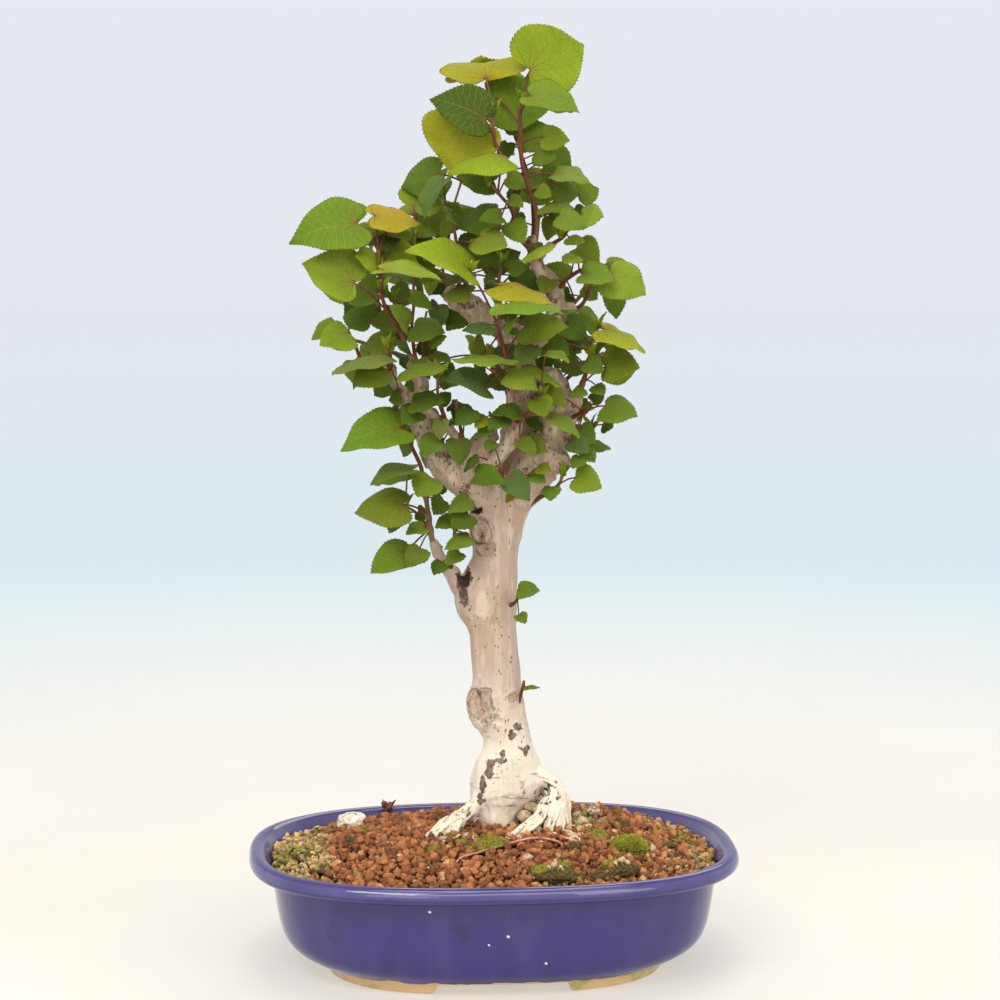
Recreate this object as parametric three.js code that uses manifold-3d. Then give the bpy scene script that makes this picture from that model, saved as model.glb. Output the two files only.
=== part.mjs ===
// A small-leaved sea hibiscus grown as a bonsai in an oval glazed pot. Millimetres, +Z up.
// The origin is on the surface that the pot stands on, under the middle of the pot. +X runs along the pot's
// long side and the tree's front faces -Y.
import * as THREE from "three";
import { mergeVertices } from "three/addons/utils/BufferGeometryUtils.js";
import Module from "manifold-3d";

const wasm = await Module();
wasm.setup();

// Driving dimensions.
const POT_LENGTH = 270;
const POT_WIDTH = 200;
const POT_HEIGHT = 65;
const POT_SQUARENESS = 2.65; // the oval's power: 2 is an ellipse, and a large number is a rectangle
const FOOT_HEIGHT = 6.5;
const FOOT_GAP_FRONT = 72;
const FOOT_GAP_END = 50;
const FLOOR_TOP = 13;
const DRAIN_RADIUS = 9;
const DRAIN_X = 46;
const CLEARANCE = 0.35; // between two pieces that lie against each other
const SLIVER = 0.08; // narrower facets than this are merged
const BLADE_THICKNESS = 0.65;
const SOIL_EDGE = 58;
const SOIL_CROWN = 74;
const GRANULE_RELIEF = 1.5;
const WIRE_RADIUS = 0.75;

// The tree is laid out as it is seen from the front. A place is the x and z at which it is seen on the upright plane
// through the pot's middle, and y is its real depth, so moving it in depth leaves the front view as it is.
const EYE = new THREE.Vector3(-119, -1596, 472);

function seen(x, z, y) {
  const onPlane = new THREE.Vector3(x, 0, z);
  return onPlane.sub(EYE).multiplyScalar((y - EYE.y) / -EYE.y).add(EYE);
}

const material = (name, color, roughness) =>
  new THREE.MeshStandardMaterial({ name, color, roughness, metalness: 0 });
const MATERIALS = {
  glaze: material("glaze", 0x2b2f7d, 0.2),
  soil: material("soil", 0x8a4f2d, 0.95),
  bark: material("bark", 0xcdb79c, 0.85),
  leaf: material("leaf", 0x4f7d2a, 0.6),
  moss: material("moss", 0x6f7d2a, 0.95),
  stone: material("stone", 0xd8d0c0, 0.9),
  netting: material("netting", 0x20242a, 0.7),
  wire: new THREE.MeshStandardMaterial({ name: "wire", color: 0xb8685a, roughness: 0.4, metalness: 0.8 }),
};

const tree = new THREE.Group();

// A seeded draw from 0 to 1, the same on every run.
function drawer(seed) {
  let state = seed;
  return () => {
    state = (state * 1103515245 + 12345) % 2147483648;
    return state / 2147483648;
  };
}

// Solids.

function solidOf(geometry) {
  const bare = geometry.clone();
  bare.deleteAttribute("normal");
  bare.deleteAttribute("uv");
  const merged = mergeVertices(bare, 1e-4);
  return new wasm.Manifold(
    new wasm.Mesh({
      numProp: 3,
      vertProperties: merged.attributes.position.array,
      triVerts: new Uint32Array(merged.index.array),
    }),
  );
}

function geometryOf(solid) {
  const mesh = solid.getMesh();
  return new THREE.BufferGeometry()
    .setAttribute("position", new THREE.BufferAttribute(new Float32Array(mesh.vertProperties), 3))
    .setIndex(new THREE.BufferAttribute(new Uint32Array(mesh.triVerts), 1));
}

function joined(solids) {
  return solids.reduce((sum, next) => sum.add(next));
}

// The largest body of a solid, without slivers: a scrap that a cut leaves loose is dropped.
function mainBody(solid) {
  return solid
    .simplify(SLIVER)
    .decompose()
    .reduce((best, next) => (next.volume() > best.volume() ? next : best));
}

function addPiece(name, geometry, look) {
  const mesh = new THREE.Mesh(geometry, look);
  mesh.name = name;
  tree.add(mesh);
}

// Rings of points, all with the same count, joined side to side; the first and the last ring are closed by a fan.
function loft(rings) {
  const count = rings[0].length;
  const points = rings.flat();
  const faces = [];
  for (let i = 0; i + 1 < rings.length; i++) {
    for (let j = 0; j < count; j++) {
      const k = (j + 1) % count;
      const [a, b, c, d] = [i * count + j, i * count + k, (i + 1) * count + k, (i + 1) * count + j];
      faces.push(a, b, c, a, c, d);
    }
  }
  const middle = (ring) =>
    ring.reduce((sum, p) => sum.add(p), new THREE.Vector3()).divideScalar(count);
  points.push(middle(rings[0]), middle(rings[rings.length - 1]));
  const last = (rings.length - 1) * count;
  for (let j = 0; j < count; j++) {
    const k = (j + 1) % count;
    faces.push(points.length - 2, k, j, points.length - 1, last + j, last + k);
  }
  const geometry = new THREE.BufferGeometry().setFromPoints(points);
  geometry.setIndex(faces);
  return geometry;
}

// The pot.

const POT_SIDES = 32;

function oval(halfLength, halfWidth, z, sides = POT_SIDES) {
  const power = 2 / POT_SQUARENESS;
  return Array.from({ length: sides }, (_, i) => {
    const turn = (2 * Math.PI * i) / sides;
    const [c, s] = [Math.cos(turn), Math.sin(turn)];
    return new THREE.Vector3(
      halfLength * Math.sign(c) * Math.abs(c) ** power,
      halfWidth * Math.sign(s) * Math.abs(s) ** power,
      z,
    );
  });
}

// Each row is how far the wall stands in from the rim's edge at the pot's ends, the same at its sides, and the height.
const POT_OUTSIDE = [
  [38, 25, FOOT_HEIGHT],
  [33.5, 22.5, 8.3],
  [25, 19, 12.5],
  [19, 16.5, 19],
  [15.5, 14.5, 31],
  [11.5, 11, 55.3],
  [3, 3, 55.8],
  [0, 0, 59.5],
  [1.5, 1.5, 63.6],
];
const POT_INSIDE = [
  [4.6, 4.6, POT_HEIGHT],
  [8.6, 8.6, 63.4],
  [16.5, 16.5, 53],
  [20, 20, 30],
  [36, 33, FLOOR_TOP],
];

const potRing = ([inEnd, inSide, z]) => oval(POT_LENGTH / 2 - inEnd, POT_WIDTH / 2 - inSide, z);

function makePot() {
  const body = solidOf(loft([...POT_OUTSIDE, ...POT_INSIDE].map(potRing)));
  const [[baseIn, baseSide]] = POT_OUTSIDE;
  const [footLength, footWidth] = [POT_LENGTH / 2 - baseIn, POT_WIDTH / 2 - baseSide];
  const footTop = FOOT_HEIGHT + 1.5; // the feet reach into the floor
  const ring = solidOf(loft([oval(footLength - 4, footWidth - 4, 0), oval(footLength - 0.6, footWidth - 0.6, footTop)]))
    .subtract(solidOf(loft([oval(footLength - 15, footWidth - 15, -1), oval(footLength - 15, footWidth - 15, footTop + 1)])));
  const gap = (width, across, turned) => {
    const side = new THREE.Shape([
      new THREE.Vector2(-width / 2 - 1.5, -1),
      new THREE.Vector2(width / 2 + 1.5, -1),
      new THREE.Vector2(width / 2 - 1.5, FOOT_HEIGHT),
      new THREE.Vector2(-width / 2 + 1.5, FOOT_HEIGHT),
    ]);
    const bar = new THREE.ExtrudeGeometry(side, { depth: across, bevelEnabled: false });
    bar.translate(0, 0, -across / 2).rotateX(Math.PI / 2);
    if (turned) bar.rotateZ(Math.PI / 2);
    return solidOf(bar);
  };
  const feet = ring
    .subtract(gap(FOOT_GAP_FRONT, POT_WIDTH, false))
    .subtract(gap(FOOT_GAP_END, POT_LENGTH, true));
  let pot = body.add(feet);
  for (const x of [-DRAIN_X, DRAIN_X]) {
    const drain = new THREE.CylinderGeometry(DRAIN_RADIUS, DRAIN_RADIUS, 4 * FLOOR_TOP, 20);
    pot = pot.subtract(solidOf(drain.rotateX(Math.PI / 2).translate(x, 0, 0)));
  }
  addPiece("pot", geometryOf(pot), MATERIALS.glaze);
}

// A square of plastic netting that keeps the soil off each drain hole.
const NETTING_SIDE = 24;
const NETTING_THICKNESS = 1.2;
const NETTING_BAR = 2;
const NETTING_BARS = 3;

function makeNetting(name, x) {
  const step = (NETTING_SIDE - NETTING_BAR) / (NETTING_BARS - 1);
  const bars = [];
  for (let i = 0; i < NETTING_BARS; i++) {
    const at = (i - (NETTING_BARS - 1) / 2) * step;
    bars.push(solidOf(new THREE.BoxGeometry(NETTING_BAR, NETTING_SIDE, NETTING_THICKNESS).translate(at, 0, 0)));
    bars.push(solidOf(new THREE.BoxGeometry(NETTING_SIDE, NETTING_BAR, NETTING_THICKNESS).translate(0, at, 0)));
  }
  const net = joined(bars).translate(x, 0, FLOOR_TOP + CLEARANCE + NETTING_THICKNESS / 2);
  addPiece(name, geometryOf(net), MATERIALS.netting);
}

// Wood: the trunk, its roots and its arms grew as one piece.

// A tapering limb through points of seen x, seen z, depth and radius, with a gnarled skin.
function limb(points, { sides = 8, steps = 2, knots = 0.08, seed = 1, fat = 0, flat = 1 } = {}) {
  const places = points.map(([x, z, y]) => seen(x, z, y));
  const line = new THREE.CatmullRomCurve3(places, false, "centripetal");
  const count = (points.length - 1) * steps;
  const draw = drawer(seed * 7919 + 13);
  const rings = [];
  let across = new THREE.Vector3(1, 0, 0);
  for (let i = 0; i <= count; i++) {
    const t = i / steps;
    const k = Math.min(Math.floor(t), points.length - 2);
    const radius = THREE.MathUtils.lerp(points[k][3], points[k + 1][3], t - k);
    const at = line.getPoint(i / count);
    const along = line.getTangent(i / count);
    across = across.clone().addScaledVector(along, -across.dot(along)).normalize();
    const third = new THREE.Vector3().crossVectors(along, across);
    rings.push(
      Array.from({ length: sides }, (_, j) => {
        const turn = (2 * Math.PI * j) / sides;
        const r = radius * (1 + knots * (2 * draw() - 1)) + fat;
        return at
          .clone()
          .addScaledVector(across, r * Math.cos(turn))
          .addScaledVector(third, flat * r * Math.sin(turn));
      }),
    );
  }
  const cap = (ring, along, shrink) => {
    const centre = ring.reduce((sum, p) => sum.add(p), new THREE.Vector3()).divideScalar(sides);
    const reach = ring[0].distanceTo(centre) * shrink;
    return ring.map((p) => p.clone().lerp(centre, 0.45).addScaledVector(along, reach));
  };
  const first = line.getTangent(0).negate();
  rings.unshift(cap(rings[0], first, 0.35));
  rings.push(cap(rings[rings.length - 1], line.getTangent(1), 0.35));
  return solidOf(loft(rings));
}

// The trunk's outline as it is seen from the front: height, left edge and right edge.
const TRUNK_OUTLINE = [
  [60, -8, 14],
  [72, -8, 14],
  [80, -9.5, 15],
  [94, -13, 28],
  [108, -11, 26.5],
  [116, -7, 23.5],
  [123, -5.5, 21],
  [131, -9.5, 19.5],
  [139, -13, 18],
  [149, -14, 16.5],
  [156, -11.5, 15.3],
  [182, -13, 13.2],
  [194, -19.5, 13],
  [207, -21, 13],
  [226, -11.5, 13.4],
  [236, -12.5, 16],
  [245, -13, 18],
  [262, -13, 24],
  [271, -8, 27],
];
const TRUNK_SIDES = 10;
const TRUNK_MIDDLE_Y = 6;
const TRUNK_DEPTH_SHARE = 0.86; // the trunk's depth beside its seen width

function trunk(fat) {
  const draw = drawer(5);
  const rings = TRUNK_OUTLINE.map(([z, left, right]) => {
    const half = (right - left) / 2;
    return Array.from({ length: TRUNK_SIDES }, (_, j) => {
      const turn = (2 * Math.PI * j) / TRUNK_SIDES;
      const bark = 1 + 0.05 * (2 * draw() - 1) * Math.abs(Math.sin(turn));
      const x = (left + right) / 2 + (half * bark + fat) * Math.cos(turn);
      const depth = Math.min(half, 17) * TRUNK_DEPTH_SHARE * bark + fat;
      return seen(x, z, TRUNK_MIDDLE_Y + depth * Math.sin(turn));
    });
  });
  return solidOf(loft(rings));
}

// Seen x, seen z, depth and radius along each limb, from its root to its end.
const ARMS = {
  left: [[-2, 258, 2, 11], [-14, 266, -3, 9.5], [-25, 275, -7, 8], [-33, 286, -9, 6.5], [-38, 297, -10, 5.6], [-46, 309, -11, 5.2], [-55, 320, -12, 4.8], [-59, 326, -12, 4]],
  left_upright: [[-39, 300, -10, 4.5], [-39, 312, -9, 4.2], [-39, 323, -8, 4.2], [-43, 332, -8, 4.4]],
  left_cross: [[-15, 286, -10, 3.6], [-25, 297, -15, 3.1], [-36, 307, -16, 2.9], [-45, 315, -14, 2.6]],
  middle: [[-12, 268, -4, 8], [-11, 279, -8, 7.2], [-6, 288, -10, 6.6], [-1, 295, -10, 5.4]],
  curved: [[-8, 273, -12, 3.8], [1, 279, -18, 4.1], [8, 287, -20, 4.1], [11.5, 296, -20, 3.8], [12, 306, -18, 3.5], [11, 316, -16, 2.8]],
  right: [[10, 258, 2, 12], [18, 268, 2, 13], [25, 280, 3, 13.5], [30, 292, 4, 12], [33, 305, 4, 9.5], [34, 318, 2, 7.5], [31, 326, 0, 5]],
  heart: [[6, 262, 8, 11], [12, 282, 12, 10], [16, 304, 12, 9], [16, 326, 9, 8.5], [12, 342, 5, 8.5], [5, 350, 1, 7.5], [-5, 357, -3, 6.5], [-15, 364, -6, 6], [-24, 370, -7, 5]],
  high_right: [[10, 340, 5, 7], [21, 344, 2, 6.5], [31, 349, 0, 6.2], [40, 357, -1, 5.4], [44, 361, -1, 4.2]],
  high_bend: [[33, 352, 0, 5.6], [34, 364, 0, 5], [31, 374, 0, 4.6], [25, 383, 0, 4.2], [22, 392, 0, 4.2], [20, 400, 1, 3.2]],
  high_fork: [[23, 388, 0, 3.4], [28, 393, -1, 3], [32, 396, -2, 2.3]],
  outer_right: [[34, 284, 4, 4.4], [41, 295, 3, 3.3], [44, 306, 1, 2.8], [47, 316, -1, 2.6]],
  low_left: [[-13, 203, 4, 6.5], [-18.5, 209, 1, 5.2], [-22.5, 216, -1, 4.6], [-27.5, 223, -3, 3.4], [-33, 234, -4, 2.8]],
};
const BURLS = [[35, 277, -8, 6.5], [26, 283, -9, 6], [38, 290, 0, 6.8], [29, 299, -5, 7], [-57, 325, -12, 5.4], [-6, 240, -7, 6]];
const ROOTS = {
  left: [[-4, 97, 2, 7], [-13, 88, -3, 5.6], [-20, 81, -8, 5.2], [-28, 75, -13, 5], [-34, 70, -18, 4], [-38, 62, -22, 3]],
  left_finger: [[-17, 84, -6, 3.2], [-21, 75, -15, 2.8], [-22, 66, -22, 2.4], [-22, 56, -26, 2]],
  stilt: [[18, 102, 3, 8], [29, 101, 1, 6.5], [36, 97, -1, 5.8], [40.5, 89, -3, 4.8], [42.5, 80, -4, 4], [45, 68, -4, 3]],
  stilt_front: [[37, 92, -4, 4.4], [29, 86, -10, 4], [20, 78, -16, 3.6], [11, 71, -21, 3.2], [3, 61, -25, 2.4]],
  stilt_middle: [[38, 90, -6, 3.8], [34, 81, -10, 3.2], [32, 73, -13, 2.8], [31, 60, -15, 2.4]],
  stilt_right: [[40, 86, -6, 3], [38, 76, -10, 2.5], [36, 62, -13, 2.1]],
  back: [[4, 96, 12, 8], [8, 86, 22, 6.2], [12, 77, 31, 4.8], [16, 68, 40, 3.6], [18, 58, 46, 2.6]],
  back_left: [[-4, 92, 12, 6.5], [-12, 82, 21, 5], [-18, 74, 29, 4], [-24, 60, 36, 2.8]],
};

function wood(fat) {
  const limbs = [trunk(fat)];
  let seed = 1;
  for (const points of [...Object.values(ARMS), ...Object.values(ROOTS)]) {
    limbs.push(limb(points, { sides: points[0][3] > 6 ? 6 : 5, steps: 1, seed: seed++, fat }));
  }
  for (const [x, z, y, r] of BURLS) {
    const knob = new THREE.DodecahedronGeometry(r + fat, 0);
    const place = seen(x, z, y);
    limbs.push(solidOf(knob.translate(place.x, place.y, place.z)));
  }
  return joined(limbs);
}

// Foliage. A stem is a row of points of seen x, seen z, depth and radius. A leaf is its joint's seen x and z, its
// tip's seen x and z, the joint's depth, how much deeper the tip is, how far the blade is opened towards the front
// (90 shows its whole face and 0 its edge), its width, and, where it was seen, the seen place on the stem from which
// its stalk comes. A bud is its seen x and z and its depth.
const SHOOTS = {
  crown_top: {
    stems: [
      [[22, 390, 0, 1.8], [24, 410, 0, 1.6], [20, 425, -1, 1.5], [17, 434, -2, 1.4], [15, 446, -3, 1.4], [14.5, 470, -3, 1.2]],
      [[19, 424, -1, 1.4], [14, 429, -4, 1.3], [7, 440, -7, 1.2], [1, 451, -9, 1.1], [0, 466, -8, 0.9]],
    ],
    leaves: [
      [20, 489, 48, 508.5, -2, 6, 80, 36, 14.5, 468],
      [-4, 486, -7, 494, -8, 30, 90, 43],
      [-4, 464.5, -33, 476, -13, 4, 60, 24, 3, 449],
      [1, 474, 33, 471, 10, 6, 60, 31, 14.5, 460],
      [20, 475, 47, 467, 1, -7, 30, 27, 14.5, 466],
      [-14.5, 460, -24, 436, -24, -7, 80, 38, 0, 455],
      [13, 454, 31, 460, 8, 8, 50, 22, 15, 447],
      [29, 441, 44.5, 434.5, 12, 6, 70, 20, 17, 434.5],
      [33, 434, 53, 430, -9, -6, 18, 26, 18, 432],
      [16, 427, 41.5, 429, 3, 8, 40, 24, 20, 422],
      [34, 428, 48, 424, 20, 8, 55, 17],
      [46, 422, 57.5, 426.5, 6, 4, 60, 15, 24, 412],
      [28, 417, 44, 415, -9, -8, 20, 20, 24, 410],
    ],
    buds: [[14.5, 475, -3], [0, 468, -8], [25, 423, -2]],
  },
  crown_left: {
    stems: [[[19, 394, -1, 1.5], [15, 399, -4, 1.4], [12, 407, -7, 1.3], [10, 415, -10, 1.2], [5, 421, -13, 1.1], [-1, 428, -15, 0.9]]],
    leaves: [
      [9, 443.5, -22.6, 436, -28, -5, 18, 30, 3, 424],
      [0, 431, -20, 433, -2, -2, 35, 22, 2, 425],
      [1, 411, -13, 402, 6, 6, 60, 15, 13, 401],
      [0, 413, -20, 406, -6, 5, 45, 20, 9, 416],
      [-8, 400, 8, 395, -16, -8, 45, 19, 12, 407],
      [10, 428, 20, 421, 9, 6, 70, 15, 10, 415],
      [24, 394, 24, 389, -22, -20, 65, 19, 16, 397],
    ],
    buds: [[-2, 430, -15]],
  },
  upper_left: {
    stems: [
      [[-18, 367, -7, 1.6], [-19, 385, -9, 1.2], [-20, 398, -11, 1.1], [-22, 408, -13, 1], [-26, 417, -15, 0.8]],
      [[-23, 369, -7, 1.2], [-27, 381, 0, 1], [-26, 396, 6, 0.9], [-22, 414, 8, 0.8], [-17, 430, 8, 0.7]],
    ],
    leaves: [
      [-26, 431, -37, 410, -18, -6, 22, 24, -26, 416],
      [-29, 434, -50, 427, 6, 6, 65, 21],
      [-13, 445, -4, 452, 10, 8, 60, 14],
    ],
    buds: [[-13, 455, 8]],
  },
  left_top: {
    stems: [
      [[-42, 331, -8, 2], [-46, 338, -12, 1.6], [-49, 346, -15, 1.5], [-53, 354, -18, 1.4], [-57, 360, -20, 1.3], [-60, 368, -22, 1.2], [-61, 380, -22, 1.1], [-62, 393, -22, 0.9]],
      [[-49, 345, -14, 1.2], [-52, 355, -9, 1], [-54, 366, -6, 0.8]],
    ],
    leaves: [
      [-72, 408, -108.5, 399.5, -29, -6, 45, 28, -62, 393],
      [-63, 412, -38, 410, -21, 5, 50, 26, -62, 393],
      [-58, 402, -57, 410, -24, 22, 90, 26, -62, 391],
      [-53, 396, -68, 400, -8, 6, 35, 18, -61, 382],
      [-74, 377.5, -100.5, 391.5, -34, 6, 30, 29, -57, 359],
      [-63, 388, -74, 391, -30, -7, 50, 14, -61, 378],
      [-61, 394, -40, 388, -36, -4, 45, 21, -61, 384],
      [-60, 382, -28, 376.5, -42, -8, 15, 27, -60, 370],
      [-63, 371, -79, 365, -14, 6, 40, 20, -58, 362],
      [-66, 354.5, -81.5, 358, -10, 9, 50, 18, -53, 353],
    ],
    buds: [[-62, 384, -24], [-54, 368, -6], [-60, 375, -24]],
  },
  left_inner: {
    stems: [
      [[-41, 330, -8, 1.5], [-43, 340, -3, 1.3], [-44, 352, 3, 1.1], [-43, 364, 8, 1], [-43, 384, 9, 0.9], [-42, 402, 7, 0.8]],
      [[-39, 322, -8, 1.3], [-38, 334, -2, 1.1], [-38, 348, 2, 0.9], [-36, 360, 4, 0.8]],
    ],
    leaves: [
      [-43, 416, -30, 425, 0, 12, 60, 22, -42, 401],
      [-43, 412, -7, 416, 6, 8, 40, 29, -42, 398],
      [-48, 402, -28, 398, 14, 4, 25, 18, -43, 386],
      [-54, 346, -72, 342, 2, 6, 40, 18],
      [-38, 345, -30, 337, 8, 6, 60, 14],
      [-43, 352, -26, 349, -10, -6, 40, 20, -38, 342],
      [-41, 321, -50, 318, 4, 5, 60, 10],
      [-28, 332, -27, 320, 2, -4, 70, 13],
    ],
    buds: [[-42, 404, 7]],
  },
  left_low: {
    stems: [
      [[-57, 325, -12, 1.7], [-65, 329, -15, 1.4], [-71, 333, -18, 1.3], [-74, 340, -20, 1.1], [-78, 348, -22, 0.8]],
      [[-57, 325, -12, 1.4], [-56, 331, -16, 1.3], [-57, 341, -20, 0.9]],
    ],
    leaves: [
      [-78, 348.5, -94, 343, -27, -6, 50, 20, -75, 343],
      [-60, 337.5, -88, 328.5, -34, -8, 12, 26, -56, 333],
      [-71, 333, -67, 319.5, -26, -6, 75, 15, -68, 331],
      [-60, 330.5, -76, 320, -32, -4, 60, 18, -57, 329],
      [-57, 321, -65, 314.5, -4, 3, 60, 12],
      [-50, 314, -57, 312, -2, 3, 60, 9],
    ],
    buds: [[-57, 343, -20]],
  },
  low_left_tip: {
    stems: [[[-33, 233, -4, 1.9], [-35, 245, -6, 1.7], [-36.5, 257, -9, 1.6], [-38.5, 270, -12, 1.5], [-40, 277, -14, 1.4], [-46, 290, -18, 1.2], [-48, 297, -20, 0.9]]],
    leaves: [
      [-50, 297, -83.5, 287, -26, -6, 45, 27, -47, 294],
      [-46, 274, -67.5, 266.5, -26, -6, 20, 22, -38.5, 268],
      [-49, 255, -76, 251, -22, 2, 50, 24, -35.5, 249],
      [-34, 270, -42, 259.5, -28, -5, 70, 16, -38, 268],
      [-28, 267, -34, 261, -6, 4, 60, 10],
      [-27, 257, -33, 249, -18, 2, 60, 11],
      [-37, 242, -48, 239, -16, -4, 35, 12],
      [-47, 228.5, -67.5, 217, -14, -4, 50, 20, -34.5, 241],
      [-40, 231, -47.5, 220.5, -18, -4, 60, 13, -34.5, 240],
      [-41, 251, -36, 247, 4, 4, 60, 8],
    ],
    buds: [[-48.5, 299, -20]],
  },
  low_left_foot: {
    stems: [[[-24, 217, -1, 1.5], [-22, 226, -12, 1.2], [-21, 240, -16, 1], [-19, 254, -18, 0.8]]],
    leaves: [
      [-13, 258, -25, 250.5, -24, -3, 60, 10],
      [-22, 247, -32, 242, -22, -3, 50, 10],
      [-13, 249, -23, 241, -26, -3, 60, 14, -21, 238],
      [-13, 237, -27, 229.5, -24, -3, 45, 11],
      [-18, 228, -26, 221, -18, -3, 60, 9],
      [-28, 223, -33, 216, -10, -4, 60, 9],
    ],
    buds: [],
  },
  middle_left: {
    stems: [
      [[-24, 297, -15, 1.4], [-27, 304, -20, 1.2], [-30, 314, -24, 1], [-30, 326, -28, 0.8]],
      [[-12, 279, -9, 1.4], [-16, 290, -16, 1.2], [-19, 302, -20, 1], [-20, 312, -22, 0.8]],
    ],
    leaves: [
      [-31.5, 332.5, -54, 323, -34, -8, 20, 22, -30, 324],
      [-44, 311, -26, 312, -28, -6, 35, 17, -29, 308],
      [-41, 306, -50, 299, -24, -5, 60, 13],
      [-30, 290, -40, 281, -26, -3, 60, 12],
      [-19, 290.5, -17.5, 276, -26, -4, 70, 12],
      [-28, 301, -29, 290, -32, -2, 60, 9],
      [-11, 307, -21, 298, -30, -4, 60, 12],
    ],
    buds: [[-30, 328, -28]],
  },
  centre: {
    stems: [
      [[11, 312, -17, 1.9], [8.5, 325, -22, 1.6], [6.5, 335, -25, 1.4], [4, 347, -28, 1.2], [2, 354, -30, 1]],
      [[10, 316, -18, 1.2], [2, 325, -26, 1], [-1, 329, -29, 0.8]],
      [[3, 353, -30, 1], [3, 364, -31, 0.9], [2, 374, -32, 0.7]],
    ],
    leaves: [
      [-12.5, 382, -47, 394, -33, -8, 30, 29, 1, 354],
      [3, 374, 34, 363.5, -38, -8, 18, 30, 3, 368],
      [4, 363.5, 39, 361, -44, -8, 12, 29, 3, 358],
      [17, 351.5, 41, 351.5, -34, -6, 35, 25, 6.5, 336],
      [-4, 336, -6, 331, -40, -20, 70, 31, 2, 347],
      [21, 342, 12, 330, -30, -4, 60, 13, 7, 334],
      [20, 331, 37, 319.5, -38, -7, 15, 20, 8, 328],
      [8, 325.5, 25, 317.5, -44, -5, 35, 18, -1, 329],
      [-3, 318, -27, 325, -36, -4, 35, 20, 2, 325],
      [-2, 353, -17, 350, -36, -4, 25, 16, 3, 352],
    ],
    buds: [[3, 366, -33], [-13, 384, -33]],
  },
  middle_low: {
    stems: [
      [[11.5, 298, -20, 1.5], [15, 301, -26, 1.2], [20, 305, -29, 1], [26, 314, -31, 0.8]],
      [[0, 294, -11, 1.3], [0, 300, -20, 1.1], [-2, 305, -25, 0.8]],
    ],
    leaves: [
      [15, 303, -1, 304.5, -33, -4, 35, 13, 15, 301],
      [31, 301.5, 48, 291.5, -30, -5, 20, 20, 20, 304],
      [24, 312, 29, 302, -36, -4, 70, 13, 22, 308],
      [27, 317, 40, 307.5, -33, -5, 50, 14, 25, 312],
      [14, 289, 24, 280.5, -30, -4, 50, 10],
      [-3.5, 302.5, -10, 296.5, -30, -4, 60, 8, -1, 302],
      [-1.5, 298, -8.5, 290.5, -27, -3, 60, 8],
      [28, 336, 42, 333, -34, -6, 15, 16, 26, 314],
    ],
    buds: [[26, 316, -31]],
  },
  fork: {
    stems: [[[4, 266, -4, 1.5], [5, 270, -20, 1.2], [4, 276, -27, 0.9]], [[14, 261, -3, 1.5], [15, 264, -18, 1.1], [18, 270, -23, 0.8]]],
    leaves: [
      [-10, 270, 7, 266, -31, -5, 50, 14],
      [9, 270, 20.5, 256, -28, -4, 60, 14],
      [0, 289, -4, 284, -28, -3, 60, 7],
      [21, 271, 29, 266, -27, -3, 60, 8],
      [25, 275, 32, 271.5, -24, -4, 50, 8],
    ],
    buds: [],
  },
  right_twig: {
    stems: [[[18, 252, 0, 1.6], [24, 257, -6, 1.4], [30, 260, -9, 1.2], [36, 265, -12, 1], [38, 270, -13, 0.8]]],
    leaves: [
      [45, 269, 60, 263.5, -18, -4, 60, 16, 36, 265],
      [32, 264, 31, 256, -18, -4, 70, 9, 30, 260],
      [50, 283, 56, 277, -12, -3, 60, 9, 38, 269],
      [48, 280, 43, 274, -22, -3, 60, 8, 38, 269],
    ],
    buds: [[38.5, 272, -13]],
  },
  right_low: {
    stems: [
      [[47, 315, -1, 1.7], [51, 327, -6, 1.4], [53, 337, -9, 1.2], [55, 345, -11, 1.1], [57, 351, -13, 0.9]],
      [[44, 302, 1, 1.5], [50, 305, -8, 1.2], [55, 307, -13, 0.9]],
    ],
    leaves: [
      [61, 308, 79.5, 302, -18, -6, 45, 20, 53, 306],
      [61, 329.5, 80.5, 329, -16, -5, 55, 21, 48, 319],
      [60, 350, 84, 338.5, -22, -6, 20, 25, 57, 350],
      [57, 353, 43, 361.5, -16, -4, 35, 18, 56, 349],
      [40, 354, 52, 345, -1, 4, 60, 14, 54, 341],
      [47, 296, 56, 287.5, -10, -4, 60, 13, 49, 304],
      [43.5, 290, 53, 282.5, -16, -4, 60, 12, 47, 303],
      [38, 332, 50, 326, 2, 5, 50, 13, 51, 328],
      [51, 332, 60, 326, -20, -5, 60, 12, 52, 331],
      [56, 319.5, 61, 314, -14, -4, 60, 8, 50, 322],
      [54, 311, 61, 314, 4, 3, 60, 7, 51, 306],
      [44, 317, 52, 314, -16, -4, 40, 9, 48, 319],
      [30, 343, 42, 336, -14, -4, 60, 14, 53, 338],
    ],
    buds: [[54, 338, -10], [57.5, 353, -13]],
  },
  right_high: {
    stems: [
      [[34, 370, 0, 1.6], [40, 377, -6, 1.3], [48, 382, -10, 1], [56, 384, -13, 0.8]],
      [[43, 360, -1, 1.5], [49, 364, -4, 1.3], [54, 375, -6, 0.9]],
    ],
    leaves: [
      [64, 380, 83.5, 368.5, -20, -6, 55, 24, 56, 383],
      [48, 380, 67, 376, -22, -5, 35, 20, 44, 379],
      [45, 394, 58, 386, -12, -5, 55, 18, 47, 381],
      [57, 373, 67, 371, -2, 4, 20, 11, 53, 372],
      [49, 373, 57, 366, 4, 4, 60, 11, 51, 368],
      [45, 390, 38, 386, -18, -5, 40, 11, 42, 378],
    ],
    buds: [[54.5, 377, -6]],
  },
  right_top: {
    stems: [[[32, 396, -2, 1.4], [38, 400, -5, 1.2], [42, 406, -7, 1], [46, 411, -9, 0.8]]],
    leaves: [
      [47.5, 412, 60, 411, -16, -5, 40, 19, 45, 410],
      [36, 412, 51, 405, -20, -4, 50, 14, 42, 405],
      [41, 400, 50, 397, -22, -5, 35, 10, 38, 400],
    ],
    buds: [[37, 401.5, -5]],
  },
  heart_front: {
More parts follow.
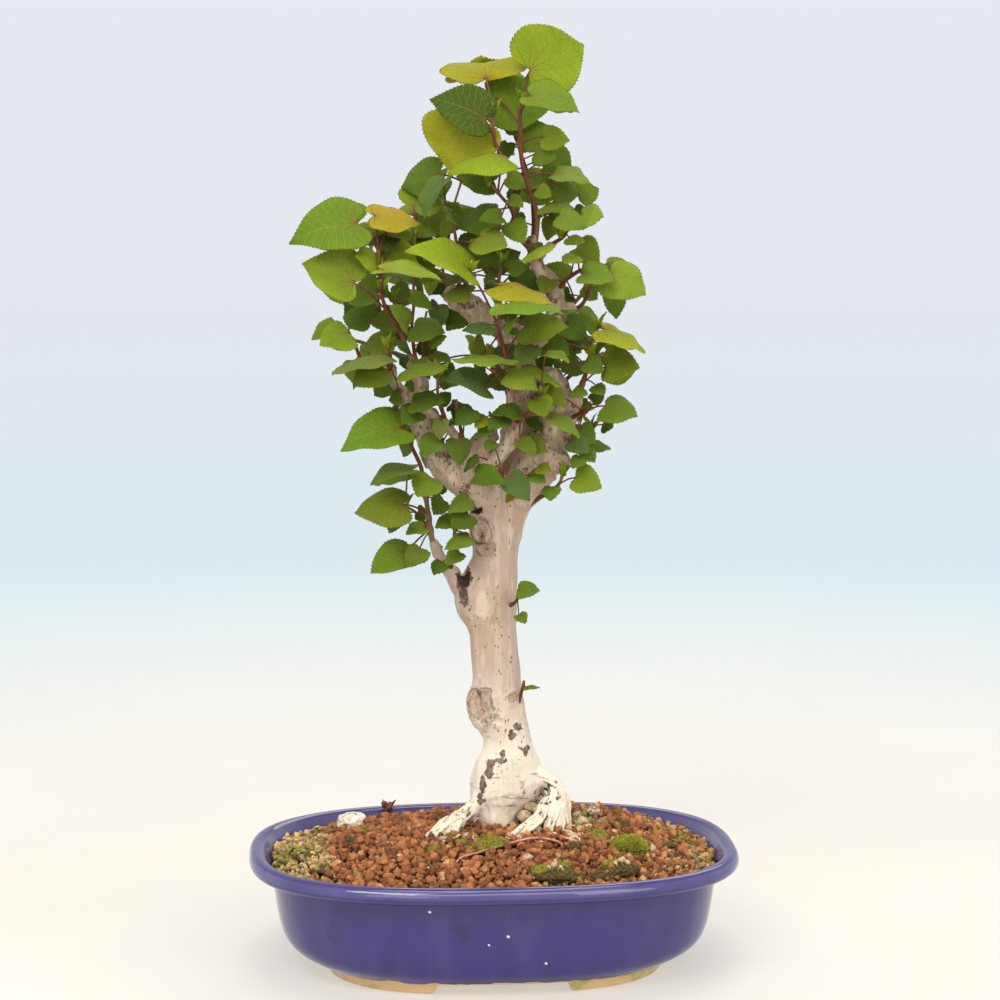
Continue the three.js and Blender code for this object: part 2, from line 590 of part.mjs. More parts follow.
    stems: [[[6, 350, 1, 1.5], [4, 362, -6, 1.3], [3, 375, -8, 1.1], [5, 386, -8, 0.8]]],
    leaves: [
      [-4, 383, 15, 393, -3, 6, 50, 19],
      [8, 383, 19, 385, -16, 4, 45, 12],
      [-12, 380, -33, 376, -16, 3, 15, 17, 3, 376],
      [14, 378, 22, 368, -8, 4, 70, 14],
    ],
    buds: [[5, 388, -8]],
  },
  trunk_leaves: {
    stems: [[[14, 144, 0, 1.4], [16.5, 153, -4, 1], [17, 156, -5, 0.8]]],
    leaves: [[17.5, 152.5, 26, 152.5, -6, -2, 15, 9]],
    buds: [],
  },
  trunk_sprig: {
    stems: [[[9, 198, -1, 1.5], [13, 201, -12, 1.1], [14, 207, -17, 0.8]]],
    leaves: [
      [14, 207, 26, 206.5, -20, -3, 50, 11],
      [14, 193, 18, 188, -20, -3, 60, 7, 13, 201],
    ],
    buds: [],
  },
};

// The shoots on the far side. They carry the near leaves' twins, each hidden behind its own leaf from the front.
const FAR_STEMS = {
  far_top: [
    [[21, 392, 1, 1.6], [22, 408, 14, 1.4], [20, 428, 24, 1.2], [14, 448, 30, 1], [8, 464, 32, 0.8]],
    [[22, 408, 14, 1.2], [32, 418, 26, 1], [42, 424, 36, 0.8]],
  ],
  far_left: [
    [[-55, 321, -11, 1.7], [-56, 336, 10, 1.5], [-60, 354, 26, 1.3], [-64, 376, 38, 1.1], [-66, 396, 44, 0.8]],
    [[-56, 336, 10, 1.2], [-68, 342, 24, 1], [-80, 346, 34, 0.8]],
  ],
  far_heart: [
    [[-10, 361, -4, 1.6], [-14, 374, 16, 1.4], [-20, 390, 32, 1.2], [-26, 404, 42, 0.9]],
    [[12, 344, 6, 1.5], [16, 358, 22, 1.3], [18, 372, 38, 1], [18, 382, 46, 0.8]],
  ],
  far_right: [
    [[36, 354, 0, 1.5], [44, 364, 16, 1.3], [54, 374, 28, 1], [62, 380, 34, 0.8]],
    [[33, 316, 3, 1.5], [44, 326, 18, 1.3], [56, 334, 28, 1], [64, 338, 34, 0.8]],
  ],
  far_low: [
    [[31, 290, 6, 1.6], [38, 290, 20, 1.3], [46, 292, 32, 1], [54, 296, 38, 0.8]],
    [[12, 300, 14, 1.6], [8, 314, 28, 1.4], [4, 328, 40, 1.1], [-2, 336, 48, 0.8]],
  ],
  far_low_left: [
    [[-24, 274, -6, 1.6], [-26, 284, 12, 1.4], [-32, 294, 26, 1.2], [-40, 300, 34, 0.9]],
    [[-33, 232, -3, 1.5], [-36, 242, 10, 1.3], [-42, 250, 20, 1], [-48, 254, 26, 0.8]],
  ],
};

// How the shoots are laid out.
const BLADE_ROOM = 2.8; // between the middle planes of two blades
const STALK_RADIUS = 0.62;
const DEPTH_STEP = 2.5;
const DEPTH_TRIES = 34;
const CROWN_MIDDLE_Y = 4;
const CROWN_REACH_Y = 92;
const TWIN_SCALE = 0.92;
const TWIN_STALK_REACH = 42;
const TWIN_WIDTH = 21;
const SMALLEST_SHOOT = 25; // cubic millimetres; less is a scrap
// The outline's right half, as shares of the width and the length, from the lobe beside the stalk towards the tip.
// Each holds for blades from its length up.
const LEAF_HALVES = [
  [27, [[0.24, -0.19], [0.45, -0.06], [0.46, 0.1], [0.51, 0.25], [0.38, 0.6]]],
  [17, [[0.34, -0.17], [0.455, 0.06], [0.5, 0.26], [0.37, 0.6]]],
  [12, [[0.33, -0.15], [0.5, 0.2], [0.38, 0.58]]],
  [0, [[0.45, -0.1], [0.45, 0.42]]],
];
const BREADTH = 1.12; // the blades' true breadth beside the tables' widths
const MIDRIB_PLACE = 0.3;

const plus = (a, b, k = 1) => [a[0] + k * b[0], a[1] + k * b[1], a[2] + k * b[2]];
const dot = (a, b) => a[0] * b[0] + a[1] * b[1] + a[2] * b[2];
const cross = (a, b) => [a[1] * b[2] - a[2] * b[1], a[2] * b[0] - a[0] * b[2], a[0] * b[1] - a[1] * b[0]];
const size = (a) => Math.sqrt(dot(a, a));
const unit = (a) => a.map((v) => v / size(a));
const between = (a, b, t) => plus(a, plus(b, a, -1), t);
const seenRow = (x, z, y) => seen(x, z, y).toArray();

// The near point on a row of points, as [distance, point].
function nearest(points, target) {
  let best = [Infinity, points[0]];
  for (let i = 0; i + 1 < points.length; i++) {
    const way = plus(points[i + 1], points[i], -1);
    const t = Math.min(1, Math.max(0, dot(plus(target, points[i], -1), way) / dot(way, way)));
    const at = plus(points[i], way, t);
    const gap = size(plus(target, at, -1));
    if (gap < best[0]) best = [gap, at];
  }
  return best;
}

// A blade's own axes: along from joint to tip, across, and out of its upper face.
function blade(joint, tip, open, width, bend, fold) {
  const length = size(plus(tip, joint, -1));
  const along = unit(plus(tip, joint, -1));
  const toEye = unit(plus(EYE.toArray(), joint, -1));
  const facing = unit(plus(toEye, along, -dot(toEye, along)));
  let side = cross(along, facing);
  if (side[2] < 0) side = side.map((v) => -v);
  const turn = (open * Math.PI) / 180;
  const up = plus(facing.map((v) => v * Math.sin(turn)), side, Math.cos(turn));
  const across = cross(along, up);
  const at = (u, v) => {
    const rise = fold * width * Math.abs(u) + bend * length * v * (1 - v);
    return plus(plus(plus(joint, along, v * length), across, u * width), up, rise);
  };
  return { joint, tip, length, width, along, across, up, at };
}

function outlineOf(leaf) {
  const [, half] = LEAF_HALVES.find(([from]) => leaf.length >= from);
  const left = half.map(([u, v]) => leaf.at(-u, v)).reverse();
  const notch = STALK_RADIUS / leaf.width;
  const right = half.map(([u, v]) => leaf.at(u, v));
  return [leaf.at(-notch, 0.02), leaf.at(notch, 0.02), ...right, leaf.at(0, 1), ...left];
}

// Whether a segment passes through a blade, or its ends lie closer to it than the room given.
function meetsBlade(a, b, leaf, room) {
  const middle = leaf.at(0, 0.38);
  const inside = (p) => {
    const from = plus(p, middle, -1);
    const u = dot(from, leaf.across) / (0.56 * leaf.width);
    const v = dot(from, leaf.along) / (0.64 * leaf.length);
    return u * u + v * v < 1;
  };
  const [da, db] = [dot(plus(a, middle, -1), leaf.up), dot(plus(b, middle, -1), leaf.up)];
  if (da * db < 0 && inside(between(a, b, da / (da - db)))) return true;
  return [a, b, between(a, b, 0.5)].some((p) => Math.abs(dot(plus(p, middle, -1), leaf.up)) < room && inside(p));
}

function segmentGap(a, b, c, d) {
  let gap = Infinity;
  for (let i = 0; i <= 4; i++) {
    gap = Math.min(gap, nearest([c, d], between(a, b, i / 4))[0], nearest([a, b], between(c, d, i / 4))[0]);
  }
  return gap;
}

// Everything laid out so far, and whether a new leaf with its stalk would touch any of it.
const laid = { leaves: [], rods: [] };

function clashes(leaf, stalk, shoot) {
  const ring = outlineOf(leaf);
  const edges = ring.map((p, i) => [p, ring[(i + 1) % ring.length]]);
  const reach = leaf.length + leaf.width;
  for (const other of laid.leaves) {
    if (size(plus(other.joint, leaf.joint, -1)) > reach + other.length + other.width) continue;
    if (edges.some(([a, b]) => meetsBlade(a, b, other, BLADE_ROOM))) return true;
    if (other.edges.some(([a, b]) => meetsBlade(a, b, leaf, BLADE_ROOM))) return true;
    for (let i = 0; i + 1 < stalk.length; i++) {
      if (meetsBlade(stalk[i], stalk[i + 1], other, 1.3)) return true;
    }
  }
  for (const rod of laid.rods) {
    if (nearest([rod.a, rod.b], leaf.joint)[0] > reach + 60) continue;
    if (meetsBlade(rod.a, rod.b, leaf, rod.radius + 1)) return true;
    if (rod.radius > 1.6 && edges.some(([a, b]) => segmentGap(a, b, rod.a, rod.b) < rod.radius + 1.2)) return true;
    if (rod.shoot === shoot) continue;
    for (let i = 0; i + 1 < stalk.length; i++) {
      if (segmentGap(stalk[i], stalk[i + 1], rod.a, rod.b) < rod.radius + STALK_RADIUS + 0.5) return true;
    }
  }
  return false;
}

function layRods(points, radii, shoot) {
  for (let i = 0; i + 1 < points.length; i++) {
    laid.rods.push({ a: points[i], b: points[i + 1], radius: Math.max(radii[i], radii[i + 1]), shoot });
  }
}

// A stalk leaves its stem, rises and comes into the blade's notch from below.
function stalkTo(leaf, start) {
  const end = leaf.at(0, 0.02);
  const reach = size(plus(end, start, -1));
  const middle = plus(between(start, end, 0.5), [0, 0, 1], 0.1 * reach);
  const bow = (t) => between(between(start, middle, t), between(middle, end, t), t);
  return reach > 9 ? [start, bow(0.55), end] : [start, end];
}

// Lays a leaf at the first depth where it is clear of everything, nearest to its own depth.
function layLeaf(row, stems, shoot, draw, longest) {
  const [x0, z0, x1, z1, y, deeper, open, width, stemX, stemZ] = row;
  const bend = 0.1 + 0.22 * draw();
  const fold = draw() < 0.6 ? -0.1 - 0.14 * draw() : 0.1 + 0.12 * draw();
  for (let k = 0; k < DEPTH_TRIES; k++) {
    const move = DEPTH_STEP * Math.ceil(k / 2) * (k % 2 ? -1 : 1);
    const joint = seenRow(x0, z0, y + move);
    const leaf = blade(joint, seenRow(x1, z1, y + move + deeper), open, BREADTH * width, bend, fold);
    const target = stemX === undefined ? leaf.joint : null;
    let best = [Infinity, null];
    for (const stem of stems) {
      const found = target
        ? nearest(stem.slice(1), target)
        : nearest(stem, seenRow(stemX, stemZ, nearest(stem, seenRow(stemX, stemZ, y))[1][1]));
      if (found[0] < best[0]) best = found;
    }
    if (size(plus(best[1], leaf.joint, -1)) > longest) continue;
    const stalk = stalkTo(leaf, best[1]);
    if (clashes(leaf, stalk, shoot)) continue;
    const ring = outlineOf(leaf);
    if (ring.some((p) => Math.abs(p[1]) > CROWN_REACH_Y)) continue;
    leaf.edges = ring.map((p, i) => [p, ring[(i + 1) % ring.length]]);
    laid.leaves.push(leaf);
    layRods(stalk, stalk.map(() => STALK_RADIUS), shoot);
    return { leaf, stalk };
  }
  return null;
}

function layShoots() {
  for (const points of Object.values(ARMS)) {
    layRods(points.map(([x, z, y]) => seenRow(x, z, y)), points.map((p) => p[3]), "wood");
  }
  const column = TRUNK_OUTLINE.map(([z, left, right]) => [(left + right) / 2, z, TRUNK_MIDDLE_Y, (right - left) / 2]);
  layRods(column.map(([x, z, y]) => seenRow(x, z, y)), column.map((p) => p[3]), "wood");
  const shoots = {};
  const places = (stem) => stem.map(([x, z, y]) => seenRow(x, z, y));
  for (const [name, { stems }] of Object.entries(SHOOTS)) {
    shoots[name] = { stems, lines: stems.map(places), leaves: [], buds: SHOOTS[name].buds };
  }
  for (const [name, stems] of Object.entries(FAR_STEMS)) {
    shoots[name] = { stems, lines: stems.map(places), leaves: [], buds: [] };
  }
  for (const [name, shoot] of Object.entries(shoots)) {
    shoot.lines.forEach((line, i) => layRods(line, shoot.stems[i].map((p) => p[3]), name));
  }
  const draw = drawer(77);
  const twins = [];
  for (const [name, { leaves }] of Object.entries(SHOOTS)) {
    for (const row of leaves) {
      const made = layLeaf(row, shoots[name].lines, name, draw, 60);
      if (made) shoots[name].leaves.push(made);
      if (row[7] >= TWIN_WIDTH && row[1] > 235) twins.push(row);
    }
  }
  for (const row of twins) {
    const [x0, z0, x1, z1, y, deeper, open, width] = row;
    const back = 2 * CROWN_MIDDLE_Y - y + 14 + 22 * draw();
    const twin = [x0, z0, x0 + TWIN_SCALE * (x1 - x0), z0 + TWIN_SCALE * (z1 - z0), back, -deeper + 4, open, TWIN_SCALE * width];
    const home = Object.keys(FAR_STEMS).map((name) => {
      const gaps = shoots[name].lines.map((line) => nearest(line.slice(1), seenRow(x0, z0, back))[0]);
      return [Math.min(...gaps), name];
    });
    const [, name] = home.reduce((best, next) => (next[0] < best[0] ? next : best));
    const made = layLeaf(twin, shoots[name].lines, name, draw, TWIN_STALK_REACH);
    if (made) shoots[name].leaves.push(made);
  }
  return shoots;
}

function rod(points, radii, sides) {
  let across = [0, 1, 0];
  const rings = points.map((p, i) => {
    const along = unit(plus(points[Math.min(i + 1, points.length - 1)], points[Math.max(i - 1, 0)], -1));
    across = unit(plus(across, along, -dot(across, along)));
    const third = cross(along, across);
    return Array.from({ length: sides }, (_, j) => {
      const turn = (2 * Math.PI * j) / sides;
      const out = plus(plus(p, across, radii[i] * Math.cos(turn)), third, radii[i] * Math.sin(turn));
      return new THREE.Vector3(...out);
    });
  });
  return solidOf(loft(rings));
}

// A blade and its stalk in one skin: the stalk's square end is the edge of the blade at its notch.
function leafSolid({ leaf, stalk }) {
  const ring = outlineOf(leaf);
  const count = ring.length;
  const top = [...ring, leaf.at(0, MIDRIB_PLACE)];
  const half = BLADE_THICKNESS / 2;
  const points = [...top.map((p) => plus(p, leaf.up, half)), ...top.map((p) => plus(p, leaf.up, -half))];
  const faces = [];
  const below = count + 1;
  for (let i = 0; i < count; i++) {
    const next = (i + 1) % count;
    faces.push(i, next, count);
    // The two points beside the notch share one point below.
    if (i > 0) faces.push(below + (next || 1), below + i, below + count);
    if (i > 0) faces.push(i, below + i, below + (next || 1), i, below + (next || 1), next);
  }
  let ends = [0, below + 1, 1];
  for (const p of stalk.slice(0, -1).reverse()) {
    const way = unit(plus(leaf.joint, stalk[0], -1));
    const side = unit(plus(leaf.across, way, -dot(leaf.across, way)));
    const rise = cross(side, way);
    const start = points.length;
    for (const [u, v] of [[-1, 0.6], [0, -1.2], [1, 0.6]]) {
      points.push(plus(plus(p, side, u * STALK_RADIUS), rise, v * STALK_RADIUS));
    }
    const nexts = [start, start + 1, start + 2];
    for (let j = 0; j < 3; j++) {
      const k = (j + 1) % 3;
      faces.push(ends[j], ends[k], nexts[k], ends[j], nexts[k], nexts[j]);
    }
    ends = nexts;
  }
  faces.push(ends[0], ends[1], ends[2]);
  const geometry = new THREE.BufferGeometry().setFromPoints(points.map((p) => new THREE.Vector3(...p)));
  geometry.setIndex(faces);
  return solidOf(geometry);
}

function budSolid([x, z, y]) {
  const [a, b] = [seenRow(x, z - 2.6, y), seenRow(x, z + 3, y)];
  return rod([a, between(a, b, 0.45), b], [0.7, 1.6, 0.4], 3);
}

function makeShoots(fatWood) {
  const shoots = layShoots();
  for (const [name, { stems, lines, leaves, buds }] of Object.entries(shoots)) {
    const solids = lines.map((line, i) => rod(line, stems[i].map((p) => p[3]), stems[i][0][3] > 1.45 ? 4 : 3));
    solids.push(...leaves.map(leafSolid), ...buds.map(budSolid));
    // The wood parts some of these at its surface into two shoots that stand beside each other.
    const bodies = joined(solids).subtract(fatWood).simplify(SLIVER).decompose();
    const grown = bodies.filter((body) => body.volume() > SMALLEST_SHOOT);
    grown.sort((a, b) => b.volume() - a.volume());
    grown.forEach((body, i) => addPiece(`shoot_${name}` + (i ? `_${i + 1}` : ""), geometryOf(body), MATERIALS.leaf));
  }
}

// The soil, the stone and the moss on it, and the wire that ties the roots down.

const SOIL_EDGE_IN = 14; // the soil's edge stands in from the rim's edge by this
const SOIL_RINGS = [0.22, 0.46, 0.72, 1];
const SOIL_SIDES = POT_SIDES;

// The soil's surface above a place: it climbs from the wall to the roots and to a mound behind them on the right.
function soilHeight(x, y) {
  const out = Math.min(1, Math.hypot(x / (POT_LENGTH / 2 - 12), y / (POT_WIDTH / 2 - 12)));
  const climb = (SOIL_CROWN - SOIL_EDGE) * (1 - out ** 2.2);
  const mound = 5 * Math.exp(-(((x - 62) / 30) ** 2) - ((y - 45) / 25) ** 2);
  return SOIL_EDGE + climb + mound;
}

function makeSoil(holes) {
  const draw = drawer(31);
  const inside = ([inEnd, inSide, z]) =>
    oval(POT_LENGTH / 2 - inEnd - CLEARANCE, POT_WIDTH / 2 - inSide - CLEARANCE, z, SOIL_SIDES);
  const wall = POT_INSIDE.slice(1).reverse().map(([e, s, z]) => [e, s, z === FLOOR_TOP ? FLOOR_TOP + 2.2 : z]);
  const rings = wall.slice(0, -1).map(inside);
  const top = oval(POT_LENGTH / 2 - SOIL_EDGE_IN, POT_WIDTH / 2 - SOIL_EDGE_IN, SOIL_EDGE - 1.5, SOIL_SIDES);
  rings.push(top);
  for (const share of [...SOIL_RINGS].reverse()) {
    rings.push(
      top.map((p, j) => {
        const sway = share === 1 ? 0 : 0.035 * (2 * draw() - 1);
        const [x, y] = [p.x * (share + sway) * 0.985, p.y * (share + sway) * 0.985];
        const grain = share === 1 ? 0 : GRANULE_RELIEF * (2 * draw() - 1);
        return new THREE.Vector3(x, y, soilHeight(x, y) + grain + (j % 2 ? 0.3 : 0));
      }),
    );
  }
  let soil = solidOf(loft(rings));
  for (const hole of holes) soil = soil.subtract(hole);
  addPiece("soil", geometryOf(mainBody(soil)), MATERIALS.soil);
}

// A white stone and a cushion of moss, each sunk a little into its own hollow in the soil.
function lump(x, y, halves, seed, fat) {
  const draw = drawer(seed);
  const ball = new THREE.IcosahedronGeometry(1, 1);
  const merged = mergeVertices(ball.deleteAttribute("normal").deleteAttribute("uv"), 1e-4);
  const at = merged.attributes.position;
  for (let i = 0; i < at.count; i++) {
    const k = 1 + 0.12 * (2 * draw() - 1);
    at.setXYZ(i, (k * halves[0] + fat) * at.getX(i), (k * halves[1] + fat) * at.getY(i), (k * halves[2] + fat) * at.getZ(i));
  }
  merged.translate(x, y, soilHeight(x, y) + halves[2] * 0.35);
  return solidOf(merged);
}

const STONE = [-77, 34, [8.5, 6.5, 5.5]];
const MOSS_CUSHION = [72, -31, [9.5, 9, 5.5]];

// Seen x, seen z and depth along the wire, from where it comes out of the soil to its hooked end.
const WIRE = [
  [-23, 44, -53], [-19.5, 54.9, -51], [-8, 58.5, -46], [4, 61.5, -41], [12, 63.5, -37], [20.6, 65.3, -34],
  [28.8, 65.3, -32], [37, 63.1, -32], [38.7, 60, -34], [39, 46, -35],
];

function wireSolid(fat) {
  const places = WIRE.map(([x, z, y]) => seenRow(x, z, y));
  return rod(places, places.map(() => WIRE_RADIUS + fat), 6);
}

makePot();
makeNetting("netting_left", -DRAIN_X);
makeNetting("netting_right", DRAIN_X);
const treeWood = wood(0);
const fatWood = wood(CLEARANCE + SLIVER).simplify(SLIVER);
const fatWire = wireSolid(CLEARANCE);
addPiece("trunk_roots_and_arms", geometryOf(mainBody(treeWood.simplify(0.3))), MATERIALS.bark);
addPiece("tie_wire", geometryOf(mainBody(wireSolid(0).subtract(fatWood))), MATERIALS.wire);
addPiece("white_stone", geometryOf(lump(...STONE, 3, 0)), MATERIALS.stone);
addPiece("moss_cushion", geometryOf(lump(...MOSS_CUSHION, 4, 0)), MATERIALS.moss);
makeSoil([fatWood, fatWire, lump(...STONE, 3, CLEARANCE), lump(...MOSS_CUSHION, 4, CLEARANCE)]);
makeShoots(fatWood);

export default tree;
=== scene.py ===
"""A sea hibiscus grown as a bonsai in an oval glazed pot, dressed over its fixed frame.

Lengths in the tables are millimetres in the part's frame: +X along the pot, +Y from front to back, +Z up.
"""

import math

import bmesh
import bpy
import numpy as np
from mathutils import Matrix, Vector, noise


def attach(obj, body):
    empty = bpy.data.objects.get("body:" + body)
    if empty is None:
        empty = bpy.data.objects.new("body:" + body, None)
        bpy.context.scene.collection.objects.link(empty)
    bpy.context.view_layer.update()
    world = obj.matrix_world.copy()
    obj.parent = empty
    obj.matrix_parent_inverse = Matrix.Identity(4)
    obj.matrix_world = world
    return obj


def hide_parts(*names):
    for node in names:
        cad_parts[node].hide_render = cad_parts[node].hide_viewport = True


bl_info = {
    "name": "Sea hibiscus bonsai",
    "version": (1, 0, 0),
    "blender": (4, 5, 0),
    "location": "View3D > Sidebar > Bonsai",
    "description": "Dresses a sea hibiscus bonsai: glazed pot, clay grains, moss, bark and toothed leaves",
    "category": "Object",
}

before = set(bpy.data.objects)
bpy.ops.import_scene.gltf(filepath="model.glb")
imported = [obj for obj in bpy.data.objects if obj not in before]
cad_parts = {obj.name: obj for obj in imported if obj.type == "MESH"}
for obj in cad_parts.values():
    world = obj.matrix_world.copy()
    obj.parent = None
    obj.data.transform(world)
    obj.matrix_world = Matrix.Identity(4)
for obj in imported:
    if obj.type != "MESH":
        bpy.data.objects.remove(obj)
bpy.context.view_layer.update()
MM = 0.001

# The tree is laid out as it is seen from the front. A place is the x and z at which it is seen on the upright
# plane through the pot's middle, and y is its real depth.
EYE = np.array([-119.0, -1596.0, 472.0])

# The pot and the soil.
POT_LENGTH = 270.0
POT_WIDTH = 200.0
POT_SQUARENESS = 2.65  # the oval's power: 2 is an ellipse, and a large number is a rectangle
POT_SIDES = 160
FOOT_GAP_FRONT = 72.0
FOOT_GAP_END = 50.0
FLOOR_TOP = 13.0
DRAIN_RADIUS = 9.0
DRAIN_X = 46.0
RIM_WIDTH = 12
SOIL_EDGE = 58.0
SOIL_CROWN = 74.0
# How far the pot's skin stands in from the rim's edge at its ends, the same at its sides, and the height.
POT_SKIN = [
    (38, 25, 6.5), (35.4, 23.5, 7.1), (33.2, 22.4, 8.4), (28.8, 20.6, 10.4), (25, 19, 12.6),
    (21.6, 17.6, 15.6), (19, 16.5, 19.2), (17, 15.3, 24.5), (15.5, 14.5, 31), (13.6, 12.9, 43),
    (12, 11.5, 52.6), (11.2, 10.8, 54.8), (9.4, 9.3, 55.7), (6, 6, 55.5), (3, 3, 55.9), (0.9, 0.9, 57.4),
    (0, 0, 59.5), (0.35, 0.35, 61.8), (1.5, 1.5, 63.7), (3.1, 3.1, 64.75), (4.8, 4.8, 65), (6.7, 6.7, 64.6),
    (8.5, 8.5, 63.3), (10, 10, 61), (13, 13, 57.2), (16.5, 16.5, 52), (18.6, 18.6, 42), (20, 20, 30),
    (24, 23, 18.5), (36, 33, 13),
]
STONE = (-77, 34, (8.5, 6.5, 5.5))
MOSS_CUSHION = (72, -31, (9.5, 9, 5.5))
WIRE_RADIUS = 0.95
WIRE = [
    (-23, 44, -53), (-19.5, 54.9, -51), (-8, 58.5, -46), (4, 61.5, -41), (12, 63.5, -37), (20.6, 65.3, -34),
    (28.8, 65.3, -32), (37, 63.1, -32), (38.7, 60, -34), (39, 46, -35),
]

# The trunk's outline as it is seen from the front: height, left edge and right edge.
TRUNK_OUTLINE = [
    (60, -8, 14), (72, -8, 14), (80, -9.5, 15), (94, -13, 28), (108, -11, 26.5), (116, -7, 23.5),
    (123, -5.5, 21), (131, -9.5, 19.5), (139, -13, 18), (149, -14, 16.5), (156, -11.5, 15.3),
    (182, -13, 13.2), (194, -19.5, 13), (207, -21, 13), (226, -11.5, 13.4), (236, -12.5, 16), (245, -13, 18),
    (262, -13, 24), (271, -8, 27),
]
TRUNK_MIDDLE_Y = 6.0
TRUNK_FOOT_X = 4.0
TRUNK_FOOT_RADIUS = 11.5
TRUNK_SIDES = 36
TRUNK_DEPTH_SHARE = 0.86  # the trunk's depth beside its seen width
BURLS = [
    (35, 277, -8, 6.5), (26, 283, -9, 6), (38, 290, 0, 6.8), (29, 299, -5, 7), (-57, 325, -12, 5.4),
    (-6, 240, -7, 6),
]
# Seen x, seen z, depth and radius along each limb, from its root to its end.
ARMS = {
    "left": [(-2, 258, 2, 11), (-14, 266, -3, 9.5), (-25, 275, -7, 8), (-33, 286, -9, 6.5),
        (-38, 297, -10, 5.6), (-46, 309, -11, 5.2), (-55, 320, -12, 4.8), (-59, 326, -12, 4)],
    "left_upright": [(-39, 300, -10, 4.5), (-39, 312, -9, 4.2), (-39, 323, -8, 4.2), (-43, 332, -8, 4.4)],
    "left_cross": [(-15, 286, -10, 3.6), (-25, 297, -15, 3.1), (-36, 307, -16, 2.9), (-45, 315, -14, 2.6)],
    "middle": [(-12, 268, -4, 8), (-11, 279, -8, 7.2), (-6, 288, -10, 6.6), (-1, 295, -10, 5.4)],
    "curved": [(-8, 273, -12, 3.8), (1, 279, -18, 4.1), (8, 287, -20, 4.1), (11.5, 296, -20, 3.8),
        (12, 306, -18, 3.5), (11, 316, -16, 2.8)],
    "right": [(10, 258, 2, 12), (18, 268, 2, 13), (25, 280, 3, 13.5), (30, 292, 4, 12), (33, 305, 4, 9.5),
        (34, 318, 2, 7.5), (31, 326, 0, 5)],
    "heart": [(6, 262, 8, 11), (12, 282, 12, 10), (16, 304, 12, 9), (16, 326, 9, 8.5), (12, 342, 5, 8.5),
        (5, 350, 1, 7.5), (-5, 357, -3, 6.5), (-15, 364, -6, 6), (-24, 370, -7, 5)],
    "high_right": [(10, 340, 5, 7), (21, 344, 2, 6.5), (31, 349, 0, 6.2), (40, 357, -1, 5.4),
        (44, 361, -1, 4.2)],
    "high_bend": [(33, 352, 0, 5.6), (34, 364, 0, 5), (31, 374, 0, 4.6), (25, 383, 0, 4.2), (22, 392, 0, 4.2),
        (20, 400, 1, 3.2)],
    "high_fork": [(23, 388, 0, 3.4), (28, 393, -1, 3), (32, 396, -2, 2.3)],
    "outer_right": [(34, 284, 4, 4.4), (41, 295, 3, 3.3), (44, 306, 1, 2.8), (47, 316, -1, 2.6)],
    "low_left": [(-13, 203, 4, 6.5), (-18.5, 209, 1, 5.2), (-22.5, 216, -1, 4.6), (-27.5, 223, -3, 3.4),
        (-33, 234, -4, 2.8)],
}
ROOTS = {
    "left": [(-4, 94, 2, 5), (-11, 85, -2, 3.8), (-18, 79, -7, 3.1), (-26, 74, -12, 2.8),
        (-33, 68.5, -17, 2.3), (-37, 62, -21, 1.8)],
    "left_finger": [(-16, 81, -7, 2.1), (-20, 73.5, -13, 1.8), (-21.5, 65, -20, 1.6), (-21, 56, -24, 1.3)],
    "left_low": [(-12, 85, 0, 2.3), (-19, 76, -9, 1.9), (-25, 68, -16, 1.6), (-27, 60, -20, 1.3)],
    "left_high": [(-13, 87, 0, 2.2), (-22, 80, -5, 1.9), (-31, 74.5, -9, 1.6), (-38, 68, -13, 1.2)],
    "left_under": [(-8, 86, 2, 2.8), (-14, 77, 0, 2.3), (-20, 71, -3, 1.9), (-27, 66, -6, 1.5)],
    "stilt": [(18, 103, 3, 7), (28, 100.5, 1, 5.4), (34.5, 96, -1, 4.8), (38, 88.5, -3, 4.1),
        (39.6, 79.5, -4, 3.2), (41, 68, -4, 2.3)],
    "stilt_front": [(34, 92, -4, 3.7), (29, 85, -9, 3.2), (24, 77.5, -13, 2.8), (15, 71, -19, 2.5),
        (7, 66.5, -23, 2.1), (0, 60, -26, 1.6)],
    "stilt_middle": [(36, 91, -6, 2.8), (33.4, 81, -10, 2.2), (31, 73, -13, 1.9), (30, 60, -15, 1.6)],
    "stilt_right": [(38, 87, -6, 2.4), (37, 76, -9, 1.9), (37, 62, -12, 1.6)],
    "web": [(14, 100, 10, 6.5), (23, 93, 11, 5.4), (31, 83, 11, 4.8), (35, 70, 10, 3.6)],
    "back": [(4, 96, 12, 8), (8, 86, 22, 6.2), (12, 77, 31, 4.8), (16, 68, 40, 3.6), (18, 58, 46, 2.6)],
    "back_left": [(-4, 92, 12, 6.5), (-12, 82, 21, 5), (-18, 74, 29, 4), (-24, 60, 36, 2.8)],
}

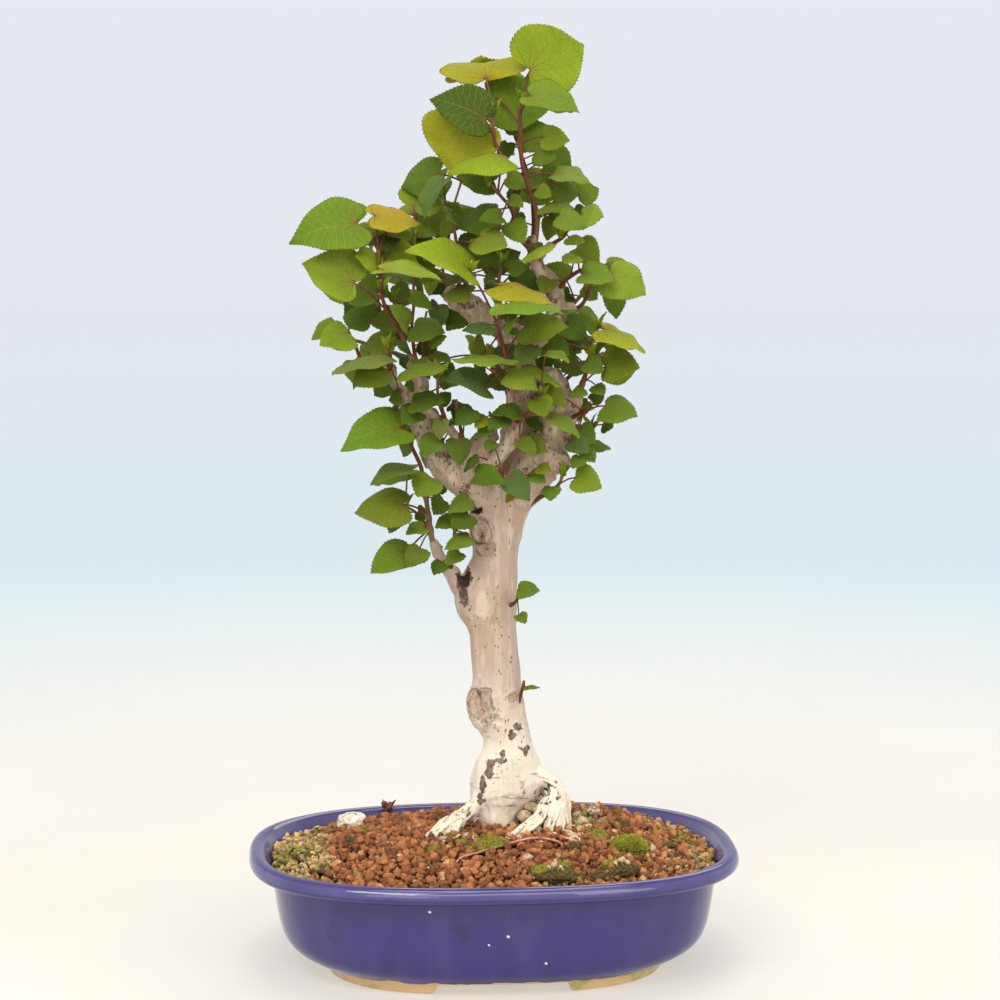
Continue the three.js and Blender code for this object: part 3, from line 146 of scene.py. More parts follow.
# A stem is a row of points of seen x, seen z, depth and radius. A leaf is its joint's seen x and z, its
# tip's seen x and z, the joint's depth, how much deeper the tip is, how far the blade is opened towards
# the front in degrees, its width, its tone and, where it was seen, the place on the stem from which its
# stalk comes. A bud is its seen x and z and its depth. Each shoot has its stems, its leaves and its buds.
SHOOTS = {
    "crown_top": (
        [[(22, 390, 0, 1.8), (24, 410, 0, 1.6), (20, 425, -1, 1.5), (17, 434, -2, 1.4), (15, 446, -3, 1.4),
          (14.5, 470, -3, 1.2)],
         [(19, 424, -1, 1.4), (14, 429, -4, 1.3), (7, 440, -7, 1.2), (1, 451, -9, 1.1), (0, 466, -8, 0.9)]],
        [(19.5, 489, 49.5, 503.5, -2, 8, 76, 37, "V", 14.5, 468), (-4, 485.5, -5, 494, -8, 30, 90, 42, "Y"),
         (-4, 463.5, -34, 475, -13, 4, 62, 25, "K", 3, 449), (1, 474, 33, 471, 10, 6, 60, 31, "A", 14.5, 460),
         (20, 475, 47, 467, 1, -7, 30, 27, "M", 14.5, 466),
         (-14.5, 460, -24, 436, -24, -7, 80, 38, "Y", 0, 455), (13, 454, 31, 460, 8, 8, 50, 22, "E", 15, 447),
         (29, 441, 44.5, 434.5, 12, 6, 70, 20, "D", 17, 434.5),
         (33, 434, 53, 430, -9, -6, 18, 26, "L", 18, 432), (16, 427, 41.5, 429, 3, 8, 40, 24, "E", 20, 422),
         (34, 428, 48, 424, 20, 8, 55, 17, "D"), (46, 422, 57.5, 426.5, 6, 4, 60, 15, "M", 24, 412),
         (28, 417, 44, 415, -9, -8, 20, 20, "E", 24, 410)],
        [(14.5, 475, -3), (0, 468, -8), (25, 423, -2)],
    ),
    "crown_left": (
        [[(19, 394, -1, 1.5), (15, 399, -4, 1.4), (12, 407, -7, 1.3), (10, 415, -10, 1.2), (5, 421, -13, 1.1),
          (-1, 428, -15, 0.9)]],
        [(6, 443.5, -25, 436, -28, -5, 20, 30, "V", 3, 424), (0, 431, -20, 433, -2, -2, 35, 22, "D", 2, 425),
         (1, 411, -13, 402, 6, 6, 60, 15, "D", 13, 401), (0, 413, -20, 406, -6, 5, 45, 20, "D", 9, 416),
         (-8, 400, 8, 395, -16, -8, 45, 19, "L", 12, 407), (10, 428, 20, 421, 9, 6, 70, 15, "B", 10, 415),
         (24, 394, 24, 389, -22, -20, 65, 19, "V", 16, 397)],
        [(-2, 430, -15)],
    ),
    "upper_left": (
        [[(-18, 367, -7, 1.6), (-19, 385, -9, 1.2), (-20, 398, -11, 1.1), (-22, 408, -13, 1),
          (-26, 417, -15, 0.8)],
         [(-23, 369, -7, 1.2), (-27, 381, 0, 1), (-26, 396, 6, 0.9), (-22, 414, 8, 0.8), (-17, 430, 8, 0.7)]],
        [(-26, 431, -37, 410, -18, -6, 22, 24, "B", -26, 416), (-29, 434, -50, 427, 6, 6, 65, 21, "D"),
         (-13, 445, -4, 452, 10, 8, 60, 14, "L")],
        [(-13, 455, 8)],
    ),
    "left_top": (
        [[(-42, 331, -8, 2), (-46, 338, -12, 1.6), (-49, 346, -15, 1.5), (-53, 354, -18, 1.4),
          (-57, 360, -20, 1.3), (-60, 368, -22, 1.2), (-61, 380, -22, 1.1), (-62, 393, -22, 0.9)],
         [(-49, 345, -14, 1.2), (-52, 355, -9, 1), (-54, 366, -6, 0.8)]],
        [(-72.5, 408, -110, 399.5, -29, -6, 58, 29, "A", -62, 393),
         (-64, 411.5, -39, 407.5, -21, 5, 28, 25, "O", -62, 393),
         (-58, 402, -57, 410, -24, 22, 90, 26, "M", -62, 391),
         (-53, 396, -68, 400, -8, 6, 35, 18, "D", -61, 382),
         (-75, 375.5, -103, 387, -34, 6, 58, 28, "L", -57, 359),
         (-63, 388, -74, 391, -30, -7, 50, 14, "V", -61, 378),
         (-61, 394, -40, 388, -36, -4, 45, 21, "V", -61, 384),
         (-60, 382, -28, 376.5, -42, -8, 15, 27, "L", -60, 370),
         (-63, 371, -79, 365, -14, 6, 40, 20, "M", -58, 362),
         (-66, 354.5, -81.5, 358, -10, 9, 50, 18, "D", -53, 353)],
        [(-62, 384, -24), (-54, 368, -6), (-60, 375, -24)],
    ),
    "left_inner": (
        [[(-41, 330, -8, 1.5), (-43, 340, -3, 1.3), (-44, 352, 3, 1.1), (-43, 364, 8, 1), (-43, 384, 9, 0.9),
          (-42, 402, 7, 0.8)],
         [(-39, 322, -8, 1.3), (-38, 334, -2, 1.1), (-38, 348, 2, 0.9), (-36, 360, 4, 0.8)]],
        [(-43, 416, -30, 425, 0, 12, 60, 22, "L", -42, 401), (-43, 412, -7, 416, 6, 8, 40, 29, "M", -42, 398),
         (-48, 402, -28, 398, 14, 4, 25, 18, "D", -43, 386), (-54, 346, -72, 342, 2, 6, 40, 18, "E"),
         (-38, 345, -30, 337, 8, 6, 60, 14, "D"), (-43, 352, -26, 349, -10, -6, 40, 20, "M", -38, 342),
         (-41, 321, -50, 318, 4, 5, 60, 10, "D"), (-28, 332, -27, 320, 2, -4, 70, 13, "D")],
        [(-42, 404, 7)],
    ),
    "left_low": (
        [[(-57, 325, -12, 1.7), (-65, 329, -15, 1.4), (-71, 333, -18, 1.3), (-74, 340, -20, 1.1),
          (-78, 348, -22, 0.8)],
         [(-57, 325, -12, 1.4), (-56, 331, -16, 1.3), (-57, 341, -20, 0.9)]],
        [(-78, 348.5, -94, 343, -27, -6, 50, 20, "L", -75, 343),
         (-60, 337.5, -88, 328.5, -34, -8, 12, 26, "G", -56, 333),
         (-71, 333, -67, 319.5, -26, -6, 75, 15, "E", -68, 331),
         (-60, 330.5, -76, 320, -32, -4, 60, 18, "E", -57, 329), (-57, 321, -65, 314.5, -4, 3, 60, 12, "D"),
         (-50, 314, -57, 312, -2, 3, 60, 9, "D")],
        [(-57, 343, -20)],
    ),
    "low_left_tip": (
        [[(-33, 233, -4, 1.9), (-35, 245, -6, 1.7), (-36.5, 257, -9, 1.6), (-38.5, 270, -12, 1.5),
          (-40, 277, -14, 1.4), (-46, 290, -18, 1.2), (-48, 297, -20, 0.9)]],
        [(-50, 297, -83.5, 287, -26, -6, 45, 27, "A", -47, 294),
         (-46, 274, -67.5, 266.5, -26, -6, 20, 22, "M", -38.5, 268),
         (-49, 255, -76, 251, -22, 2, 50, 24, "E", -35.5, 249),
         (-34, 270, -42, 259.5, -28, -5, 70, 16, "L", -38, 268), (-28, 267, -34, 261, -6, 4, 60, 10, "D"),
         (-27, 257, -33, 249, -18, 2, 60, 11, "D"), (-37, 242, -48, 239, -16, -4, 35, 12, "L"),
         (-47, 228.5, -67.5, 217, -14, -4, 50, 20, "M", -34.5, 241),
         (-40, 231, -47.5, 220.5, -18, -4, 60, 13, "M", -34.5, 240), (-41, 251, -36, 247, 4, 4, 60, 8, "D")],
        [(-48.5, 299, -20)],
    ),
    "low_left_foot": (
        [[(-24, 217, -1, 1.5), (-22, 226, -12, 1.2), (-21, 240, -16, 1), (-19, 254, -18, 0.8)]],
        [(-13, 258, -25, 250.5, -24, -3, 60, 10, "M"), (-22, 247, -32, 242, -22, -3, 50, 10, "L"),
         (-13, 249, -23, 241, -26, -3, 60, 14, "D", -21, 238), (-13, 237, -27, 229.5, -24, -3, 45, 11, "M"),
         (-18, 228, -26, 221, -18, -3, 60, 9, "M"), (-28, 223, -33, 216, -10, -4, 60, 9, "D")],
        [],
    ),
    "middle_left": (
        [[(-24, 297, -15, 1.4), (-27, 304, -20, 1.2), (-30, 314, -24, 1), (-30, 326, -28, 0.8)],
         [(-12, 279, -9, 1.4), (-16, 290, -16, 1.2), (-19, 302, -20, 1), (-20, 312, -22, 0.8)]],
        [(-31.5, 332.5, -54, 323, -34, -8, 20, 22, "L", -30, 324),
         (-44, 311, -26, 312, -28, -6, 35, 17, "D", -29, 308), (-41, 306, -50, 299, -24, -5, 60, 13, "D"),
         (-30, 290, -40, 281, -26, -3, 60, 12, "M"), (-19, 290.5, -17.5, 276, -26, -4, 70, 12, "D"),
         (-28, 301, -29, 290, -32, -2, 60, 9, "G"), (-11, 307, -21, 298, -30, -4, 60, 12, "D")],
        [(-30, 328, -28)],
    ),
    "centre": (
        [[(11, 312, -17, 1.9), (8.5, 325, -22, 1.6), (6.5, 335, -25, 1.4), (4, 347, -28, 1.2),
          (2, 354, -30, 1)],
         [(10, 316, -18, 1.2), (2, 325, -26, 1), (-1, 329, -29, 0.8)],
         [(3, 353, -30, 1), (3, 364, -31, 0.9), (2, 374, -32, 0.7)]],
        [(-12.5, 382, -47, 394, -33, -8, 30, 29, "V", 1, 354),
         (3, 374, 34, 363.5, -38, -8, 18, 30, "O", 3, 368), (4, 363.5, 39, 361, -44, -8, 12, 29, "A", 3, 358),
         (17, 351.5, 41, 351.5, -34, -6, 35, 25, "E", 6.5, 336),
         (-4, 336, -6, 331, -40, -20, 70, 31, "L", 2, 347), (21, 342, 12, 330, -30, -4, 60, 13, "G", 7, 334),
         (20, 331, 37, 319.5, -38, -7, 15, 20, "V", 8, 328),
         (8, 325.5, 25, 317.5, -44, -5, 35, 18, "L", -1, 329),
         (-3, 318, -27, 325, -36, -4, 35, 20, "B", 2, 325),
         (-2, 353, -17, 350, -36, -4, 25, 16, "B", 3, 352)],
        [(3, 366, -33), (-13, 384, -33)],
    ),
    "middle_low": (
        [[(11.5, 298, -20, 1.5), (15, 301, -26, 1.2), (20, 305, -29, 1), (26, 314, -31, 0.8)],
         [(0, 294, -11, 1.3), (0, 300, -20, 1.1), (-2, 305, -25, 0.8)]],
        [(15, 303, -1, 304.5, -33, -4, 35, 13, "D", 15, 301),
         (31, 301.5, 48, 291.5, -30, -5, 20, 20, "L", 20, 304),
         (24, 312, 29, 302, -36, -4, 70, 13, "E", 22, 308),
         (27, 317, 40, 307.5, -33, -5, 50, 14, "E", 25, 312), (14, 289, 24, 280.5, -30, -4, 50, 10, "M"),
         (-3.5, 302.5, -10, 296.5, -30, -4, 60, 8, "Y", -1, 302),
         (-1.5, 298, -8.5, 290.5, -27, -3, 60, 8, "M"), (28, 336, 42, 333, -34, -6, 15, 16, "L", 26, 314)],
        [(26, 316, -31)],
    ),
    "fork": (
        [[(4, 266, -4, 1.5), (5, 270, -20, 1.2), (4, 276, -27, 0.9)],
         [(14, 261, -3, 1.5), (15, 264, -18, 1.1), (18, 270, -23, 0.8)]],
        [(-10, 270, 7, 266, -31, -5, 50, 14, "D"), (9, 270, 20.5, 256, -28, -4, 60, 14, "B"),
         (0, 289, -4, 284, -28, -3, 60, 7, "M"), (21, 271, 29, 266, -27, -3, 60, 8, "M"),
         (25, 275, 32, 271.5, -24, -4, 50, 8, "V")],
        [],
    ),
    "right_twig": (
        [[(18, 252, 0, 1.6), (24, 257, -6, 1.4), (30, 260, -9, 1.2), (36, 265, -12, 1), (38, 270, -13, 0.8)]],
        [(45, 269, 60, 263.5, -18, -4, 60, 16, "L", 36, 265),
         (32, 264, 31, 256, -18, -4, 70, 9, "M", 30, 260), (50, 283, 56, 277, -12, -3, 60, 9, "M", 38, 269),
         (48, 280, 43, 274, -22, -3, 60, 8, "M", 38, 269)],
        [(38.5, 272, -13)],
    ),
    "right_low": (
        [[(47, 315, -1, 1.7), (51, 327, -6, 1.4), (53, 337, -9, 1.2), (55, 345, -11, 1.1),
          (57, 351, -13, 0.9)],
         [(44, 302, 1, 1.5), (50, 305, -8, 1.2), (55, 307, -13, 0.9)]],
        [(61, 308, 79.5, 302, -18, -6, 45, 20, "M", 53, 306),
         (61, 329.5, 80.5, 329, -16, -5, 55, 21, "E", 48, 319),
         (60, 350, 84, 338.5, -22, -6, 20, 25, "Y", 57, 350),
         (57, 353, 43, 361.5, -16, -4, 35, 18, "M", 56, 349), (40, 354, 52, 345, -1, 4, 60, 14, "D", 54, 341),
         (47, 296, 56, 287.5, -10, -4, 60, 13, "M", 49, 304),
         (43.5, 290, 53, 282.5, -16, -4, 60, 12, "B", 47, 303),
         (38, 332, 50, 326, 2, 5, 50, 13, "D", 51, 328), (51, 332, 60, 326, -20, -5, 60, 12, "M", 52, 331),
         (56, 319.5, 61, 314, -14, -4, 60, 8, "M", 50, 322), (54, 311, 61, 314, 4, 3, 60, 7, "D", 51, 306),
         (44, 317, 52, 314, -16, -4, 40, 9, "L", 48, 319), (30, 343, 42, 336, -14, -4, 60, 14, "D", 53, 338)],
        [(54, 338, -10), (57.5, 353, -13)],
    ),
    "right_high": (
        [[(34, 370, 0, 1.6), (40, 377, -6, 1.3), (48, 382, -10, 1), (56, 384, -13, 0.8)],
         [(43, 360, -1, 1.5), (49, 364, -4, 1.3), (54, 375, -6, 0.9)]],
        [(64, 380, 83.5, 368.5, -20, -6, 55, 24, "L", 56, 383),
         (48, 380, 67, 376, -22, -5, 35, 20, "M", 44, 379), (45, 394, 58, 386, -12, -5, 55, 18, "E", 47, 381),
         (57, 373, 67, 371, -2, 4, 20, 11, "L", 53, 372), (49, 373, 57, 366, 4, 4, 60, 11, "M", 51, 368),
         (45, 390, 38, 386, -18, -5, 40, 11, "L", 42, 378)],
        [(54.5, 377, -6)],
    ),
    "right_top": (
        [[(32, 396, -2, 1.4), (38, 400, -5, 1.2), (42, 406, -7, 1), (46, 411, -9, 0.8)]],
        [(47.5, 412, 60, 411, -16, -5, 40, 19, "L", 45, 410),
         (36, 412, 51, 405, -20, -4, 50, 14, "M", 42, 405),
         (41, 400, 50, 397, -22, -5, 35, 10, "L", 38, 400)],
        [(37, 401.5, -5)],
    ),
    "heart_front": (
        [[(6, 350, 1, 1.5), (4, 362, -6, 1.3), (3, 375, -8, 1.1), (5, 386, -8, 0.8)]],
        [(-4, 383, 15, 393, -3, 6, 50, 19, "D"), (8, 383, 19, 385, -16, 4, 45, 12, "D"),
         (-12, 380, -33, 376, -16, 3, 15, 17, "G", 3, 376), (14, 378, 22, 368, -8, 4, 70, 14, "K")],
        [(5, 388, -8)],
    ),
    "trunk_leaves": (
        [[(14, 144, 0, 1.4), (16.5, 153, -4, 1), (17, 156, -5, 0.8)]],
        [(17.5, 152.5, 26, 152.5, -6, -2, 15, 9, "M")],
        [],
    ),
    "trunk_sprig": (
        [[(9, 198, -1, 1.5), (13, 201, -12, 1.1), (14, 207, -17, 0.8)]],
        [(14, 207, 26, 206.5, -20, -3, 50, 11, "M"), (14, 193, 18, 188, -20, -3, 60, 7, "M", 13, 201)],
        [],
    ),
}
# The shoots on the far side.
FAR_STEMS = {
    "far_top": [
        [(21, 392, 1, 1.6), (22, 408, 14, 1.4), (20, 428, 24, 1.2), (14, 448, 30, 1), (8, 464, 32, 0.8)],
        [(22, 408, 14, 1.2), (32, 418, 26, 1), (42, 424, 36, 0.8)],
    ],
    "far_left": [
        [(-55, 321, -11, 1.7), (-56, 336, 10, 1.5), (-60, 354, 26, 1.3), (-64, 376, 38, 1.1),
         (-66, 396, 44, 0.8)],
        [(-56, 336, 10, 1.2), (-68, 342, 24, 1), (-80, 346, 34, 0.8)],
    ],
    "far_heart": [
        [(-10, 361, -4, 1.6), (-14, 374, 16, 1.4), (-20, 390, 32, 1.2), (-26, 404, 42, 0.9)],
        [(12, 344, 6, 1.5), (16, 358, 22, 1.3), (18, 372, 38, 1), (18, 382, 46, 0.8)],
    ],
    "far_right": [
        [(36, 354, 0, 1.5), (44, 364, 16, 1.3), (54, 374, 28, 1), (62, 380, 34, 0.8)],
        [(33, 316, 3, 1.5), (44, 326, 18, 1.3), (56, 334, 28, 1), (64, 338, 34, 0.8)],
    ],
    "far_low": [
        [(31, 290, 6, 1.6), (38, 290, 20, 1.3), (46, 292, 32, 1), (54, 296, 38, 0.8)],
        [(12, 300, 14, 1.6), (8, 314, 28, 1.4), (4, 328, 40, 1.1), (-2, 336, 48, 0.8)],
    ],
    "far_low_left": [
        [(-24, 274, -6, 1.6), (-26, 284, 12, 1.4), (-32, 294, 26, 1.2), (-40, 300, 34, 0.9)],
        [(-33, 232, -3, 1.5), (-36, 242, 10, 1.3), (-42, 250, 20, 1), (-48, 254, 26, 0.8)],
    ],
}

# What each letter of a leaf's row stands for: the colour of its upper face, with the light or shade on it
# painted in: the bright tones carry painted light through the blade, the dark ones painted shade.
LEAF_TONES_LIT_AND_SHADED = {
    "V": (0.196, 0.258, 0.008),  # new and bright
    "Y": (0.262, 0.284, 0.011),  # olive yellow
    "O": (0.262, 0.246, 0.01),  # turning
    "A": (0.118, 0.212, 0.011),  # apple green
    "L": (0.166, 0.236, 0.016),  # pale
    "M": (0.114, 0.184, 0.013),
    "E": (0.14, 0.19, 0.011),  # olive
    "D": (0.076, 0.13, 0.009),  # dark
    "K": (0.048, 0.088, 0.006),  # darkest
    "B": (0.084, 0.148, 0.034),  # bluish
    "G": (0.13, 0.172, 0.036),  # greyish
}

# How the shoots are laid out. These follow the frame's own rules, so that each blade lies in its solid.
BLADE_ROOM = 2.8
STALK_RADIUS = 0.62
SHORT_STALK = 9.0  # a shorter stalk is straight
DEPTH_STEP = 2.5
DEPTH_TRIES = 34
CROWN_MIDDLE_Y = 4.0
CROWN_REACH_Y = 92.0
LONGEST_STALK = 60
TWIN_SCALE = 0.92
TWIN_STALK_REACH = 42.0
TWIN_WIDTH = 21  # a leaf as wide as this gets a twin at the back
TWIN_HEIGHT = 235
BREADTH = 1.12
INNER_TRIES = 560
FAR_TRIES = 70  # more small leaves for the far stems
INNER_ROOM = 1.1  # the small leaves have no solids of their own, so they may lie closer
# The heights over which the small leaves set in at the crown's foot and end at its top, and where they end at
# its sides.
CROWN_FOOT, CROWN_TOP, CROWN_SIDE = (262, 300), (470, 400), (60, 38)
INNER_FOLDS = [-0.2, -0.14, 0.12, 0.2]
# The small leaves inside the crown mostly take the dark tones, which paint the shade there.
INNER_TONES_SHADED = "DDDMKEBLDM"
LEAF_HALVES = [
    (27, [(0.24, -0.19), (0.45, -0.06), (0.46, 0.1), (0.51, 0.25), (0.38, 0.6)]),
    (17, [(0.34, -0.17), (0.455, 0.06), (0.5, 0.26), (0.37, 0.6)]),
    (12, [(0.33, -0.15), (0.5, 0.2), (0.38, 0.58)]),
    (0, [(0.45, -0.1), (0.45, 0.42)]),
]

TOOTH_PITCH = 1.5
TOOTH = [0, 0.35, 0.7, 1]  # how a tooth rises before it drops
# Where the rows of points run between the midrib and the margin; a blade shorter than the length has fewer.
WIDE_COLUMNS, NARROW_COLUMNS = [0, 0.5, 0.95, 1], [0, 0.9, 1]
NARROW_BLADE = 14
SMALL_BLADE = 21.0  # a shorter blade has a rounder base and coarser teeth

# The margin's right half without its teeth, as shares of the width and the length, from the notch to the tip.
MARGIN = [
    (0, 0.02), (0.06, -0.035), (0.14, -0.092), (0.23, -0.126), (0.32, -0.118), (0.4, -0.072), (0.46, 0.005),
    (0.496, 0.1), (0.512, 0.2), (0.506, 0.3), (0.478, 0.41), (0.428, 0.52), (0.342, 0.645), (0.24, 0.76),
    (0.138, 0.86), (0.06, 0.933), (0.018, 0.983), (0, 1),
]


# The sizes and colours that a user would change.


def length_setting(name, description, default, low=0.0, high=1.0):
    return bpy.props.FloatProperty(
        name=name, description=description, default=default, min=low, max=high, unit="LENGTH", precision=5
    )


def share_setting(name, description, default):
    return bpy.props.FloatProperty(
        name=name, description=description, default=default, min=0, max=2, subtype="FACTOR"
    )


def colour_setting(name, description, default):
    return bpy.props.FloatVectorProperty(
        name=name, description=description, default=default, size=3, min=0, max=1, subtype="COLOR"
    )


class PotSettings(bpy.types.PropertyGroup):
    glaze: colour_setting("Glaze", "Colour of the thick glaze on the wall", (0.026, 0.0165, 0.15))
    # The thin glaze colour also serves as the painted highlight along the rim.
    glaze_thin_and_highlight: colour_setting("Thin glaze", "Colour of thin glaze along the rim", (0.185, 0.18, 0.35))
    glaze_dark: colour_setting("Pooled glaze", "Colour of the pools in the glaze", (0.006, 0.006, 0.06))
    clay: colour_setting("Bare clay", "Colour of the feet and the base", (0.74, 0.54, 0.29))
    unevenness: length_setting("Unevenness", "How far the hand-cast wall wanders", 0.0003, 0, 0.002)


class SoilSettings(bpy.types.PropertyGroup):
    grain: length_setting("Grain", "Middle size of a baked clay grain", 0.0044, 0.002, 0.01)
    spacing: length_setting("Spacing", "Distance between neighbouring grains", 0.0037, 0.002, 0.01)
    clay_light: colour_setting("Light clay", "Colour of the palest clay grains", (0.56, 0.225, 0.078))
    clay_dark: colour_setting("Dark clay", "Colour of the darkest clay grains", (0.105, 0.032, 0.011))
    gravel: colour_setting("Gravel", "Colour of the grey grains at the pot's ends", (0.8, 0.55, 0.23))
    algae: colour_setting("Algae", "Colour of the green film on damp grains and feet", (0.27, 0.24, 0.04))


class WoodSettings(bpy.types.PropertyGroup):
    voxel: length_setting("Skin step", "Size of the skin's facets on the wood", 0.00106, 0.0007, 0.003)
    # The pale bark is partly the roots' own colour and partly painted light thrown up from the bright floor.
    pale: colour_setting("Pale bark", "Colour of the bark near the roots", (0.95, 0.865, 0.73))
    upper: colour_setting("Upper bark", "Colour of the bark on the upper trunk", (0.56, 0.402, 0.295))
    arms: colour_setting("Arm bark", "Colour of the bark on the arms", (0.39, 0.27, 0.17))
    scar: colour_setting("Scars", "Colour of old bark and of healed cuts", (0.12, 0.06, 0.033))


class LeafSettings(bpy.types.PropertyGroup):
    thickness: length_setting("Thickness", "Thickness of a blade", 0.00028, 0.0001, 0.001)
    tooth: share_setting("Teeth", "How deep the teeth of the margin are", 1.0)
    ripple: share_setting("Ripple", "How far the margin waves", 1.0)
    stem: colour_setting("Stem", "Colour of the young red stems and stalks", (0.125, 0.027, 0.009))
    bud: colour_setting("Bud", "Colour of the buds", (0.4, 0.5, 0.12))


class MossSettings(bpy.types.PropertyGroup):
    tip: colour_setting("Tips", "Colour of the moss's tips", (0.58, 0.62, 0.055))
    base: colour_setting("Base", "Colour deep in the moss", (0.23, 0.22, 0.028))
    dark: colour_setting("Dark moss", "Colour of the dull moss at the front", (0.42, 0.35, 0.08))
    tuft: length_setting("Tuft", "Length of a moss leaf", 0.0017, 0.0005, 0.005)


class StageSettings(bpy.types.PropertyGroup):
    floor: colour_setting("Floor", "Colour of the floor", (0.39, 0.378, 0.358))
    reach: length_setting("Floor radius", "How far the floor reaches", 1.6, 0.5, 10)


# Small tools.


def seen(x, z, y):
    """The real places of points at depth y that are seen at x, z."""
    x, z, y = np.broadcast_arrays(np.asarray(x, float), np.asarray(z, float), np.asarray(y, float))
    on_plane = np.stack([x, np.zeros_like(x), z], -1)
    return EYE + (on_plane - EYE) * ((y - EYE[1]) / -EYE[1])[..., None]


def seen_place(points):
    """The x and z at which real points are seen."""
    share = -EYE[1] / (points[:, 1] - EYE[1])
    on_plane = EYE + (points - EYE) * share[:, None]
    return on_plane[:, 0], on_plane[:, 2]


def drawer(seed):
    """A seeded draw from 0 to 1, the same on every run."""
    state = seed

    def draw():
        nonlocal state
        state = (state * 1103515245 + 12345) % 2147483648
        return state / 2147483648

    return draw


def size(v):
    return float(np.sqrt(np.dot(v, v)))


def lengths(rows):
    return np.linalg.norm(rows, axis=-1)


def unit(v):
    return v / size(v)


def smoothstep(low, high, value):
    t = np.clip((value - low) / (high - low), 0, 1)
    return t * t * (3 - 2 * t)


def flow(points, steps):
    """A smooth row of points through the given rows; every column is carried along."""
    rows = np.asarray(points, float)
    ends = np.vstack([2 * rows[0] - rows[1], rows, 2 * rows[-1] - rows[-2]])
    out = []
    for i in range(len(rows) - 1):
        a, b, c, d = ends[i : i + 4]
        for t in np.arange(steps) / steps:
            square, cube = (2 * a - 5 * b + 4 * c - d) * t * t, (3 * b - a - 3 * c + d) * t**3
            out.append(0.5 * (2 * b + (c - a) * t + square + cube))
    out.append(rows[-1])
    return np.array(out)


def limb_path(rows, steps=5):
    """The real places and the radii along a limb's rows."""
    x, z, y, radii = flow(rows, steps).T
    return seen(x, z, y), radii


class Skin:
    """Points, faces and values of one piece, gathered from its parts."""

    def __init__(self):
        self.points, self.faces, self.slots, self.values = [], [], [], {}
        self.count = 0

    def add(self, points, faces, slot=0, **values):
        points = np.asarray(points, float)
        self.points.append(points)
        start = self.count
        self.faces.extend([[start + i for i in face] for face in faces])
        self.slots.extend([slot] * len(faces))
        for name, value in values.items():
            value = np.asarray(value, float)
            if value.ndim == 0 or (value.ndim == 1 and len(value) == 3 and len(points) != 3):
                value = np.tile(value, (len(points), 1)) if value.ndim else np.full(len(points), value)
            self.values.setdefault(name, []).append((start, value))
        self.count += len(points)

    def tube(self, line, radii, sides, slot=0, **values):
        self.add(*tube_rings(line, radii, sides), slot, **values)

    def piece(self, name, materials):
        points = np.vstack(self.points) * MM
        mesh = bpy.data.meshes.new(name)
        mesh.from_pydata(points.tolist(), [], self.faces)
        for key, parts in self.values.items():
            wide = parts[0][1].ndim == 2
            full = np.zeros((self.count, 3) if wide else self.count)
            for start, value in parts:
                full[start : start + len(value)] = value
            attribute = mesh.attributes.new(key, "FLOAT_VECTOR" if wide else "FLOAT", "POINT")
            attribute.data.foreach_set("vector" if wide else "value", full.astype(np.float32).ravel())
        for look in materials:
            mesh.materials.append(look)
        mesh.polygons.foreach_set("material_index", self.slots)
        mesh.polygons.foreach_set("use_smooth", [True] * len(mesh.polygons))
        mesh.update()
        piece = bpy.data.objects.new(name, mesh)
        bpy.context.scene.collection.objects.link(piece)
        return piece


def fitted(piece, slot, *nodes):
    """The piece rides on the part and stands for the nodes, which it hides; the slot is not used."""
    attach(piece, "root")
    if nodes:
        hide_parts(*nodes)
    return piece


def settled(piece):
    """Applies the piece's modifiers to its mesh."""
    graph = bpy.context.evaluated_depsgraph_get()
    mesh = bpy.data.meshes.new_from_object(piece.evaluated_get(graph))
    old = piece.data
    piece.modifiers.clear()
    piece.data = mesh
    bpy.data.meshes.remove(old)
    mesh.polygons.foreach_set("use_smooth", [True] * len(mesh.polygons))
    return piece


def points_of(mesh):
    points = np.empty(len(mesh.vertices) * 3, np.float32)
    mesh.vertices.foreach_get("co", points)
    return points.reshape(-1, 3).astype(float)


def set_value(mesh, name, values):
    attribute = mesh.attributes.new(name, "FLOAT", "POINT")
    attribute.data.foreach_set("value", np.asarray(values, np.float32))


def tube_rings(line, radii, sides):
    """Points and faces of a tube along a line; it has a ring more at each end, which rounds it."""
    line = np.asarray(line, float)
    radii = np.asarray(radii, float)
    across = np.array([0.0, 1.0, 0.0])
    rings = []
    last = len(line) - 1
    turns = 2 * np.pi * np.arange(sides) / sides
    for i, place in enumerate(line):
        along = unit(line[min(i + 1, last)] - line[max(i - 1, 0)])
        across = across - along * np.dot(across, along)
        if size(across) < 1e-3:
            across = np.cross(along, [1.0, 0, 0])
        across = unit(across)
        third = np.cross(along, across)
        circle = np.cos(turns)[:, None] * across + np.sin(turns)[:, None] * third
        if i == 0:
            rings.append(place - along * radii[0] * 0.4 + circle * radii[0] * 0.55)
        rings.append(place + circle * radii[i])
        if i == last:
            rings.append(place + along * radii[-1] * 0.4 + circle * radii[-1] * 0.55)
    return np.vstack(rings), capped_faces(len(rings), sides)


def ring_faces(rings, sides, start=0):
    faces = []
    for a in range(start, start + (rings - 1) * sides, sides):
        for j in range(sides):
            k = (j + 1) % sides
            faces.append([a + j, a + k, a + sides + k, a + sides + j])
    return faces


def capped_faces(rings, sides):
    """The faces of a row of rings, closed at both ends."""
    last = (rings - 1) * sides
    return [*ring_faces(rings, sides), list(range(sides))[::-1], list(range(last, last + sides))]


def ball(subdivisions, radius=1.0):
    """Points and faces of a round ball."""
    made = bmesh.new()
    bmesh.ops.create_icosphere(made, subdivisions=subdivisions, radius=radius)
    points = np.array([v.co[:] for v in made.verts])
    faces = [[v.index for v in face.verts] for face in made.faces]
    made.free()
    return points, faces


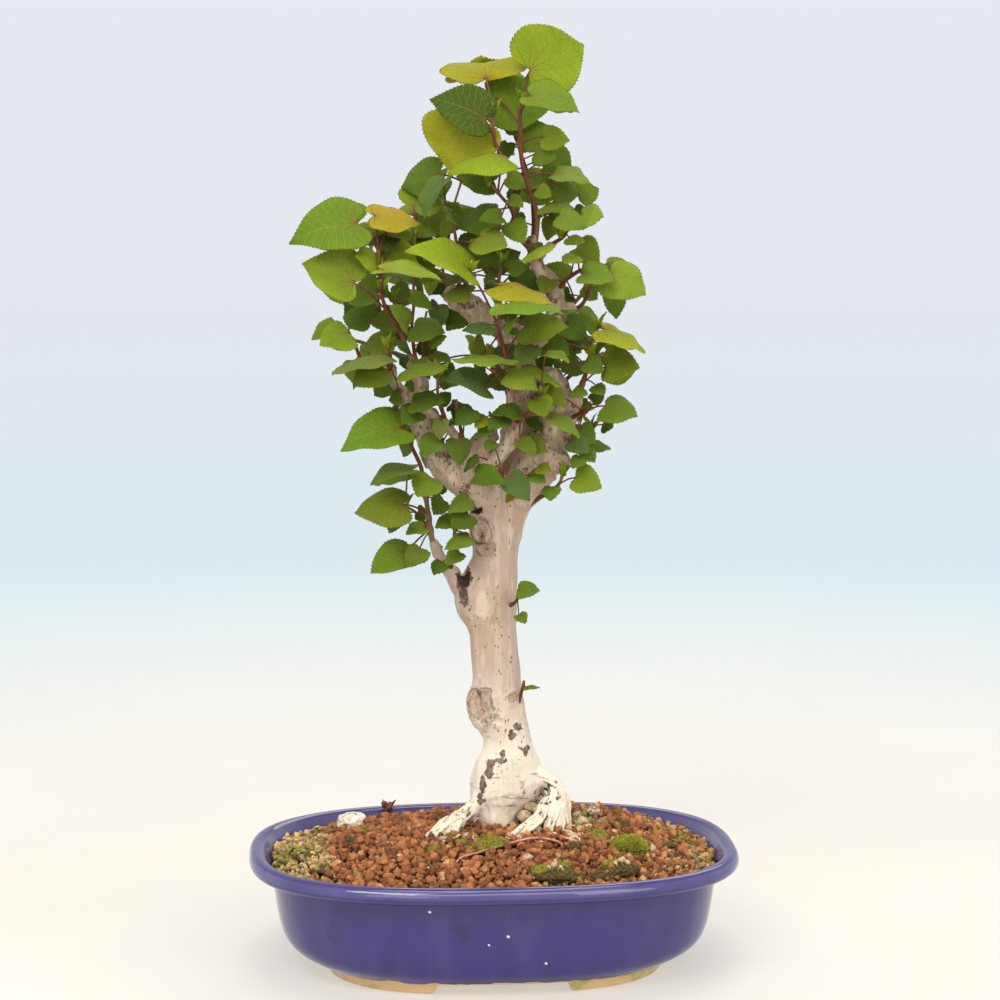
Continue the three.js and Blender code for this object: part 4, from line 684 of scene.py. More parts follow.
def oval(half_length, half_width, z, sides=POT_SIDES):
    power = 2 / POT_SQUARENESS
    turn = 2 * np.pi * np.arange(sides) / sides
    c, s = np.cos(turn), np.sin(turn)
    x = half_length * np.sign(c) * np.abs(c) ** power
    y = half_width * np.sign(s) * np.abs(s) ** power
    return np.stack([x, y, np.full(sides, z)], -1)


def soil_height(x, y):
    """The soil's surface climbs from the wall to the roots and to a mound behind them on the right."""
    out = np.minimum(1, np.hypot(x / (POT_LENGTH / 2 - RIM_WIDTH), y / (POT_WIDTH / 2 - RIM_WIDTH)))
    climb = (SOIL_CROWN - SOIL_EDGE) * (1 - out**2.2)
    mound = 5 * np.exp(-(((x - 62) / 30) ** 2) - ((y - 45) / 25) ** 2)
    return SOIL_EDGE + climb + mound


def wander(points, scale, octaves=3, shift=0.0):
    """Soft noise from about -1 to 1 at each point."""
    at = points / scale + shift
    return np.array([noise.fractal(Vector(p), 1.0, 2.0, octaves) for p in at.tolist()])


# Materials.


class Nodes:
    """Short calls for building the nodes of a material or a group."""

    def __init__(self, tree):
        self.tree = tree

    def feed(self, socket, value):
        if isinstance(value, bpy.types.NodeSocket):
            self.tree.links.new(value, socket)
        elif hasattr(value, "__len__"):
            socket.default_value = (*value, 1) if socket.type == "RGBA" and len(value) == 3 else tuple(value)
        else:
            socket.default_value = value

    def new(self, kind, inputs=None, **settings):
        node = self.tree.nodes.new(kind)
        for key, value in settings.items():
            setattr(node, key, value)
        for key, value in (inputs or {}).items():
            self.feed(node.inputs[key], value)
        return node

    def sum(self, operation, a, b=0, c=0, clamp=False):
        node = self.new("ShaderNodeMath", operation=operation, use_clamp=clamp)
        for socket, value in zip(node.inputs, (a, b, c)):
            self.feed(socket, value)
        return node.outputs[0]

    def times(self, a, b):
        return self.sum("MULTIPLY", a, b)

    def plus(self, a, b, clamp=False):
        return self.sum("ADD", a, b, clamp=clamp)

    def less(self, a, b):
        return self.sum("SUBTRACT", a, b)

    def most(self, a, b):
        return self.sum("MAXIMUM", a, b)

    def off(self, a, b):
        """How far a value is from another."""
        return self.sum("ABSOLUTE", self.less(a, b))

    def vector(self, operation, a, b=(0, 0, 0), output=0):
        node = self.new("ShaderNodeVectorMath", operation=operation)
        self.feed(node.inputs[0], a)
        self.feed(node.inputs[1], b)
        return node.outputs[output]

    def mix(self, factor, a, b, blend="MIX"):
        node = self.new("ShaderNodeMix", data_type="RGBA", blend_type=blend)
        for index, value in ((0, factor), (6, a), (7, b)):
            self.feed(node.inputs[index], value)
        return node.outputs[2]

    def over(self, colour, other, mask, share):
        """The other colour lies over the first by a share of the mask."""
        return self.mix(self.times(mask, share), colour, other)

    def tinted(self, colour, tint):
        return self.mix(1, colour, tint, "MULTIPLY")

    def between(self, value, low, high, out_low=0, out_high=1, kind="SMOOTHSTEP"):
        node = self.new("ShaderNodeMapRange", interpolation_type=kind)
        for socket, number in zip(node.inputs, (value, low, high, out_low, out_high)):
            self.feed(socket, number)
        return node.outputs[0]

    def split(self, vector):
        return self.new("ShaderNodeSeparateXYZ", {"Vector": vector}).outputs

    def value(self, name, output="Fac"):
        return self.new("ShaderNodeAttribute", attribute_name=name).outputs[output]

    def stretched(self, vector, stretch):
        return self.vector("MULTIPLY", vector, stretch)

    def noise(self, vector, scale, detail=3, roughness=0.55):
        inputs = {"Vector": vector, "Scale": scale, "Detail": detail, "Roughness": roughness}
        return self.new("ShaderNodeTexNoise", inputs).outputs[0]

    def cells(self, vector, scale, feature="F1"):
        return self.new("ShaderNodeTexVoronoi", {"Vector": vector, "Scale": scale}, feature=feature).outputs


class Finish(Nodes):
    """A material in the making, with its shader and the place on the piece."""

    def __init__(self, name):
        self.look = bpy.data.materials.new(name)
        self.look.use_nodes = True
        super().__init__(self.look.node_tree)
        self.tree.nodes.clear()
        principled = self.new("ShaderNodeBsdfPrincipled")
        self.shader = principled.inputs
        self.body = principled.outputs[0]
        self.surface = self.new("ShaderNodeOutputMaterial").inputs["Surface"]
        self.feed(self.surface, self.body)
        self.place = self.new("ShaderNodeTexCoord").outputs["Object"]

    def done(self, colour, roughness, height=None, distance=0, strength=1, others=None):
        """Feeds the shader and gives the material; others holds further inputs of the shader by name."""
        inputs = {"Base Color": colour, "Roughness": roughness, **(others or {})}
        if height is not None:
            relief = {"Height": height, "Distance": distance, "Strength": strength}
            inputs["Normal"] = self.new("ShaderNodeBump", relief).outputs[0]
        for key, value in inputs.items():
            self.feed(self.shader[key], value)
        return self.look


# The sockets of the effects that aren't plain values.
SOCKET_KINDS = {
    "Vector": "NodeSocketVector",
    "Place": "NodeSocketVector",
    "Surface": "NodeSocketColor",
    "Film": "NodeSocketColor",
    "Color": "NodeSocketColor",
}


def new_effect(name, takes, gives, fill):
    """A new node group whose nodes the given function makes."""
    group = bpy.data.node_groups.new(name, "ShaderNodeTree")
    for side, keys in (("INPUT", takes), ("OUTPUT", gives)):
        for key in keys:
            kind = SOCKET_KINDS.get(key, "NodeSocketFloat")
            group.interface.new_socket(name=key, in_out=side, socket_type=kind)
    nodes = Nodes(group)
    results = fill(nodes, *nodes.new("NodeGroupInput").outputs[: len(takes)])
    output = nodes.new("NodeGroupOutput").inputs
    for key, value in zip(gives, results):
        nodes.feed(output[key], value)


def effect(name, takes, gives):
    """Turns a function that fills a node group into one that adds this shared group to a material."""

    def shared(fill):
        def added(nodes, *values):
            if name not in bpy.data.node_groups:
                new_effect(name, takes, gives, fill)
            inputs = dict(zip(takes, values))
            node = nodes.new("ShaderNodeGroup", node_tree=bpy.data.node_groups[name])
            for key, value in inputs.items():
                nodes.feed(node.inputs[key], value)
            results = [node.outputs[key] for key in gives]
            return results if len(results) > 1 else results[0]

        return added

    return shared


@effect("Mottling", ["Vector", "Scale", "Low", "High"], ["Mask"])
def mottled(nodes, place, scale, low, high):
    """Cloudy patches with soft edges."""
    return [nodes.between(nodes.noise(place, scale, 5, 0.6), low, high)]


@effect("Scattered dots", ["Vector", "Scale", "Radius", "Share"], ["Mask"])
def dotted(nodes, place, scale, radius, share):
    """Scattered dots: lenticels, pinholes and specks."""
    cells = nodes.cells(place, scale)
    near = nodes.between(cells["Distance"], radius, nodes.times(radius, 0.45))
    pick = nodes.new("ShaderNodeSeparateColor", {"Color": cells["Color"]}).outputs[0]
    return [nodes.times(near, nodes.sum("LESS_THAN", pick, share))]


@effect("Gritty height", ["Vector", "Scale"], ["Height"])
def gritty(nodes, place, scale):
    """The height of a gritty, pitted surface."""
    pits = nodes.cells(place, nodes.times(scale, 1.7))["Distance"]
    return [nodes.plus(nodes.noise(place, scale, 6, 0.7), nodes.times(pits, 0.35))]


@effect("Film", ["Vector", "Scale", "Amount", "Surface", "Film"], ["Color"])
def filmed(nodes, place, scale, amount, surface, film):
    """A thin film of algae or dust that gathers in patches."""
    cloud = nodes.noise(place, scale, 5, 0.65)
    edge = nodes.less(0.92, nodes.times(amount, 0.62))
    mask = nodes.between(cloud, nodes.less(edge, 0.14), nodes.plus(edge, 0.08))
    cover = nodes.times(mask, nodes.sum("MINIMUM", 1, nodes.times(amount, 1.6)))
    return [nodes.mix(cover, surface, film)]


SIDE_VEINS = [(33, 0.013), (64, 0.011), (98, 0.009)]  # degrees from the midrib, and width in blade lengths


@effect("Blade veins", ["Place"], ["Main", "Side", "Net"])
def veined(nodes, place):
    """The veins of a heart-shaped blade; its place runs x across and y along, in blade lengths."""
    x, along, _ = nodes.split(place)
    across = nodes.sum("ABSOLUTE", x)
    main = nodes.between(across, nodes.between(along, 0, 1, 0.017, 0.004, "LINEAR"), 0)
    side = 0
    inner = None
    for degrees, width in SIDE_VEINS:
        sine, cosine = math.sin(math.radians(degrees)), math.cos(math.radians(degrees))
        run = nodes.plus(nodes.times(across, sine), nodes.times(along, cosine))
        off = nodes.less(nodes.times(across, cosine), nodes.times(along, sine))
        off = nodes.plus(off, nodes.times(nodes.times(run, run), 0.34))
        reach = nodes.between(run, 0, 0.7, width, 0.003, "LINEAR")
        line = nodes.between(nodes.sum("ABSOLUTE", off), reach, 0)
        line = nodes.times(line, nodes.sum("GREATER_THAN", run, 0))
        main = nodes.most(main, nodes.times(line, 0.9))
        # Fine veins leave this one outwards, as far as the next.
        step = nodes.times(nodes.less(run, nodes.times(off, 0.8)), 8.5)
        fine = nodes.off(nodes.sum("FRACT", step), 0.5)
        beyond = nodes.sum("GREATER_THAN", off, 0)
        within = nodes.less(1, beyond)
        inner = inner or within
        side = nodes.sum("MULTIPLY_ADD", nodes.between(fine, 0.07, 0), beyond, nodes.times(side, within))
    step = nodes.less(along, nodes.times(across, 0.75))
    step = nodes.sum("FRACT", nodes.sum("MULTIPLY_ADD", step, 7.5, 0.2))
    fine = nodes.between(nodes.off(step, 0.5), 0.065, 0)
    fine = nodes.times(fine, nodes.times(inner, nodes.sum("GREATER_THAN", along, 0.12)))
    net = nodes.cells(place, 26, "DISTANCE_TO_EDGE")["Distance"]
    return [main, nodes.most(side, fine), nodes.between(net, 0.12, 0)]


# Dark pools in the glaze: where each is seen, its depth and its reach in metres.
GLAZE_POOLS = [(-86.7, 16.8, -66, 0.0065), (-16.7, 15.2, -85, 0.0055), (99, 24, -57, 0.003)]
POOL_SHAPE = (1, 1, 0.8)
# Small chips in the wall: where each is seen and its depth.
GLAZE_CHIPS = [(-35.4, 26.3, -86), (8.5, 10.9, -86), (-2.3, 6, -86), (29.6, -4.5, -82.8)]
CHIP_RADIUS = 0.00085
PINHOLE = (0.55, 0.55, 0.62)
CLAY_SHADE, CLAY_WHITE, CLAY_ALGAE = (0.6, 0.4, 0.18), (0.8, 0.76, 0.72), (0.4, 0.38, 0.1)

# The colours within each finish that a user wouldn't change.
NETTING_BLACK, NETTING_WORN = (0.012, 0.013, 0.015), (0.05, 0.045, 0.04)
SOIL_DARK_AND_SHADE, SOIL_LIGHT = (0.06, 0.02, 0.01), (0.15, 0.06, 0.028)
LOW_CHALK_AND_BOUNCE, HIGH_CHALK = (0.95, 0.87, 0.74), (0.8, 0.72, 0.6)
LILAC_BARK, PALE_LINE = (0.5, 0.395, 0.385), (0.8, 0.66, 0.48)
BURNT_FLECK, PIT_DARK_AND_SHADE_BARK, BARK_ALGAE = (0.03, 0.015, 0.01), (0.045, 0.024, 0.014), (0.25, 0.19, 0.08)
LEAF_SHADE, LEAF_MARGIN, LEAF_UNDER = (0.7, 0.78, 0.6), (1.5, 1.25, 0.9), (1.15, 1.12, 1.1)
TURNED_LEAF, LEAF_SPECK, DOWNY_UNDER = (0.48, 0.22, 0.02), (0.16, 0.07, 0.02), (0.2, 0.26, 0.08)
VEIN_TINT, VEIN_YELLOW, VEIN_RED = (1.6, 1.5, 1.3), (0.4, 0.44, 0.13), (0.27, 0.06, 0.03)
FRESH_STEM, OLD_STEM = (0.24, 0.2, 0.045), (0.245, 0.145, 0.085)
STEM_CLOUD, STEM_SPECK = (1.7, 1.5, 1.3), (0.45, 0.32, 0.2)
PALE_BUD, BROWN_MOSS, STONE_CRACK = (0.56, 0.58, 0.22), (0.17, 0.085, 0.022), (0.17, 0.1, 0.06)
COPPER, TARNISH = (0.66, 0.31, 0.23), (0.34, 0.13, 0.09)


def glaze_material(settings):
    nodes = Finish("Cobalt glaze over bare clay")
    place = nodes.place
    x, _, z = nodes.split(place)
    broad = nodes.noise(place, 26, 2)
    pools = mottled(nodes, nodes.stretched(place, (1, 1, 0.7)), 38, 0.585, 0.64)
    pools = nodes.times(pools, nodes.between(z, 0.05, 0.044))
    streaks = nodes.noise(nodes.stretched(place, (1, 1, 0.12)), 90, 4)
    glaze = nodes.mix(nodes.between(streaks, 0.35, 0.75, 0, 0.07), settings.glaze, settings.glaze_thin_and_highlight)
    for spot_x, spot_z, spot_y, reach in GLAZE_POOLS:
        spot = seen(spot_x, spot_z, spot_y) * MM * POOL_SHAPE
        near = nodes.vector("DISTANCE", nodes.stretched(place, POOL_SHAPE), spot, output=1)
        near = nodes.sum("MULTIPLY_ADD", nodes.noise(place, 170, 4, 0.7), 0.012, near)
        pools = nodes.most(nodes.times(pools, 0.6), nodes.between(near, reach + 0.006, reach + 0.004))
    glaze = nodes.over(glaze, settings.glaze_dark, pools, 0.7)
    # Along the rim a pale band is painted: a painted highlight all round its rounded outer face, with thin
    # worn glaze added at the pot's ends, and a faint line of thin glaze on its top.
    ends = nodes.between(nodes.sum("ABSOLUTE", x), 0.105, 0.134)
    rim_highlight_band = nodes.times(nodes.between(z, 0.0585, 0.0612), nodes.between(z, 0.0644, 0.063))
    rim_wear_and_highlight = nodes.times(rim_highlight_band, nodes.plus(nodes.times(ends, 0.4), 0.3))
    rim_wear_and_highlight = nodes.times(rim_wear_and_highlight, nodes.between(broad, 0.25, 0.6, 0.55, 1))
    glaze = nodes.mix(rim_wear_and_highlight, glaze, settings.glaze_thin_and_highlight)
    glaze = nodes.over(glaze, settings.glaze_thin_and_highlight, nodes.between(z, 0.0641, 0.0649), 0.1)
    # The wall stays bare near its foot and where the feet stand.
    edge = nodes.between(nodes.noise(place, 60, 2), 0.3, 0.7, 0.0066, 0.0092, "LINEAR")
    bare = nodes.sum("LESS_THAN", z, edge)
    for spot in GLAZE_CHIPS:
        near = nodes.vector("DISTANCE", place, seen(*spot) * MM, output=1)
        near = nodes.plus(near, nodes.times(nodes.less(nodes.noise(place, 900), 0.5), 0.0012))
        bare = nodes.most(bare, nodes.sum("LESS_THAN", near, CHIP_RADIUS))
    glaze = nodes.over(glaze, PINHOLE, dotted(nodes, place, 95, 0.055, 0.05), 0.8)
    clay = nodes.mix(nodes.noise(place, 160, 5), settings.clay, CLAY_SHADE)
    film = nodes.between(nodes.noise(place, 34, 3), 0.4, 0.6, 0.2, 0.62)
    clay = filmed(nodes, place, 120, film, clay, CLAY_ALGAE)
    whole = nodes.mix(bare, glaze, clay)
    # Chips above the foot show the paler body of the pot.
    white = nodes.times(bare, nodes.between(z, 0.0095, 0.0105))
    colour = nodes.mix(white, whole, CLAY_WHITE)
    dull = nodes.between(nodes.noise(place, 45, 4), 0.3, 0.75, 0.05, 0.15)
    dull = nodes.plus(dull, nodes.times(pools, 0.12))
    rough = nodes.most(dull, nodes.times(bare, 0.88))
    peel = nodes.times(nodes.noise(place, 130, 2), 0.5)
    grit = nodes.times(bare, gritty(nodes, place, 900))
    height = nodes.plus(nodes.plus(peel, nodes.times(broad, 1.2)), grit)
    height = nodes.less(height, nodes.times(bare, 0.6))
    return nodes.done(colour, rough, height, 0.0004, 0.6, others={"IOR": 1.62})


def netting_material():
    nodes = Finish("Black netting")
    worn = mottled(nodes, nodes.place, 300, 0.45, 0.7)
    colour = nodes.mix(worn, NETTING_BLACK, NETTING_WORN)
    rough = nodes.between(worn, 0, 1, 0.45, 0.75)
    return nodes.done(colour, rough, nodes.noise(nodes.place, 1500), 0.0001)


def soil_material(settings):
    nodes = Finish("Fine damp soil between grains")
    place = nodes.place
    # The bed shows between the grains; its dark colours are partly the damp soil's own and partly painted
    # shade in the gaps.
    patches = mottled(nodes, place, 120, 0.35, 0.7)
    colour = nodes.mix(patches, SOIL_DARK_AND_SHADE, SOIL_LIGHT)
    film = nodes.between(nodes.noise(place, 22, 3), 0.5, 0.68, 0, 0.5)
    colour = filmed(nodes, place, 260, film, colour, settings.algae)
    return nodes.done(colour, 0.95, gritty(nodes, place, 700), 0.0012)


def grain_material(name, dark, light, extra, algae):
    """Grains of baked clay or gravel: each has its own tone, with scattered dark specks."""
    nodes = Finish(name)
    place = nodes.place
    tone = nodes.value("tone")
    colour = nodes.mix(tone, dark, light)
    colour = nodes.mix(nodes.between(nodes.value("odd"), 0.93, 1), colour, extra)
    patches = mottled(nodes, place, 420, 0.35, 0.68)
    colour = nodes.over(colour, nodes.mix(0.5, colour, light), patches, 0.38)
    colour = nodes.over(colour, dark, dotted(nodes, place, 1100, 0.33, 0.35), 0.45)
    colour = filmed(nodes, place, 520, nodes.value("film"), colour, algae)
    rough = nodes.between(patches, 0, 1, 0.82, 0.96)
    return nodes.done(colour, rough, gritty(nodes, place, 900), 0.0006, 0.9)


BARK = "Smooth pale bark with lenticels"


def bark_material(settings):
    nodes = Finish(BARK)
    place = nodes.place
    _, _, z = nodes.split(place)
    upright = nodes.stretched(place, (1, 1, 0.32))
    lift = nodes.plus(z, nodes.between(nodes.noise(upright, 60, 4), 0, 1, -0.03, 0.03, "LINEAR"))
    # The bark is paler towards the roots: partly the roots' own pale bark, partly painted light thrown up
    # from the bright floor.
    colour = nodes.mix(nodes.between(lift, 0.108, 0.178), settings.pale, settings.upper)
    colour = nodes.mix(nodes.between(lift, 0.258, 0.32), colour, settings.arms)
    clouds = mottled(nodes, upright, 75, 0.32, 0.72)
    colour = nodes.over(colour, nodes.mix(0.62, colour, settings.scar, "MULTIPLY"), clouds, 0.3)
    # The chalk is paler low on the trunk, which partly paints the floor's bounce light.
    chalk = mottled(nodes, upright, 150, 0.5, 0.66)
    chalk_and_bounce_light = nodes.mix(nodes.between(z, 0.125, 0.19), LOW_CHALK_AND_BOUNCE, HIGH_CHALK)
    colour = nodes.over(colour, chalk_and_bounce_light, chalk, 0.42)
    # Faint lilac clouds lie on the plain part of the trunk.
    lilac = mottled(nodes, upright, 46, 0.48, 0.6)
    plain = nodes.times(nodes.between(z, 0.135, 0.165), nodes.between(z, 0.275, 0.245))
    colour = nodes.over(colour, LILAC_BARK, nodes.times(lilac, plain), 0.45)
    # Pale upright lines carry rows of small dark lenticels.
    bands = nodes.between(nodes.noise(nodes.stretched(place, (1, 1, 0.03)), 190, 2), 0.53, 0.6)
    colour = nodes.over(colour, PALE_LINE, bands, 0.28)
    shake = nodes.new("ShaderNodeTexNoise", {"Vector": place, "Scale": 700}).outputs[1]
    shaken = nodes.vector("ADD", place, nodes.stretched(shake, (0.0014, 0.0014, 0.003)))
    specks = dotted(nodes, nodes.stretched(shaken, (1, 1, 0.5)), 480, 0.27, 0.8)
    specks = nodes.times(specks, nodes.plus(nodes.times(bands, 0.9), 0.1, clamp=True))
    large = dotted(nodes, nodes.stretched(shaken, (1, 1, 0.45)), 230, 0.2, 0.4)
    large = nodes.times(large, nodes.between(nodes.noise(place, 55, 3), 0.42, 0.6, 0.15, 0.9))
    coarse = nodes.times(dotted(nodes, shaken, 300, 0.29, 0.46), nodes.between(z, 0.262, 0.29))
    marks = nodes.most(nodes.most(specks, large), coarse)
    marks = nodes.times(marks, nodes.between(z, 0.085, 0.13, 0.2, 1))
    colour = nodes.over(colour, settings.scar, marks, 0.9)
    # Fine fissures run up the trunk, and rings of creases lie round its foot.
    wrinkles = nodes.noise(nodes.stretched(place, (1, 1, 0.14)), 430, 5, 0.65)
    darker = nodes.mix(0.7, colour, settings.scar)
    colour = nodes.mix(nodes.between(wrinkles, 0.6, 0.72, 0, 0.5), colour, darker)
    creases = nodes.noise(nodes.stretched(place, (0.16, 0.16, 1)), 520, 3, 0.6)
    lines = nodes.times(nodes.between(creases, 0.64, 0.7), nodes.between(z, 0.16, 0.12))
    colour = nodes.over(colour, settings.scar, lines, 0.55)
    flaked = nodes.less(nodes.noise(place, 380, 5, 0.72), 0.5)
    old = nodes.sum("MULTIPLY_ADD", flaked, 1.5, nodes.value("scar"))
    dark_fleck = nodes.mix(0.5, settings.scar, BURNT_FLECK)
    pale_fleck = nodes.mix(0.36, settings.scar, settings.upper)
    flecks = nodes.between(nodes.noise(place, 420, 4, 0.7), 0.42, 0.6)
    flecks = nodes.mix(flecks, dark_fleck, pale_fleck)
    colour = nodes.mix(nodes.between(old, 0.46, 0.6, 0, 0.94), colour, flecks)
    # A healed knob shows a dark edge, a paler ring and a dark heart.
    bent = nodes.less(nodes.noise(place, 110, 2), 0.5)
    ring = nodes.sum("MULTIPLY_ADD", flaked, 0.16, nodes.sum("MULTIPLY_ADD", bent, 0.7, nodes.value("ring")))
    worn = nodes.mix(0.25, settings.upper, settings.scar)
    colour = nodes.mix(nodes.between(ring, 1, 0.7, 0, 0.62), colour, worn)
    broken = nodes.between(nodes.noise(place, 240, 3), 0.4, 0.56, 0.15, 1)
    edge = nodes.between(nodes.off(ring, 0.92), 0.13, 0.04)
    inner = nodes.between(nodes.off(ring, 0.52), 0.09, 0.03)
    heart = nodes.between(ring, 0.3, 0.16)
    drawn = nodes.most(nodes.most(nodes.times(edge, 0.85), nodes.times(inner, 0.35)), heart)
    drawn = nodes.times(drawn, broken)
    colour = nodes.over(colour, settings.scar, drawn, 0.75)
    # Dark pits: partly dark old wood, partly painted shade in gaps and creases.
    hollow = nodes.sum("MULTIPLY_ADD", flaked, 1.8, nodes.value("hollow"))
    colour = nodes.mix(nodes.between(hollow, 0.3, 0.95, 0, 0.93), colour, PIT_DARK_AND_SHADE_BARK)
    damp = nodes.times(nodes.between(z, 0.084, 0.068), 0.6)
    colour = filmed(nodes, place, 240, damp, colour, BARK_ALGAE)
    rough = nodes.between(clouds, 0, 1, 0.72, 0.92)
    height = nodes.plus(wrinkles, nodes.times(gritty(nodes, upright, 480), 0.5))
    height = nodes.less(height, nodes.times(nodes.most(marks, lines), 0.5))
    height = nodes.less(height, nodes.times(drawn, 0.5))
    return nodes.done(colour, rough, height, 0.0009, 0.9)


def leaf_material():
    nodes = Finish("Toothed leaf")
    place = nodes.place
    blade = nodes.value("blade_place", "Vector")
    main, side, net = veined(nodes, blade)
    tone = nodes.value("leaf_tone", "Vector")
    under = nodes.value("under")
    clouds = mottled(nodes, place, 130, 0.3, 0.72)
    colour = nodes.over(tone, nodes.tinted(tone, LEAF_SHADE), clouds, 0.35)
    # A blade turns yellower towards its margin.
    margin = nodes.between(nodes.value("rim"), 0.4, 1)
    colour = nodes.over(colour, nodes.tinted(colour, LEAF_MARGIN), margin, 0.28)
    flush = nodes.value("flush")
    turning = nodes.times(flush, nodes.between(nodes.noise(place, 90, 3), 0.35, 0.65))
    colour = nodes.mix(turning, colour, TURNED_LEAF)
    pale = nodes.mix(0.45, nodes.tinted(colour, VEIN_TINT), VEIN_YELLOW)
    # The veins are red near the stalk.
    reach = nodes.vector("LENGTH", blade, output=1)
    vein = nodes.mix(nodes.between(reach, 0.62, 0.08), pale, VEIN_RED)
    colour = nodes.over(colour, vein, main, 0.85)
    colour = nodes.over(colour, pale, side, 0.55)
    colour = nodes.over(colour, pale, net, 0.1)
    colour = nodes.over(colour, LEAF_SPECK, dotted(nodes, place, 420, 0.11, 0.1), 0.6)
    beneath = nodes.mix(0.42, nodes.tinted(colour, LEAF_UNDER), DOWNY_UNDER)
    colour = nodes.mix(under, colour, beneath)
    gloss = nodes.between(nodes.noise(place, 260, 3), 0.3, 0.7, 0.54, 0.68)
    rough = nodes.plus(gloss, nodes.times(under, 0.22))
    relief = nodes.plus(nodes.times(main, 1), nodes.times(side, 0.5))
    relief = nodes.plus(relief, nodes.times(net, 0.22))
    sign = nodes.between(under, 0, 1, -1, 1, "LINEAR")
    height = nodes.plus(nodes.times(relief, sign), nodes.times(nodes.noise(place, 700), 0.3))
    return nodes.done(colour, rough, height, 0.00032, 0.8, others={"Specular IOR Level": 0.11})


def stem_material(settings):
    nodes = Finish("Young red stem")
    place = nodes.place
    age = nodes.value("age")
    fresh = nodes.mix(0.5, settings.stem, FRESH_STEM)
    colour = nodes.mix(nodes.between(age, 0, 0.35), fresh, settings.stem)
    colour = nodes.mix(nodes.between(age, 0.55, 1), colour, OLD_STEM)
    clouds = mottled(nodes, place, 220, 0.3, 0.7)
    colour = nodes.over(colour, nodes.tinted(colour, STEM_CLOUD), clouds, 0.35)
    colour = nodes.over(colour, STEM_SPECK, dotted(nodes, place, 800, 0.26, 0.25), 0.5)
    rough = nodes.between(age, 0, 1, 0.55, 0.8, "LINEAR")
    return nodes.done(colour, rough, gritty(nodes, nodes.stretched(place, (1, 1, 0.4)), 900), 0.0003)


def bud_material(settings):
    nodes = Finish("Downy bud")
    place = nodes.place
    clouds = mottled(nodes, nodes.stretched(place, (1, 1, 0.3)), 900, 0.35, 0.65)
    colour = nodes.mix(clouds, settings.bud, PALE_BUD)
    rough = nodes.between(clouds, 0, 1, 0.5, 0.7)
    return nodes.done(colour, rough, clouds, 0.0002)


def moss_material(name, tip, base):
    nodes = Finish(name)
    place = nodes.place
    high = nodes.value("tuft")
    clouds = mottled(nodes, place, 170, 0.3, 0.7)
    top = nodes.mix(clouds, tip, nodes.mix(0.5, tip, base))
    colour = nodes.mix(high, base, top)
    colour = nodes.over(colour, BROWN_MOSS, dotted(nodes, place, 330, 0.5, 0.18), 0.55)
    rough = nodes.between(high, 0, 1, 0.95, 0.72)
    return nodes.done(colour, rough, gritty(nodes, place, 1300), 0.0005)


def stone_material(name, pale, dull):
    nodes = Finish(name)
    place = nodes.place
    cracks = nodes.cells(nodes.stretched(place, (1, 1, 1.5)), 120, "DISTANCE_TO_EDGE")["Distance"]
    wiggle = nodes.times(nodes.less(nodes.noise(place, 420, 5, 0.7), 0.5), 0.42)
    lines = nodes.between(nodes.plus(cracks, wiggle), 0.05, 0.01)
    lines = nodes.times(lines, nodes.between(nodes.noise(place, 150, 2), 0.44, 0.56))
    clouds = mottled(nodes, place, 260, 0.42, 0.66)
    colour = nodes.over(pale, dull, clouds, 0.75)
    colour = nodes.over(colour, STONE_CRACK, lines, 0.8)
    rough = nodes.between(clouds, 0, 1, 0.8, 0.95)
    return nodes.done(colour, rough, nodes.less(gritty(nodes, place, 600), lines), 0.0007)


def wire_material():
    nodes = Finish("Dull copper wire")
    place = nodes.place
    tarnish = mottled(nodes, place, 260, 0.38, 0.66)
    colour = nodes.mix(tarnish, COPPER, TARNISH)
    metal = nodes.between(tarnish, 0, 1, 0.55, 0.25)
    rough = nodes.between(tarnish, 0, 1, 0.34, 0.62)
    drawn = nodes.noise(nodes.stretched(place, (0.3, 1, 1)), 1400)
    return nodes.done(colour, rough, drawn, 0.0001, others={"Metallic": metal})


# The pot.


# A foot's section: how far each corner lies in from the base's edge, and its height.
FOOT_SECTION = [
    (5.2, 0), (4.5, 0.3), (4.1, 1), (0.8, 7.6), (1.6, 8.2), (14.4, 8.2), (15, 7.4), (15, 1), (14.7, 0.3),
    (14, 0),
]
FOOT_MIDDLE = (9.5, 4)
FOOT_STEPS = 26
FOOT_ROUNDING = 0.7


def make_foot(skin, mirror_x, mirror_y):
    """One corner foot: a short curb under the base that ends at the two gaps."""
    half_length, half_width = POT_LENGTH / 2 - POT_SKIN[0][0], POT_WIDTH / 2 - POT_SKIN[0][1]
    power = 2 / POT_SQUARENESS
    rings = []
    for i in range(-1, FOOT_STEPS + 2):
        at_end = i in (-1, FOOT_STEPS + 1)
        share = min(max(i, 0), FOOT_STEPS) / FOOT_STEPS
        ring = []
        for inset, z in FOOT_SECTION:
            if at_end:
                inset, z = inset + (FOOT_MIDDLE[0] - inset) * 0.1, z + (FOOT_MIDDLE[1] - z) * 0.14
            length, width = half_length - inset, half_width - inset
            taper = 1.5 - 0.4 * (z + 1)
            end_y = FOOT_GAP_END / 2 + taper + (0.0 if at_end else FOOT_ROUNDING)
            end_x = FOOT_GAP_FRONT / 2 + taper + (0.0 if at_end else FOOT_ROUNDING)
            low = math.asin((end_y / width) ** (1 / power))
            high = math.acos((end_x / length) ** (1 / power))
            turn = low + (high - low) * share
            x, y = length * math.cos(turn) ** power, width * math.sin(turn) ** power
            ring.append((mirror_x * x, mirror_y * y, z))
        rings.append(ring)
    faces = capped_faces(len(rings), len(FOOT_SECTION))
    if mirror_x * mirror_y > 0:
        faces = [face[::-1] for face in faces]
    skin.add(np.array(rings).reshape(-1, 3), faces)


